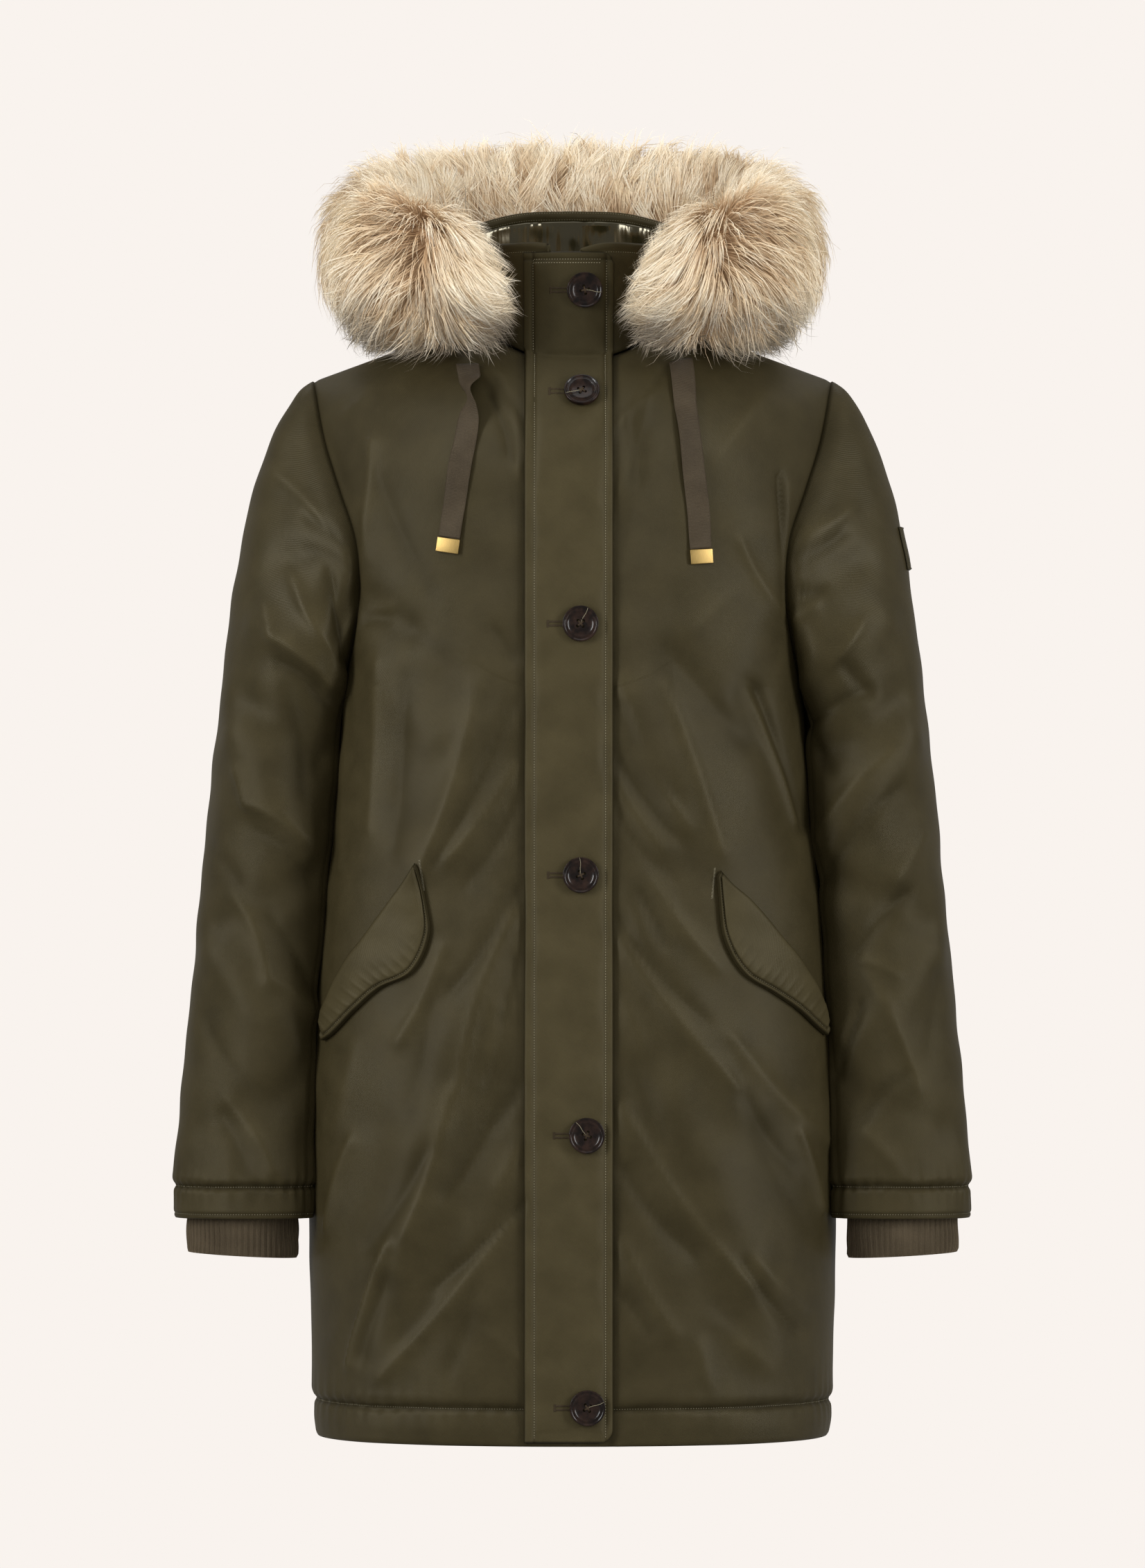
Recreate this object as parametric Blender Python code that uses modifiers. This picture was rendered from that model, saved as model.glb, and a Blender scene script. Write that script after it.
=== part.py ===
"""Fur trimmed parka, worn by nobody: a hollow, open coat on a general figure.

Metres, +Z up, the front faces -Y. The origin lies between the two high
shoulder points, where the wearer's neck and shoulders hold the coat up.
"""

import math
from collections import namedtuple

import bmesh
import bpy
import numpy as np
from mathutils import Matrix, Vector

# Driving dimensions ---------------------------------------------------------
WALL = 0.003                # padded shell cloth
CLOTH_MARGIN = 0.012        # room for folds under what rests on the shoulders
SEAM_GAP = 0.0003           # clearance that sewn edges keep to each other
HEM_Z = -0.882
NECK_HALF = 0.078           # high shoulder point from the centre
TIP_X = 0.206               # shoulder seam's outer end
SHOULDER_REACH = 0.2095      # where the coat's upper surface ends at the side
TIP_Z = -0.047
UNDERARM_Z = -0.305
NECK_DEEP = 0.085            # depth of the neckline's front before its middle
NECK_DROP_FRONT = 0.034
NECK_DROP_BACK = 0.026
NECK_POWER = 2.5            # how square the neckline's curve is
ROUND_FRONT = 0.140         # height over which the front rounds to the shoulder
ROUND_BACK = 0.105
BODY_POWER = 2.4            # superellipse power of the torso's sections
BODY_ROWS = 11              # rows from the hem to the underarm
ARM_STEPS = 10              # rows from the underarm to the shoulder tip
NECK_COLUMNS = 4
SHOULDER_COLUMNS = 8
NECK_SHARE = 0.228          # part of a front's columns that ends in the neckline

BodySection = namedtuple("BodySection", "z half_width front back")
BODY = (
    BodySection(-0.882, 0.2030, 0.150, 0.138),
    BodySection(-0.740, 0.2085, 0.152, 0.137),
    BodySection(-0.600, 0.2080, 0.151, 0.131),
    BodySection(-0.460, 0.2020, 0.147, 0.122),
    BodySection(-0.350, 0.1950, 0.145, 0.117),
    BodySection(-0.305, 0.1920, 0.144, 0.117),
    BodySection(-0.170, 0.1930, 0.139, 0.122),
    BodySection(-0.047, 0.2095, 0.134, 0.120),
    BodySection(0.020, 0.2150, 0.131, 0.118),
)

ArmholePoint = namedtuple("ArmholePoint", "z front_x back_x")
ARMHOLE = (
    ArmholePoint(-0.305, 0.1920, 0.1920),
    ArmholePoint(-0.2987, 0.1895, 0.1900),
    ArmholePoint(-0.280, 0.1820, 0.1840),
    ArmholePoint(-0.252, 0.1735, 0.1780),
    ArmholePoint(-0.216, 0.1680, 0.1745),
    ArmholePoint(-0.176, 0.1710, 0.1775),
    ArmholePoint(-0.136, 0.1840, 0.1870),
    ArmholePoint(-0.100, 0.1955, 0.1970),
    ArmholePoint(-0.047, 0.2060, 0.2060),
)

FOLD_FREE_X = 0.026         # folds die out under the placket
FOLD_SIDE_X = 0.150         # and ridges towards the sleeves

# A fold is a soft ridge (height > 0) or trough (height < 0) along a line.
Fold = namedtuple("Fold", "x0 z0 x1 z1 height spread")
FRONT_FOLDS = (
    Fold(-0.050, -0.317, -0.124, -0.430, 0.0035, 0.020),
    Fold(-0.048, -0.470, -0.135, -0.640, 0.0040, 0.022),
    Fold(-0.110, -0.640, -0.186, -0.851, 0.0050, 0.024),
    Fold(-0.150, -0.640, -0.196, -0.800, -0.0040, 0.018),
    Fold(-0.060, -0.600, -0.120, -0.800, -0.0035, 0.020),
    Fold(-0.172, -0.216, -0.128, -0.246, -0.0045, 0.013),
    Fold(-0.176, -0.250, -0.110, -0.330, 0.0040, 0.018),
    Fold(0.050, -0.300, 0.118, -0.420, 0.0035, 0.020),
    Fold(0.040, -0.460, 0.140, -0.620, 0.0045, 0.022),
    Fold(0.080, -0.620, 0.180, -0.800, 0.0045, 0.024),
    Fold(0.142, -0.300, 0.186, -0.440, -0.0050, 0.013),
    Fold(0.060, -0.640, 0.130, -0.820, -0.0035, 0.020),
    Fold(0.168, -0.200, 0.120, -0.300, 0.0040, 0.018),
)
BACK_FOLDS = (
    Fold(-0.150, -0.250, -0.090, -0.370, 0.0040, 0.020),
    Fold(0.150, -0.250, 0.085, -0.380, 0.0040, 0.020),
    Fold(-0.030, -0.400, -0.130, -0.600, 0.0040, 0.024),
    Fold(0.040, -0.420, 0.140, -0.620, 0.0045, 0.024),
    Fold(-0.070, -0.620, -0.110, -0.840, 0.0045, 0.026),
    Fold(0.060, -0.600, 0.110, -0.830, 0.0040, 0.026),
    Fold(0.000, -0.560, 0.005, -0.800, -0.0035, 0.026),
)

SleeveSection = namedtuple("SleeveSection", "z outer inner middle_y half_depth")
SLEEVE = (
    SleeveSection(-0.345, 0.2845, 0.1760, 0.002, 0.0720),
    SleeveSection(-0.411, 0.2910, 0.1830, -0.003, 0.0670),
    SleeveSection(-0.466, 0.2960, 0.1870, -0.008, 0.0625),
    SleeveSection(-0.576, 0.3060, 0.1950, -0.020, 0.0530),
    SleeveSection(-0.686, 0.3145, 0.1990, -0.031, 0.0440),
    SleeveSection(-0.709, 0.3150, 0.1995, -0.033, 0.0430),
)
SLEEVE_POWER = 2.3
SLEEVE_AROUND = 2 * ARM_STEPS
ARM_RADIUS = 0.062           # turns an angle round the arm into a run of cloth
CAP_RINGS = 8               # rings from the armhole to the first level section
ARM_RINGS = 12              # rings from there to the sleeve's hem
SLEEVE_CLEAR = 0.0035       # air between the sleeve and the body's side
FRONT_SEAM_STEP = 2         # the sleeve's two seams, in steps from the underarm
BACK_SEAM_STEP = 3
CAP_TOP_PULL = Vector((0.052, 0.0, -0.038))
CAP_UNDER_PULL = Vector((0.014, 0.0, -0.016))
CAP_SIDE_SWELL = 0.016
CAP_END_RISE_OUTER = 0.130
CAP_END_RISE_INNER = 0.022
CAP_END_LEAN = -0.014

# Sleeve folds run around the arm: `turn` is the angle from the underarm over
# the front, in degrees, and z the height.
SleeveFold = namedtuple("SleeveFold", "turn0 z0 turn1 z1 height spread")
SLEEVE_FOLDS = (
    SleeveFold(35, -0.250, 110, -0.190, -0.0055, 0.014),
    SleeveFold(40, -0.290, 120, -0.240, 0.0050, 0.016),
    SleeveFold(55, -0.345, 125, -0.300, -0.0050, 0.015),
    SleeveFold(130, -0.330, 60, -0.420, 0.0050, 0.018),
    SleeveFold(55, -0.440, 130, -0.480, -0.0045, 0.016),
    SleeveFold(135, -0.500, 60, -0.570, 0.0045, 0.018),
    SleeveFold(60, -0.610, 125, -0.640, -0.0035, 0.016),
    SleeveFold(230, -0.260, 310, -0.330, 0.0050, 0.018),
    SleeveFold(225, -0.400, 300, -0.440, -0.0050, 0.017),
    SleeveFold(300, -0.480, 220, -0.540, 0.0045, 0.018),
    SleeveFold(225, -0.600, 290, -0.630, -0.0035, 0.016),
)

COLLAR_ROWS = 3
COLLAR_HALF_WIDTH = 0.083
COLLAR_FRONT = 0.0900
COLLAR_BACK = 0.0790
COLLAR_LEFT_END = -0.018
COLLAR_RIGHT_END = 0.006
CollarTop = namedtuple("CollarTop", "angle z")
COLLAR_TOP = (
    CollarTop(0, 0.0500),
    CollarTop(14, 0.0560),
    CollarTop(40, 0.0570),
    CollarTop(90, 0.0580),
    CollarTop(180, 0.0480),
)

# The hood hangs open behind the neck. Each row is one upright section through
# it, at an angle from the centre back: distance from the neck's middle line and
# height at the root, the near side, the base, the far side, the throat, the rim.
HoodSection = namedtuple(
    "HoodSection",
    "angle root_out root_z near_out near_z base_out base_z"
    " far_out far_z throat_out throat_z rim_out rim_z",
)
HOOD = (
    HoodSection(0, 0.0840, 0.004, 0.130, -0.078, 0.172, -0.170,
                0.224, -0.080, 0.207, 0.020, 0.203, 0.103),
    HoodSection(30, 0.0850, 0.004, 0.124, -0.062, 0.166, -0.150,
                0.216, -0.070, 0.194, 0.020, 0.190, 0.083),
    HoodSection(55, 0.0860, 0.005, 0.110, -0.014, 0.146, -0.060,
                0.174, -0.035, 0.162, 0.020, 0.156, 0.078),
    HoodSection(85, 0.0870, 0.008, 0.093, 0.000, 0.104, -0.003,
                0.116, 0.005, 0.119, 0.030, 0.115, 0.074),
    HoodSection(118, 0.0880, 0.006, 0.093, 0.000, 0.101, -0.002,
                0.109, 0.004, 0.111, 0.024, 0.107, 0.056),
)
HOOD_BOW = 0.0024           # how far the far side bows past straight lines
HOOD_SPAN_STEPS = 2         # steps between two of a section's six places
HOOD_FACING_FROM = 4.84     # where the facing begins, on the way from 0 to the rim at 5
HOOD_WALL = 0.0022
HOOD_LINING = 0.0010
HOOD_FACING = 0.0018
HOOD_COLUMNS_SIDE = 7
HOOD_COLUMNS_CENTRE = 4
HOOD_CENTRE_ANGLE = 24
HOOD_CLEAR = 0.007          # air between the hood and the coat's back

# The fur's soft body: sections along the hood's rim, each as far as hair reaches.
FurSection = namedtuple("FurSection", "angle out z half_out half_z")
FUR = (
    FurSection(0, 0.262, 0.098, 0.058, 0.070),
    FurSection(30, 0.250, 0.086, 0.060, 0.068),
    FurSection(60, 0.192, 0.064, 0.052, 0.066),
    FurSection(85, 0.157, 0.049, 0.050, 0.069),
    FurSection(105, 0.146, 0.045, 0.058, 0.075),
    FurSection(125, 0.142, 0.043, 0.058, 0.076),
    FurSection(140, 0.137, 0.037, 0.046, 0.066),
    FurSection(150, 0.133, 0.031, 0.038, 0.054),
)
FUR_AROUND = 12
FUR_CLEAR = 0.0014
FUR_OVER_CLOTH = 0.004
FUR_LUMPS = 0.0035
FUR_OPENING = 0.55          # how far the front ends' inner sides lean outwards, by height
FUR_OPENING_Z = 0.012       # height where that lean begins
FUR_OPENING_FROM = 96.0     # angle where the front ends begin, in degrees
FUR_OPENING_SPAN = 22.0
FUR_CAP_SHARE = 0.72        # size of the end's last ring against its first
FUR_CAP_AHEAD = 0.020
FUR_CROWN_AHEAD = 0.030
FUR_END_STEP = 4            # degrees between a table row and its ring past the hood

PLACKET_LEFT = -0.0375
PLACKET_RIGHT = 0.0318
PLACKET_TOP = 0.0495
PLACKET_BOTTOM = -0.8790
PLACKET_THICK = 0.0036
PLACKET_COLUMNS = 4
PLACKET_ROWS = 22
PLACKET_CROWDING = 1.3      # rows stand closer over the curved chest
PLACKET_CORNER = 0.011
OVERLAY_GAP = 0.0011        # air under a piece that lies on a panel

BUTTON_DIAMETER = 0.0278
BUTTON_EDGE = 0.0034
BUTTON_DISH = 0.0012
BUTTON_STEPS = 16
BUTTON_GAP = 0.0005
ButtonPlace = namedtuple("ButtonPlace", "x z")
BUTTONS = (
    ButtonPlace(0.0089, 0.0192),
    ButtonPlace(0.0073, -0.0640),
    ButtonPlace(0.0062, -0.2430),
    ButtonPlace(0.0064, -0.4382),
    ButtonPlace(0.0110, -0.6402),
    ButtonPlace(0.0115, -0.8513),
)

# A pocket flap: its sewn upper edge and its free lower edge, tip to tip.
FlapRow = namedtuple("FlapRow", "sewn_x sewn_z free_x free_z")
FLAP_LEFT = (
    FlapRow(-0.1215, -0.4290, -0.1195, -0.4330),
    FlapRow(-0.1290, -0.4400, -0.1125, -0.4640),
    FlapRow(-0.1420, -0.4580, -0.1105, -0.4830),
    FlapRow(-0.1600, -0.4830, -0.1240, -0.5140),
    FlapRow(-0.1760, -0.5060, -0.1490, -0.5270),
    FlapRow(-0.1900, -0.5330, -0.1690, -0.5450),
    FlapRow(-0.1960, -0.5540, -0.1880, -0.5650),
    FlapRow(-0.1955, -0.5640, -0.1935, -0.5690),
)
FLAP_RIGHT = (
    FlapRow(0.1150, -0.4345, 0.1120, -0.4390),
    FlapRow(0.1240, -0.4450, 0.1135, -0.4620),
    FlapRow(0.1380, -0.4570, 0.1165, -0.4850),
    FlapRow(0.1600, -0.4830, 0.1330, -0.5160),
    FlapRow(0.1770, -0.5050, 0.1560, -0.5310),
    FlapRow(0.1910, -0.5280, 0.1760, -0.5450),
    FlapRow(0.1980, -0.5480, 0.1910, -0.5600),
    FlapRow(0.1985, -0.5590, 0.1965, -0.5650),
)
FLAP_THICK = 0.0050
FLAP_COLUMNS = 4
FLAP_GAP = 0.0012
FLAP_STEPS = 2            # rows made between two of a flap's table rows

RIBBON_WIDTH = 0.017
RIBBON_THICK = 0.0011
RIBBON_LIFT = 0.0008
RibbonPoint = namedtuple("RibbonPoint", "x z")
RIBBON_LEFT = (
    RibbonPoint(-0.0815, -0.0400),
    RibbonPoint(-0.0790, -0.0620),
    RibbonPoint(-0.0800, -0.0800),
    RibbonPoint(-0.0850, -0.1100),
    RibbonPoint(-0.0910, -0.1450),
    RibbonPoint(-0.0955, -0.1755),
)
RIBBON_RIGHT = (
    RibbonPoint(0.0840, -0.0370),
    RibbonPoint(0.0865, -0.0620),
    RibbonPoint(0.0900, -0.0900),
    RibbonPoint(0.0940, -0.1250),
    RibbonPoint(0.0975, -0.1550),
    RibbonPoint(0.0995, -0.1840),
)
TIP_LENGTH = 0.0115
TIP_WIDTH = 0.0185
TIP_THICK = 0.0026
TIP_GAP = 0.0008

CUFF_TOP_Z = -0.688
CUFF_THROAT_Z = -0.700
CUFF_BOTTOM_Z = -0.7385
CUFF_HALF_WIDTH = 0.0435
CUFF_HALF_DEPTH = 0.0330
CUFF_MIDDLE_X = 0.2608
CUFF_MIDDLE_Y = -0.0330
CUFF_RIBS = 30
CUFF_RIB_HEIGHT = 0.0010
CUFF_WALL = 0.0022
CUFF_AIR = 0.0009           # air between the shell and what it folds over

BADGE_TOP_Z = -0.1640
BADGE_BOTTOM_Z = -0.1980
BADGE_TURN_FROM = 164       # degrees from the underarm, over the front
BADGE_TURN_TO = 196
BADGE_THICK = 0.0022
BADGE_GAP = 0.0006

Finish = namedtuple("Finish", "colour roughness metallic")
OLIVE = Finish((0.047, 0.040, 0.020), 0.55, 0.0)
OLIVE_LINING = Finish((0.060, 0.050, 0.018), 0.22, 0.0)
RIB_KNIT = Finish((0.050, 0.040, 0.027), 0.90, 0.0)
TAUPE = Finish((0.095, 0.073, 0.055), 0.65, 0.0)
BRASS = Finish((0.55, 0.40, 0.15), 0.35, 1.0)
HORN = Finish((0.030, 0.017, 0.014), 0.25, 0.0)
FUR_CREAM = Finish((0.62, 0.49, 0.34), 0.85, 0.0)


# Reading tables -------------------------------------------------------------
def reader(rows, key):
    """Return a function that reads any column of `rows` smoothly at a key."""
    rows = sorted(rows, key=lambda row: getattr(row, key))
    keys = np.array([getattr(row, key) for row in rows], dtype=float)
    slopes = {}

    def read(column, at):
        values = np.array([getattr(row, column) for row in rows], dtype=float)
        if column not in slopes:
            slopes[column] = np.gradient(values, keys)
        at = min(max(at, keys[0]), keys[-1])
        left = min(int(np.searchsorted(keys, at, side="right")) - 1, len(keys) - 2)
        span = keys[left + 1] - keys[left]
        t = (at - keys[left]) / span
        return float(
            values[left] * (2 * t**3 - 3 * t**2 + 1)
            + slopes[column][left] * span * (t**3 - 2 * t**2 + t)
            + values[left + 1] * (3 * t**2 - 2 * t**3)
            + slopes[column][left + 1] * span * (t**3 - t**2)
        )

    return read


body_at = reader(BODY, "z")
armhole_at = reader(ARMHOLE, "z")
sleeve_at = reader(SLEEVE, "z")
collar_at = reader(COLLAR_TOP, "angle")
hood_at = reader(HOOD, "angle")
fur_at = reader(FUR, "angle")


def ease(t):
    """Smooth step from 0 to 1."""
    t = min(max(t, 0.0), 1.0)
    return t * t * (3 - 2 * t)


def fold_relief(x, z, folds):
    """Height of the folds of a panel at (x, z)."""
    total = 0.0
    for fold in folds:
        run_x, run_z = fold.x1 - fold.x0, fold.z1 - fold.z0
        length2 = run_x * run_x + run_z * run_z
        t = ((x - fold.x0) * run_x + (z - fold.z0) * run_z) / length2
        near = min(max(t, 0.0), 1.0)
        off = math.hypot(x - fold.x0 - near * run_x, z - fold.z0 - near * run_z)
        total += fold.height * math.exp(-((off / fold.spread) ** 2))
    past_placket = ease((abs(x) - FOLD_FREE_X) / 0.030)
    if total > 0:
        past_placket *= 1 - ease((abs(x) - FOLD_SIDE_X) / 0.035)
    return total * past_placket


# Torso ----------------------------------------------------------------------
def shoulder_z(x):
    """Height of the shoulder seam above a distance from the centre."""
    out = max(abs(x) - NECK_HALF, 0.0) / (TIP_X - NECK_HALF)
    return TIP_Z * out


def torso_y(x, z, side):
    """Depth of the torso's plain surface at (x, z); side is -1 front, +1 back."""
    depth = body_at("front" if side < 0 else "back", z)
    share = min(abs(x) / body_at("half_width", z), 1.0)
    across = (1 - share**BODY_POWER) ** (1 / BODY_POWER)
    height = ROUND_FRONT if side < 0 else ROUND_BACK
    down = min(max((shoulder_z(x) - z) / height, 0.0), 1.0)
    return side * depth * across * math.sqrt(1 - (1 - down) ** 2)


def front_y(x, z):
    """Depth of the folded front's outer surface."""
    fade = ease((shoulder_z(x) - z) / 0.06)
    return torso_y(x, z, -1) - fold_relief(x, z, FRONT_FOLDS) * fade


def back_y(x, z):
    """Depth of the folded back's outer surface."""
    fade = ease((shoulder_z(x) - z) / 0.06)
    return torso_y(x, z, 1) + fold_relief(x, z, BACK_FOLDS) * fade


def cloth_top_z(x, y):
    """Height of the coat's upper surface over (x, y), or None past its side."""
    side = -1 if y < 0 else 1
    depth = body_at("front" if side < 0 else "back", TIP_Z) + CLOTH_MARGIN
    share = min(abs(x) / SHOULDER_REACH, 1.0)
    across = depth * (1 - share**BODY_POWER) ** (1 / BODY_POWER)
    if abs(y) >= across:
        return None
    down = 1 - math.sqrt(1 - (y / across) ** 2)
    return shoulder_z(x) - down * (ROUND_FRONT if side < 0 else ROUND_BACK)


def body_side_x(y, z):
    """Half width of the torso at (y, z)."""
    depth = body_at("front" if y < 0 else "back", z) + 0.004
    share = min(abs(y) / depth, 1.0)
    return (body_at("half_width", z) + 0.001) * (1 - share**BODY_POWER) ** (1 / BODY_POWER)


def edge_heights():
    """Heights of the panel rows along the side seam and the armhole."""
    low = [HEM_Z + (UNDERARM_Z - HEM_Z) * i / BODY_ROWS for i in range(BODY_ROWS)]
    high = []
    for k in range(ARM_STEPS + 1):
        share = (1 - math.cos(math.pi * k / ARM_STEPS)) / 2
        high.append(UNDERARM_Z + (TIP_Z - UNDERARM_Z) * share)
    return low + high


def armhole_point(z, face, hand):
    """Point of the armhole at height z; face -1 front, +1 back; hand -1 or +1."""
    x = armhole_at("front_x" if face < 0 else "back_x", z)
    if z <= UNDERARM_Z + 1e-9:
        return Vector((hand * x, 0.0, z))
    if z >= TIP_Z - 1e-9:
        return Vector((hand * TIP_X, 0.0, TIP_Z))
    depth = front_y(hand * x, z) if face < 0 else back_y(hand * x, z)
    return Vector((hand * x, depth, z))


def half_panel(face, hand):
    """Grid of one half of the front or back, from the centre to the side."""
    heights = edge_heights()
    neck_drop = NECK_DROP_FRONT if face < 0 else NECK_DROP_BACK
    shares = [NECK_SHARE * i / NECK_COLUMNS for i in range(NECK_COLUMNS)]
    shares += [
        NECK_SHARE + (1 - NECK_SHARE) * i / SHOULDER_COLUMNS
        for i in range(SHOULDER_COLUMNS + 1)
    ]
    depth_at = front_y if face < 0 else back_y
    column = "front_x" if face < 0 else "back_x"
    grid = np.zeros((len(heights), len(shares), 3))
    for i, edge_z in enumerate(heights):
        rise = (edge_z - HEM_Z) / (TIP_Z - HEM_Z)
        if edge_z <= UNDERARM_Z:
            edge_angle = math.pi / 2
        else:
            reach = armhole_at(column, edge_z) / body_at("half_width", edge_z)
            edge_angle = math.asin(min(reach, 1.0) ** (BODY_POWER / 2))
        for j, share in enumerate(shares):
            flat = math.sin(edge_angle * share) ** (2 / BODY_POWER)
            x = flat * body_at("half_width", edge_z)
            if i == len(heights) - 1 and j == NECK_COLUMNS:
                x = NECK_HALF
            if x < NECK_HALF - 1e-9 or j < NECK_COLUMNS:
                top = -neck_drop * (1 - min(x / NECK_HALF, 1.0) ** NECK_POWER)
            else:
                top = shoulder_z(x)
            z = HEM_Z + (top - HEM_Z) * rise
            if j == len(shares) - 1:
                point = armhole_point(edge_z, face, hand)
                if edge_z <= UNDERARM_Z:
                    point = Vector((hand * body_at("half_width", edge_z), 0.0, edge_z))
            elif i == len(heights) - 1 and j >= NECK_COLUMNS:
                point = Vector((hand * x, 0.0, z))
            else:
                point = Vector((hand * x, depth_at(hand * x, z), z))
            grid[i, j] = point
    return grid


# Sleeve ---------------------------------------------------------------------
def sleeve_section(turn, z, hand):
    """Point of the level sleeve section at an angle from its inner side."""
    outer, inner = sleeve_at("outer", z), sleeve_at("inner", z)
    middle, half = (outer + inner) / 2, (outer - inner) / 2
    depth = sleeve_at("half_depth", z)
    cos_t, sin_t = math.cos(turn), math.sin(turn)
    x = middle - half * math.copysign(abs(cos_t) ** (2 / SLEEVE_POWER), cos_t)
    y = sleeve_at("middle_y", z) - depth * math.copysign(
        abs(sin_t) ** (2 / SLEEVE_POWER), sin_t
    )
    return Vector((hand * x, y, z))


def clear_of_body(point, hand, clear=SLEEVE_CLEAR):
    """Keep a sleeve point just outside the torso's side."""
    least = body_side_x(point.y, point.z) + clear
    if hand * point.x < least:
        point = Vector((hand * least, point.y, point.z))
    return point


def sleeve_relief(turn, z):
    """Height of the sleeve's folds at an angle and a height."""
    total = 0.0
    degrees = math.degrees(turn) % 360
    for fold in SLEEVE_FOLDS:
        run_a = math.radians(fold.turn1 - fold.turn0) * ARM_RADIUS
        run_z = fold.z1 - fold.z0
        at_a = math.radians(degrees - fold.turn0) * ARM_RADIUS
        at_z = z - fold.z0
        t = (at_a * run_a + at_z * run_z) / (run_a**2 + run_z**2)
        near = min(max(t, 0.0), 1.0)
        off = math.hypot(at_a - near * run_a, at_z - near * run_z)
        total += fold.height * math.exp(-((off / fold.spread) ** 2))
    return total


def sleeve_grid(hand):
    """Grid of a whole sleeve: rings from the armhole down, closed around."""
    first_z = SLEEVE[0].z
    last_z = SLEEVE[-1].z
    rings = []
    for i in range(CAP_RINGS + ARM_RINGS + 1):
        ring = []
        for k in range(SLEEVE_AROUND):
            turn = 2 * math.pi * k / SLEEVE_AROUND
            over = (1 - math.cos(turn)) / 2
            face = -1 if turn <= math.pi else 1
            if i < CAP_RINGS:
                start = armhole_point(UNDERARM_Z + (TIP_Z - UNDERARM_Z) * over, face, hand)
                end = clear_of_body(sleeve_section(turn, first_z, hand), hand)
                pull = CAP_UNDER_PULL.lerp(CAP_TOP_PULL, over)
                leave = Vector((hand * pull.x, -math.sin(turn) * CAP_SIDE_SWELL, pull.z))
                rise = CAP_END_RISE_INNER + (CAP_END_RISE_OUTER - CAP_END_RISE_INNER) * over
                arrive = Vector((hand * CAP_END_LEAN * over, 0.0, rise))
                t = i / CAP_RINGS
                point = (
                    start * (1 - t) ** 3
                    + (start + leave) * (3 * t * (1 - t) ** 2)
                    + (end + arrive) * (3 * t * t * (1 - t))
                    + end * t**3
                )
            else:
                t = (i - CAP_RINGS) / ARM_RINGS
                point = sleeve_section(turn, first_z + (last_z - first_z) * t, hand)
            if i > 0:
                swell = sleeve_relief(turn, point.z) * ease(i / 4)
                out = Vector((-math.cos(turn) * hand, -math.sin(turn), 0.0))
                point = point + out * swell
                point = clear_of_body(point, hand, SLEEVE_CLEAR * ease(i / 4) + SEAM_GAP)
            ring.append(point)
        rings.append(ring)
    return np.array([[tuple(point) for point in ring] for ring in rings])


# Collar, hood and fur -------------------------------------------------------
def collar_grid(neckline):
    """Grid of the collar, from the neckline's points up to its top edge."""
    neckline = [Vector(point) for point in neckline]
    grid = []
    for row in range(COLLAR_ROWS + 1):
        t = row / COLLAR_ROWS
        line = []
        for j, base in enumerate(neckline):
            angle = math.atan2(abs(base.x) / NECK_HALF, -base.y / NECK_DEEP)
            top_z = collar_at("z", math.degrees(angle))
            depth = COLLAR_FRONT if math.cos(angle) > 0 else COLLAR_BACK
            top = Vector((
                math.copysign(COLLAR_HALF_WIDTH * math.sin(angle), base.x),
                -depth * math.cos(angle),
                top_z,
            ))
            if j in (0, len(neckline) - 1):
                top.x = COLLAR_LEFT_END if j == 0 else COLLAR_RIGHT_END
                top.y = -COLLAR_FRONT * math.sqrt(1 - (top.x / COLLAR_HALF_WIDTH) ** 2)
            bow = math.sin(math.pi * t) * 0.002
            point = base.lerp(top, t)
            point += Vector((base.x, base.y, 0.0)).normalized() * bow
            line.append(tuple(point))
        grid.append(line)
    return np.array(grid)


def hood_point(angle, along):
    """Point of the hood's outer surface: `along` runs 0 at the root to 5 at the rim."""
    names = ("root", "near", "base", "far", "throat", "rim")
    outs = [hood_at(name + "_out", abs(angle)) for name in names]
    heights = [hood_at(name + "_z", abs(angle)) for name in names]
    left = min(int(along), len(names) - 2)
    t = along - left

    def blend(values):
        before = values[max(left - 1, 0)]
        after = values[min(left + 2, len(values) - 1)]
        here, there = values[left], values[left + 1]
        slope0, slope1 = (there - before) / 2, (after - here) / 2
        return (
            here * (2 * t**3 - 3 * t**2 + 1)
            + slope0 * (t**3 - 2 * t**2 + t)
            + there * (3 * t**2 - 2 * t**3)
            + slope1 * (t**3 - t**2)
        )

    out, z = blend(outs), blend(heights)
    turn = math.radians(angle)
    x, y = out * math.sin(turn), out * math.cos(turn)
    floor = cloth_top_z(x, y)
    if floor is not None:
        z = max(z, floor + HOOD_CLEAR)
    return Vector((x, y, z))


def hood_angles():
    """Angles of the hood's columns, from the left front end to the right one."""
    end = HOOD[-1].angle
    side = [
        HOOD_CENTRE_ANGLE + (end - HOOD_CENTRE_ANGLE) * i / HOOD_COLUMNS_SIDE
        for i in range(HOOD_COLUMNS_SIDE + 1)
    ]
    centre = [
        -HOOD_CENTRE_ANGLE + 2 * HOOD_CENTRE_ANGLE * i / HOOD_COLUMNS_CENTRE
        for i in range(1, HOOD_COLUMNS_CENTRE)
    ]
    return [-angle for angle in reversed(side)] + centre + side


def hood_grid():
    """Grid of the hood's outer surface, rows from the root to the rim."""
    steps = 5 * HOOD_SPAN_STEPS
    alongs = [5 * i / steps for i in range(steps + 1)]
    alongs[-2] = HOOD_FACING_FROM
    return np.array([
        [tuple(hood_point(angle, along)) for angle in hood_angles()] for along in alongs
    ])


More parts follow.
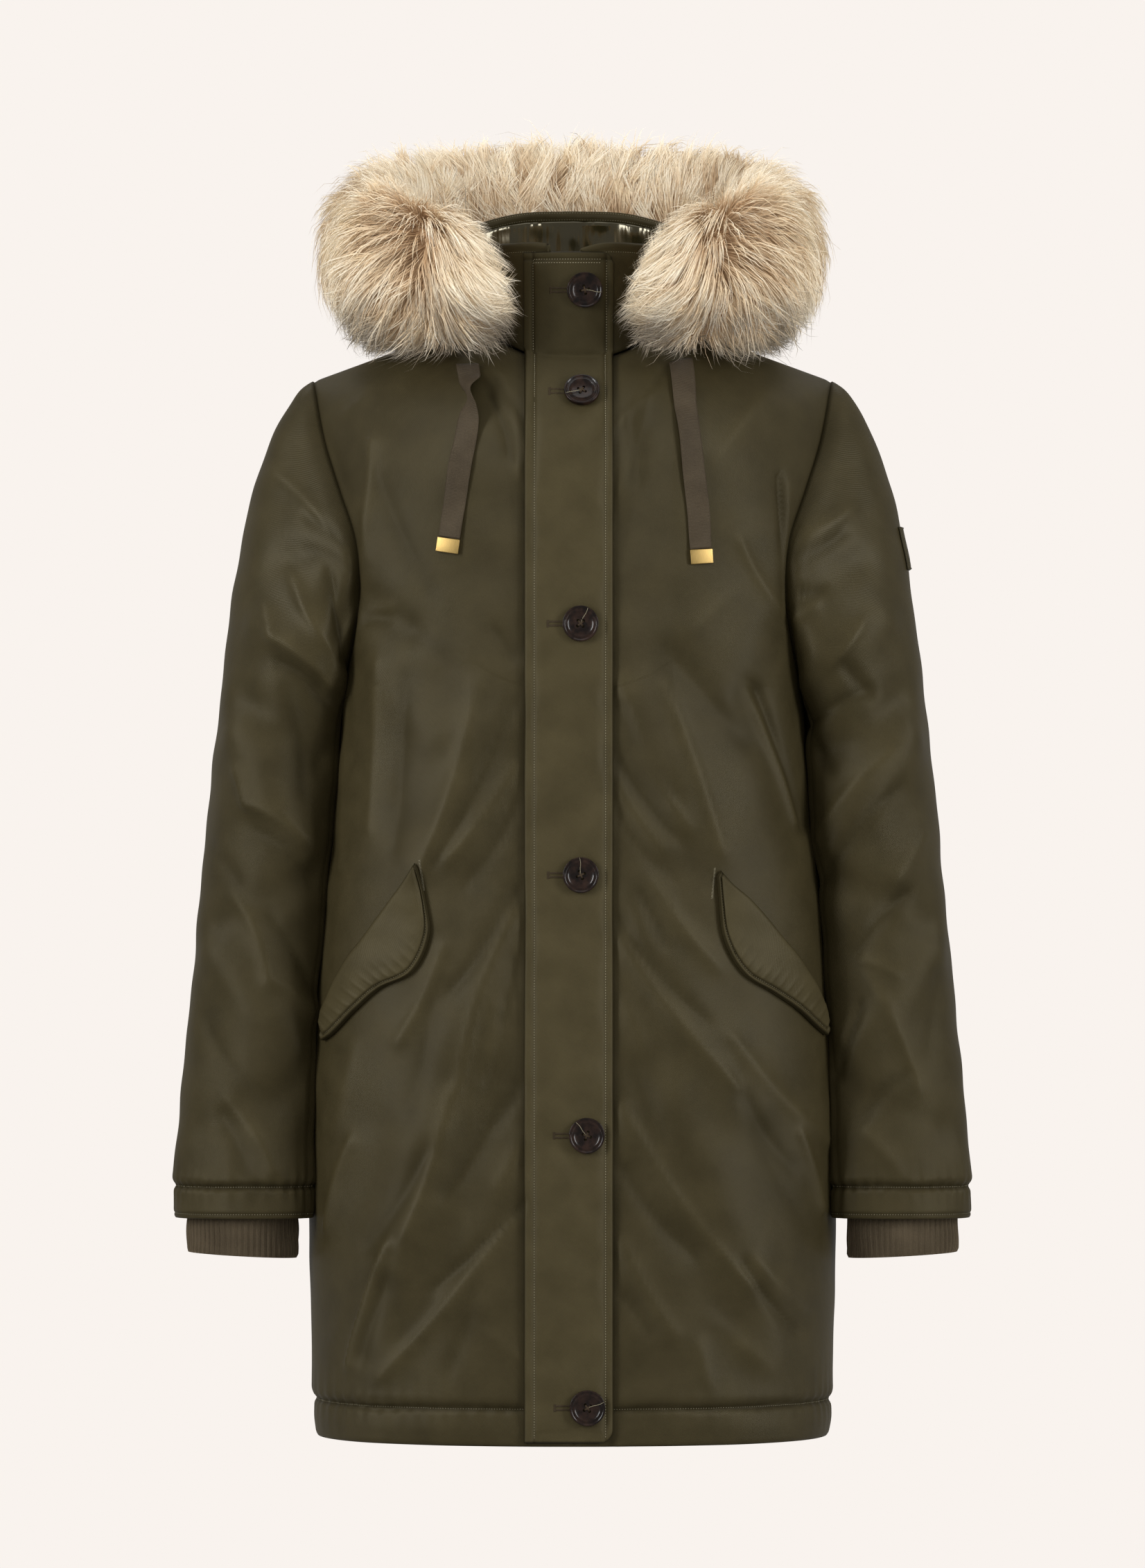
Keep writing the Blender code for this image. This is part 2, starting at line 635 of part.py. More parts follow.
def hood_reach(angle, z):
    """How far out the hood's far side stands at an angle and a height."""
    angle = min(angle, HOOD[-1].angle)
    heights = [hood_at(name + "_z", angle) for name in ("far", "throat", "rim")]
    outs = [hood_at(name + "_out", angle) for name in ("far", "throat", "rim")]
    return float(np.interp(z, heights, outs)) + HOOD_BOW


def fur_ring(angle, hand):
    """One section of the fur's body, pushed clear of the cloth."""
    out, middle_z = fur_at("out", angle), fur_at("z", angle)
    half_out, half_z = fur_at("half_out", angle), fur_at("half_z", angle)
    ring = []
    for k in range(FUR_AROUND):
        turn = 2 * math.pi * k / FUR_AROUND
        lump = FUR_LUMPS * math.sin(3 * turn + angle / 9) * math.sin(angle / 7 + 1 + hand)
        radial = out + (half_out + lump) * math.cos(turn)
        z = middle_z + (half_z + lump) * math.sin(turn)
        radial = max(radial, hood_reach(angle, z) + FUR_CLEAR)
        heading = math.radians(angle)
        x, y = radial * math.sin(heading), radial * math.cos(heading)
        inward = (1 - math.cos(turn)) / 2 * ease((angle - FUR_OPENING_FROM) / FUR_OPENING_SPAN)
        x += FUR_OPENING * max(z - FUR_OPENING_Z, 0.0) * inward
        floor = cloth_top_z(x, y)
        if floor is not None:
            z = max(z, floor + FUR_OVER_CLOTH)
        ring.append((hand * x, y, z))
    return ring


def fur_rings():
    """Rings of the fur's body from the left front end around the back."""
    ends = [section.angle + FUR_END_STEP for section in FUR[-3:-1]] + [FUR[-1].angle]
    angles = [-angle for angle in reversed(ends)] + hood_angles() + ends
    return [fur_ring(abs(angle), -1 if angle < 0 else 1) for angle in angles]


# Building -------------------------------------------------------------------
def clear_scene():
    """Remove every object of the opened file."""
    for item in list(bpy.data.objects):
        bpy.data.objects.remove(item, do_unlink=True)


def make_collection(name):
    """Return a new collection linked to the scene."""
    collection = bpy.data.collections.new(name)
    bpy.context.scene.collection.children.link(collection)
    return collection


def finish_material(name, finish):
    """Return a Principled material of a finish."""
    material = bpy.data.materials.new(name)
    material.use_nodes = True
    shader = material.node_tree.nodes["Principled BSDF"]
    shader.inputs["Base Color"].default_value = (*finish.colour, 1.0)
    shader.inputs["Roughness"].default_value = finish.roughness
    shader.inputs["Metallic"].default_value = finish.metallic
    return material


def add_mesh(collection, name, bm, finish):
    """Turn a bmesh into a named object with its own material."""
    bmesh.ops.recalc_face_normals(bm, faces=bm.faces)
    mesh = bpy.data.meshes.new(name)
    bm.to_mesh(mesh)
    bm.free()
    mesh.shade_smooth()
    mesh.materials.append(finish_material(name, finish))
    item = bpy.data.objects.new(name, mesh)
    collection.objects.link(item)
    return item


def grid_faces(bm, rows, around=False, flip=False):
    """Add a grid's faces, all cut along the same diagonal."""
    columns = len(rows[0])
    for i in range(len(rows) - 1):
        for j in range(columns if around else columns - 1):
            k = (j + 1) % columns
            near, right = rows[i][j], rows[i][k]
            far, below = rows[i + 1][k], rows[i + 1][j]
            for corners in ((near, right, far), (near, far, below)):
                bm.faces.new(corners[::-1] if flip else corners)


def add_wall(collection, name, outer, inner, finish, around=False):
    """Build a closed wall between an outer and an inner grid of like size."""
    bm = bmesh.new()
    out_rows = [[bm.verts.new(point) for point in row] for row in outer]
    in_rows = [[bm.verts.new(point) for point in row] for row in inner]
    grid_faces(bm, out_rows, around)
    grid_faces(bm, in_rows, around, flip=True)
    for end in (0, -1):
        grid_faces(bm, [out_rows[end], in_rows[end]], around)
        if not around:
            grid_faces(bm, [[row[end] for row in out_rows], [row[end] for row in in_rows]])
    return add_mesh(collection, name, bm, finish)


class Normals:
    """Normals shared by all grids that meet at like points."""

    def __init__(self):
        self.sums = {}

    @staticmethod
    def key(point):
        return tuple(int(round(value * 20000)) for value in point)

    def take(self, grid, around=False):
        """Add the face normals of a grid to its points."""
        rows, columns = grid.shape[:2]
        for i in range(rows - 1):
            for j in range(columns if around else columns - 1):
                k = (j + 1) % columns
                corners = [grid[i, j], grid[i, k], grid[i + 1, k], grid[i + 1, j]]
                normal = np.cross(corners[2] - corners[0], corners[3] - corners[1])
                for corner in corners:
                    key = self.key(corner)
                    self.sums[key] = self.sums.get(key, np.zeros(3)) + normal

    def of(self, grid):
        """Return the unit normals at a grid's points."""
        result = np.zeros_like(grid)
        for i in range(grid.shape[0]):
            for j in range(grid.shape[1]):
                total = self.sums[self.key(grid[i, j])]
                result[i, j] = total / max(np.linalg.norm(total), 1e-12)
        return result


def over_shoulder(grid, own, shared):
    """Mix own normals into shared ones towards the shoulder's top."""
    mixed = own.copy()
    for i in range(grid.shape[0]):
        for j in range(grid.shape[1]):
            rise = (grid[i, j, 2] - UNDERARM_Z) / (TIP_Z - UNDERARM_Z)
            share = ease((rise - 0.5) / 0.3)
            total = own[i, j] * (1 - share) + shared[i, j] * share
            mixed[i, j] = total / np.linalg.norm(total)
    return mixed


def pulled_in(grid, edges, amount=SEAM_GAP / 2):
    """Draw the named edges of a grid back towards its middle.

    `edges` holds any of first_row, last_row, first_column, last_column.
    """
    result = grid.copy()
    pairs = {
        "first_row": (np.s_[0, :], np.s_[1, :]),
        "last_row": (np.s_[-1, :], np.s_[-2, :]),
        "first_column": (np.s_[:, 0], np.s_[:, 1]),
        "last_column": (np.s_[:, -1], np.s_[:, -2]),
    }
    for edge in edges:
        here, inside = pairs[edge]
        step = grid[inside] - grid[here]
        length = np.maximum(np.linalg.norm(step, axis=-1, keepdims=True), 1e-9)
        result[here] += step / length * amount
    return result


def add_panel(collection, name, grid, normals, edges, finish, thick=WALL, start=0.0):
    """Build a panel of cloth below a grid, its seamed edges drawn back."""
    outer = pulled_in(grid - normals * start, edges)
    inner = pulled_in(grid - normals * (start + thick), edges)
    return add_wall(collection, name, outer, inner, finish)


# Pieces that lie on the panels ------------------------------------------------
def overlay_y(x, z):
    """Front surface of the coat at (x, z), over the collar above the neckline."""
    share = min(abs(x) / NECK_HALF, 1.0)
    seam_z = -NECK_DROP_FRONT * (1 - share**NECK_POWER)
    if z <= seam_z:
        return front_y(x, z)
    base_y = front_y(x, seam_z)
    angle = math.asin(min(abs(x) / COLLAR_HALF_WIDTH, 1.0))
    top_y = -COLLAR_FRONT * math.cos(angle)
    rise = min((z - seam_z) / (0.055 - seam_z), 1.0)
    return base_y + (top_y - base_y) * rise - math.sin(math.pi * rise) * 0.002


def overlay_normal(x, z):
    """Outward normal of the front surface at (x, z)."""
    step = 0.004
    slope_x = (overlay_y(x + step, z) - overlay_y(x - step, z)) / (2 * step)
    slope_z = (overlay_y(x, z + step) - overlay_y(x, z - step)) / (2 * step)
    return Vector((slope_x, -1.0, slope_z)).normalized()


def lifted(x, z, lift):
    """Point at a height above the front surface."""
    return Vector((x, overlay_y(x, z), z)) + overlay_normal(x, z) * lift


def placket_heights():
    """Heights of the placket's rows, closer at its rounded corners and the chest."""
    corner = [PLACKET_CORNER * share for share in (0.0, 0.14, 0.36, 0.68)]
    top, bottom = PLACKET_TOP - PLACKET_CORNER, PLACKET_BOTTOM + PLACKET_CORNER
    middle = [
        top + (bottom - top) * (i / PLACKET_ROWS) ** PLACKET_CROWDING
        for i in range(PLACKET_ROWS + 1)
    ]
    return (
        [PLACKET_TOP - step for step in corner]
        + middle
        + [PLACKET_BOTTOM + step for step in reversed(corner)]
    )


def add_placket(collection):
    """The storm placket down the centre front, over the collar to the hem."""
    outer, inner = [], []
    for z in placket_heights():
        from_end = min(PLACKET_TOP - z, z - PLACKET_BOTTOM)
        short = max(PLACKET_CORNER - from_end, 0.0) / PLACKET_CORNER
        trim = PLACKET_CORNER * (1 - math.sqrt(1 - short * short))
        right = PLACKET_RIGHT - trim
        row = [
            PLACKET_LEFT + (right - PLACKET_LEFT) * j / PLACKET_COLUMNS
            for j in range(PLACKET_COLUMNS + 1)
        ]
        outer.append([tuple(lifted(x, z, OVERLAY_GAP + PLACKET_THICK)) for x in row])
        inner.append([tuple(lifted(x, z, OVERLAY_GAP)) for x in row])
    add_wall(collection, "placket", outer, inner, OLIVE)


def add_flap(collection, name, rows):
    """A padded pocket flap that lies on a front panel."""
    outer, inner = [], []
    steps = FLAP_STEPS * (len(rows) - 1)
    columns = np.array(rows)
    for i in range(steps + 1):
        at = i / FLAP_STEPS
        row = FlapRow(*(np.interp(at, range(len(rows)), column) for column in columns.T))
        plump = math.sin(math.pi * min(max(i / steps, 0.12), 0.88))
        out_line, in_line = [], []
        for j in range(FLAP_COLUMNS + 1):
            t = j / FLAP_COLUMNS
            x = row.sewn_x + (row.free_x - row.sewn_x) * t
            z = row.sewn_z + (row.free_z - row.sewn_z) * t
            crown = 0.6 + 0.4 * plump * math.sin(math.pi * min(max(t, 0.15), 0.85))
            out_line.append(tuple(lifted(x, z, FLAP_GAP + FLAP_THICK * crown)))
            in_line.append(tuple(lifted(x, z, FLAP_GAP)))
        outer.append(out_line)
        inner.append(in_line)
    add_wall(collection, name, outer, inner, OLIVE)


def add_button(collection, name, place):
    """A turned button with a raised rim, flat on the placket."""
    radius = BUTTON_DIAMETER / 2
    profile = [
        (0.0, BUTTON_EDGE - BUTTON_DISH),
        (radius * 0.66, BUTTON_EDGE - BUTTON_DISH),
        (radius * 0.78, BUTTON_EDGE),
        (radius * 0.94, BUTTON_EDGE - 0.0002),
        (radius, BUTTON_EDGE * 0.62),
        (radius * 0.90, 0.0),
        (0.0, 0.0),
    ]
    mesh = bpy.data.meshes.new(name)
    mesh.from_pydata(
        [(x, 0.0, z) for x, z in profile], [(i, i + 1) for i in range(len(profile) - 1)], []
    )
    mesh.materials.append(finish_material(name, HORN))
    item = bpy.data.objects.new(name, mesh)
    collection.objects.link(item)
    screw = item.modifiers.new("Turn", "SCREW")
    screw.steps = BUTTON_STEPS
    screw.render_steps = BUTTON_STEPS
    screw.use_merge_vertices = True
    screw.merge_threshold = 0.00005
    screw.use_normal_calculate = True
    normal = overlay_normal(place.x, place.z)
    lift = OVERLAY_GAP + PLACKET_THICK + BUTTON_GAP
    item.matrix_world = Matrix.Translation(lifted(place.x, place.z, lift)) @ (
        normal.to_track_quat("Z", "Y").to_matrix().to_4x4()
    )


def ribbon_path(points, steps):
    """Even points along a ribbon's middle line, as (x, z, unit run)."""
    places = np.array([(point.x, point.z) for point in points])
    chord = np.concatenate(([0.0], np.cumsum(np.linalg.norm(np.diff(places, axis=0), axis=1))))
    slopes = np.gradient(places, chord, axis=0)
    result = []
    for i in range(steps + 1):
        at = chord[-1] * i / steps
        left = min(int(np.searchsorted(chord, at, side="right")) - 1, len(chord) - 2)
        span = chord[left + 1] - chord[left]
        t = (at - chord[left]) / span
        place = (
            places[left] * (2 * t**3 - 3 * t**2 + 1)
            + slopes[left] * span * (t**3 - 2 * t**2 + t)
            + places[left + 1] * (3 * t**2 - 2 * t**3)
            + slopes[left + 1] * span * (t**3 - t**2)
        )
        run = (
            places[left] * (6 * t**2 - 6 * t)
            + slopes[left] * span * (3 * t**2 - 4 * t + 1)
            + places[left + 1] * (6 * t - 6 * t**2)
            + slopes[left + 1] * span * (3 * t**2 - 2 * t)
        )
        result.append((place, run / np.linalg.norm(run)))
    return result


def add_ribbon(collection, name, points):
    """A drawstring ribbon that lies on a front panel, with its metal tip."""
    steps = 12
    columns = 2
    path = ribbon_path(points, steps)
    outer, inner = [], []
    for place, run in path:
        across = np.array([-run[1], run[0]])
        out_line, in_line = [], []
        for j in range(columns + 1):
            x, z = place + across * RIBBON_WIDTH * (j / columns - 0.5)
            out_line.append(tuple(lifted(x, z, RIBBON_LIFT + RIBBON_THICK)))
            in_line.append(tuple(lifted(x, z, RIBBON_LIFT)))
        outer.append(out_line)
        inner.append(in_line)
    add_wall(collection, name, outer, inner, TAUPE)
    place, run = path[-1]
    start = place + run * (SEAM_GAP + 0.0002)
    middle = start + run * TIP_LENGTH / 2
    bpy.ops.mesh.primitive_cube_add(size=1)
    tip = bpy.context.object
    tip.name = name.replace("ribbon", "ribbon_tip")
    tip.data.name = tip.name
    for owner in list(tip.users_collection):
        owner.objects.unlink(tip)
    collection.objects.link(tip)
    for vertex in tip.data.vertices:
        vertex.co.x *= TIP_WIDTH
        vertex.co.y *= TIP_THICK
        vertex.co.z *= TIP_LENGTH
    bevel = tip.modifiers.new("Edges", "BEVEL")
    bevel.width = 0.0005
    bevel.segments = 1
    tip.data.materials.append(finish_material(tip.name, BRASS))
    normal = overlay_normal(*middle)
    down = Vector((run[0], 0.0, run[1]))
    down = (down - normal * down.dot(normal)).normalized()
    side = down.cross(normal).normalized()
    frame = Matrix((side, -normal, -down)).transposed().to_4x4()
    lift = TIP_GAP + TIP_THICK / 2
    tip.matrix_world = Matrix.Translation(lifted(middle[0], middle[1], lift)) @ frame


def add_rib_cuff(collection, name, hand, sleeve, normals):
    """A ribbed knit cuff: ribs on the outside over a plain inside."""
    columns = 2 * CUFF_RIBS
    inner_wall = []
    for k in range(columns):
        point, normal = on_sleeve(sleeve, normals, 2 * math.pi * k / columns, CUFF_TOP_Z)
        inner_wall.append(point - normal * (WALL + CUFF_AIR))
    levels = ((CUFF_TOP_Z, 0.0, 0.0), (CUFF_THROAT_Z, 1.0, 1.0), (CUFF_BOTTOM_Z, 1.0, 1.0))
    outer, inner = [], []
    for z, tight, ribbed in levels:
        out_line, in_line = [], []
        for k in range(columns):
            turn = 2 * math.pi * k / columns
            rib = CUFF_RIB_HEIGHT * ribbed * (1 if k % 2 else -1) / 2
            out = Vector((-math.cos(turn) * hand, -math.sin(turn), 0.0))
            tube = Vector((
                hand * CUFF_MIDDLE_X + out.x * CUFF_HALF_WIDTH,
                CUFF_MIDDLE_Y + out.y * CUFF_HALF_DEPTH,
                z,
            ))
            wide = Vector((inner_wall[k].x, inner_wall[k].y, z))
            point = wide.lerp(tube, tight)
            out_line.append(tuple(point + out * rib))
            in_line.append(tuple(point - out * CUFF_WALL))
        outer.append(out_line)
        inner.append(in_line)
    add_wall(collection, name, outer, inner, RIB_KNIT, around=True)


def add_fur(collection):
    """The fur trim's body, a C-shaped roll with rounded ends."""
    rings = fur_rings()
    bm = bmesh.new()
    rows = [[bm.verts.new(point) for point in ring] for ring in rings]
    grid_faces(bm, rows, around=True)
    for ring, beyond in ((rows[0], rows[1]), (rows[-1], rows[-2])):
        middle = sum((vertex.co for vertex in ring), Vector()) / len(ring)
        behind = sum((vertex.co for vertex in beyond), Vector()) / len(beyond)
        ahead = (middle - behind).normalized()
        ahead.z = 0.0
        shrunk = [
            bm.verts.new(middle + (vertex.co - middle) * FUR_CAP_SHARE + ahead * FUR_CAP_AHEAD)
            for vertex in ring
        ]
        grid_faces(bm, [ring, shrunk], around=True)
        crown = bm.verts.new(middle + ahead * FUR_CROWN_AHEAD)
        for k, vertex in enumerate(shrunk):
            bm.faces.new((vertex, shrunk[(k + 1) % len(shrunk)], crown))
    add_mesh(collection, "fur_trim", bm, FUR_CREAM)


def add_badge(collection, sleeve, normals):
    """A small bare patch on the outside of the right sleeve."""
    hand = 1
    rows = 4
    columns = 4
    outer, inner = [], []
    for i in range(rows + 1):
        z = BADGE_TOP_Z + (BADGE_BOTTOM_Z - BADGE_TOP_Z) * i / rows
        out_line, in_line = [], []
        for j in range(columns + 1):
            degrees = BADGE_TURN_FROM + (BADGE_TURN_TO - BADGE_TURN_FROM) * j / columns
            point, normal = on_sleeve(sleeve, normals, math.radians(degrees), z)
            out_line.append(tuple(point + normal * (BADGE_GAP + BADGE_THICK)))
            in_line.append(tuple(point + normal * BADGE_GAP))
        outer.append(out_line)
        inner.append(in_line)
    add_wall(collection, "sleeve_badge", outer, inner, OLIVE)


def on_sleeve(sleeve, normals, turn, z):
    """Point and normal of a sleeve's grid at an angle and a height."""
    at = turn / (2 * math.pi) * SLEEVE_AROUND
    column = int(at) % SLEEVE_AROUND
    beside = (column + 1) % SLEEVE_AROUND
    share = at - int(at)

    def mixed(grid, i):
        return Vector(grid[i, column]).lerp(Vector(grid[i, beside]), share)

    for i in range(len(sleeve) - 1):
        above, below = mixed(sleeve, i), mixed(sleeve, i + 1)
        if above.z >= z >= below.z:
            t = (above.z - z) / (above.z - below.z)
            normal = mixed(normals, i).lerp(mixed(normals, i + 1), t).normalized()
            return above.lerp(below, t), normal
    raise ValueError("height is off the sleeve")


# Assembly -------------------------------------------------------------------
def build():
    """Build every piece of the coat."""
    clear_scene()
    collection = make_collection("fur_trimmed_parka")

    fronts = {hand: half_panel(-1, hand) for hand in (-1, 1)}
    backs = {hand: half_panel(1, hand) for hand in (-1, 1)}
    back = np.concatenate((backs[-1][:, :0:-1], backs[1]), axis=1)
    sleeves = {hand: sleeve_grid(hand) for hand in (-1, 1)}
    neck = NECK_COLUMNS + 1
    middle = backs[1].shape[1] - 1
    neckline = np.concatenate((
        fronts[-1][-1, :neck],
        back[-1, middle - NECK_COLUMNS + 1:middle + NECK_COLUMNS],
        fronts[1][-1, :neck][::-1],
    ))
    collar = collar_grid(neckline)

    torso, arms, shared = Normals(), Normals(), Normals()
    for normals in (torso, shared):
        normals.take(fronts[-1][:, ::-1])
        normals.take(fronts[1])
        normals.take(back[:, ::-1])
    for normals in (arms, shared):
        normals.take(sleeves[-1], around=True)
        normals.take(sleeves[1][:, ::-1], around=True)

    seams = ("last_row", "first_column", "last_column")
    for name, grid in (("front_left", fronts[-1]), ("front_right", fronts[1]), ("back", back)):
        normals = over_shoulder(grid, torso.of(grid), shared.of(grid))
        add_panel(collection, name, grid, normals, seams, OLIVE)

    for hand, label in ((-1, "left"), (1, "right")):
        grid = sleeves[hand]
        normals = arms.of(grid)
        normals[:1] = over_shoulder(grid[:1], normals[:1], shared.of(grid[:1]))
        steps = list(range(SLEEVE_AROUND))
        over = steps[FRONT_SEAM_STEP:SLEEVE_AROUND - BACK_SEAM_STEP + 1]
        under = steps[SLEEVE_AROUND - BACK_SEAM_STEP:] + steps[:FRONT_SEAM_STEP + 1]
        edges = ("first_row", "first_column", "last_column")
        add_panel(collection, f"sleeve_upper_{label}", grid[:, over], normals[:, over],
                  edges, OLIVE)
        add_panel(collection, f"sleeve_under_{label}", grid[:, under], normals[:, under],
                  edges, OLIVE)
        add_rib_cuff(collection, f"rib_cuff_{label}", hand, grid, arms.of(grid))
    add_badge(collection, sleeves[1], arms.of(sleeves[1]))

    stand = Normals()
    stand.take(collar[:, ::-1])
    add_panel(collection, "collar", collar, stand.of(collar),
              ("first_row", "first_column", "last_column"), OLIVE)

    hood = hood_grid()
    hood_normals = Normals()
    hood_normals.take(hood[:, ::-1])
    away = hood_normals.of(hood)
    left_end = HOOD_COLUMNS_SIDE
    right_start = HOOD_COLUMNS_SIDE + HOOD_COLUMNS_CENTRE
    spans = (
        ("hood_side_left", slice(0, left_end + 1)),
        ("hood_centre", slice(left_end, right_start + 1)),
        ("hood_side_right", slice(right_start, None)),
    )
    for name, span in spans:
        add_panel(collection, name, hood[:, span], away[:, span],
                  ("first_column", "last_column"), OLIVE, HOOD_WALL)
    facing_row = 5 * HOOD_SPAN_STEPS - 1
    add_panel(collection, "hood_lining", hood[:facing_row + 1], away[:facing_row + 1],
              ("last_row",), OLIVE_LINING, HOOD_LINING, HOOD_WALL + SEAM_GAP)
    add_panel(collection, "hood_facing", hood[facing_row:], away[facing_row:],
              ("first_row",), OLIVE, HOOD_FACING, HOOD_WALL + SEAM_GAP)
    add_fur(collection)

    add_placket(collection)
    for number, place in enumerate(BUTTONS, start=1):
        add_button(collection, f"button_{number}", place)
    add_flap(collection, "pocket_flap_left", FLAP_LEFT)
    add_flap(collection, "pocket_flap_right", FLAP_RIGHT)
    add_ribbon(collection, "ribbon_left", RIBBON_LEFT)
    add_ribbon(collection, "ribbon_right", RIBBON_RIGHT)


build()
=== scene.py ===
"""Looks of the fur trimmed parka: its cloth, sewing, fur, ribbons, buttons and light.

Metres, +Z up, the front faces -Y. Left and right are as seen from the front.
Each class is one sub-assembly; main() builds them in the order a maker would.
"""

import logging
import math
from dataclasses import dataclass
from enum import Enum

import bmesh
import bpy
import numpy as np
from mathutils import Matrix, Vector

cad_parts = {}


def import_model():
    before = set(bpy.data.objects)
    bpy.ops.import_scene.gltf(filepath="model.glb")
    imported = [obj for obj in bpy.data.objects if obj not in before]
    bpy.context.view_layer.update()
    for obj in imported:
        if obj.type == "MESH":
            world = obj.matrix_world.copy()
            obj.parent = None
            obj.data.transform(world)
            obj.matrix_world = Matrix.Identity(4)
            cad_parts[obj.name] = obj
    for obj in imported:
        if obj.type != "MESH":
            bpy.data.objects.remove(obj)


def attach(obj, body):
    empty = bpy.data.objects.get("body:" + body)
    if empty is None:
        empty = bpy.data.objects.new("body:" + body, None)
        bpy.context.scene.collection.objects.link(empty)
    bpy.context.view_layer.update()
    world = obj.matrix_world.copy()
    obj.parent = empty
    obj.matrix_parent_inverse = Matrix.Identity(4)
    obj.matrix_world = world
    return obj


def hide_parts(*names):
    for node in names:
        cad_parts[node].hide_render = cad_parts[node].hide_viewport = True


LOG = logging.getLogger("parka")
MM = 0.001
Array = np.ndarray
Piece = bpy.types.Object
Socket = bpy.types.NodeSocket

# Driving sizes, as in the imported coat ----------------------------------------
HEM_Z = -0.882
NECK_HALF = 0.078
TIP_X = 0.206
TIP_Z = -0.047
UNDERARM_Z = -0.305
NECK_DROP = {-1: 0.034, 1: 0.026}
NECK_POWER = 2.5
ROUND_OVER = {-1: 0.140, 1: 0.105}
BODY_POWER = 2.4
SLEEVE_POWER = 2.3
SLEEVE_TOP_Z = -0.345
SLEEVE_HEM_Z = -0.709
ARM_RADIUS = 0.062
PLACKET_LEFT = -0.0375
PLACKET_RIGHT = 0.0318
PLACKET_TOP = 0.0495
PLACKET_BOTTOM = -0.8790
PLACKET_LIFT = 0.0011
PLACKET_THICK = 0.0036

# Painted shade along a seam and a row of stitches, and how wide; painted highlight on fold ridges,
# painted shade in their troughs -----
SEAM_SHADE = 0.50
STITCH_SHADE = 0.55
SHADE_WIDE = 2.0 * MM
FOLD_HIGHLIGHT_SHADE = -0.15

BODY_TABLE = (  # z, half width (the waist is drawn in more than the solids'), depths
    (-0.882, 0.2030, 0.150, 0.138), (-0.740, 0.2085, 0.152, 0.137),
    (-0.600, 0.2080, 0.151, 0.131), (-0.460, 0.1985, 0.147, 0.122),
    (-0.350, 0.1865, 0.145, 0.117), (-0.305, 0.1835, 0.144, 0.117),
    (-0.170, 0.1930, 0.139, 0.122), (-0.047, 0.2095, 0.134, 0.120),
    (0.020, 0.2150, 0.131, 0.118),
)
ARMHOLE_TABLE = (  # z, front x, back x
    (-0.305, 0.1835, 0.1835), (-0.2987, 0.1820, 0.1826), (-0.280, 0.1782, 0.1800),
    (-0.252, 0.1725, 0.1765), (-0.216, 0.1680, 0.1745), (-0.176, 0.1710, 0.1775),
    (-0.136, 0.1840, 0.1870), (-0.100, 0.1955, 0.1970), (-0.047, 0.2060, 0.2060),
)
SLEEVE_TABLE = (  # z, outer x, inner x, middle y, half depth
    (-0.345, 0.2845, 0.1760, 0.002, 0.0720), (-0.411, 0.2910, 0.1830, -0.003, 0.0670),
    (-0.466, 0.2960, 0.1870, -0.008, 0.0625), (-0.576, 0.3060, 0.1950, -0.020, 0.0530),
    (-0.686, 0.3145, 0.1990, -0.031, 0.0440), (-0.709, 0.3150, 0.1995, -0.033, 0.0430),
)
COLLAR_TABLE = ((0, 0.0500), (14, 0.0560), (40, 0.0570), (90, 0.0580), (180, 0.0480))
HOOD_TABLE = (  # angle, then out and z of root, near, base, far, throat and rim
    (0, 0.0840, 0.004, 0.130, -0.078, 0.172, -0.170, 0.224, -0.080, 0.207, 0.020, 0.203, 0.100),
    (11, 0.0841, 0.004, 0.129, -0.077, 0.171, -0.167, 0.223, -0.079, 0.205, 0.020, 0.201, 0.0985),
    (30, 0.0850, 0.004, 0.124, -0.062, 0.166, -0.150, 0.216, -0.070, 0.194, 0.020, 0.190, 0.083),
    (55, 0.0860, 0.005, 0.110, -0.014, 0.146, -0.060, 0.174, -0.035, 0.162, 0.020, 0.156, 0.078),
    (85, 0.0870, 0.008, 0.093, 0.000, 0.104, -0.003, 0.116, 0.005, 0.119, 0.030, 0.115, 0.074),
    (118, 0.0880, 0.006, 0.093, 0.000, 0.101, -0.002, 0.109, 0.004, 0.111, 0.024, 0.107, 0.056),
)
FUR_TABLE = (  # angle, out, z, half out, half z
    (0, 0.262, 0.098, 0.058, 0.070), (30, 0.250, 0.086, 0.060, 0.068),
    (60, 0.192, 0.064, 0.052, 0.066), (85, 0.157, 0.049, 0.050, 0.069),
    (105, 0.146, 0.045, 0.058, 0.075), (125, 0.142, 0.043, 0.058, 0.076),
    (140, 0.137, 0.037, 0.046, 0.066), (150, 0.133, 0.031, 0.038, 0.054),
)

# Folds in millimetres: x0, z0, x1, z1, height (a trough is below 0), spread, and
# where they aren't 0 the bow, and the lean as a share of the spread -----------
BROAD_FRONT = (
    (-50, -317, -124, -430, 3.5, 20), (-48, -470, -135, -640, 4, 22),
    (-110, -640, -186, -851, 5, 24), (-150, -640, -196, -800, -4, 18),
    (-60, -600, -120, -800, -3.5, 20), (-172, -216, -128, -246, -4.5, 13),
    (-176, -250, -110, -330, 4, 18), (50, -300, 118, -420, 3.5, 20),
    (40, -460, 140, -620, 4.5, 22), (80, -620, 180, -800, 4.5, 24), (142, -300, 186, -440, -5, 13),
    (60, -640, 130, -820, -3.5, 20), (168, -200, 120, -300, 4, 18),
)
BROAD_BACK = (
    (-150, -250, -90, -370, 4, 20), (150, -250, 85, -380, 4, 20), (-30, -400, -130, -600, 4, 24),
    (40, -420, 140, -620, 4.5, 24), (-70, -620, -110, -840, 4.5, 26), (60, -600, 110, -830, 4, 26),
    (0, -560, 5, -800, -3.5, 26),
)
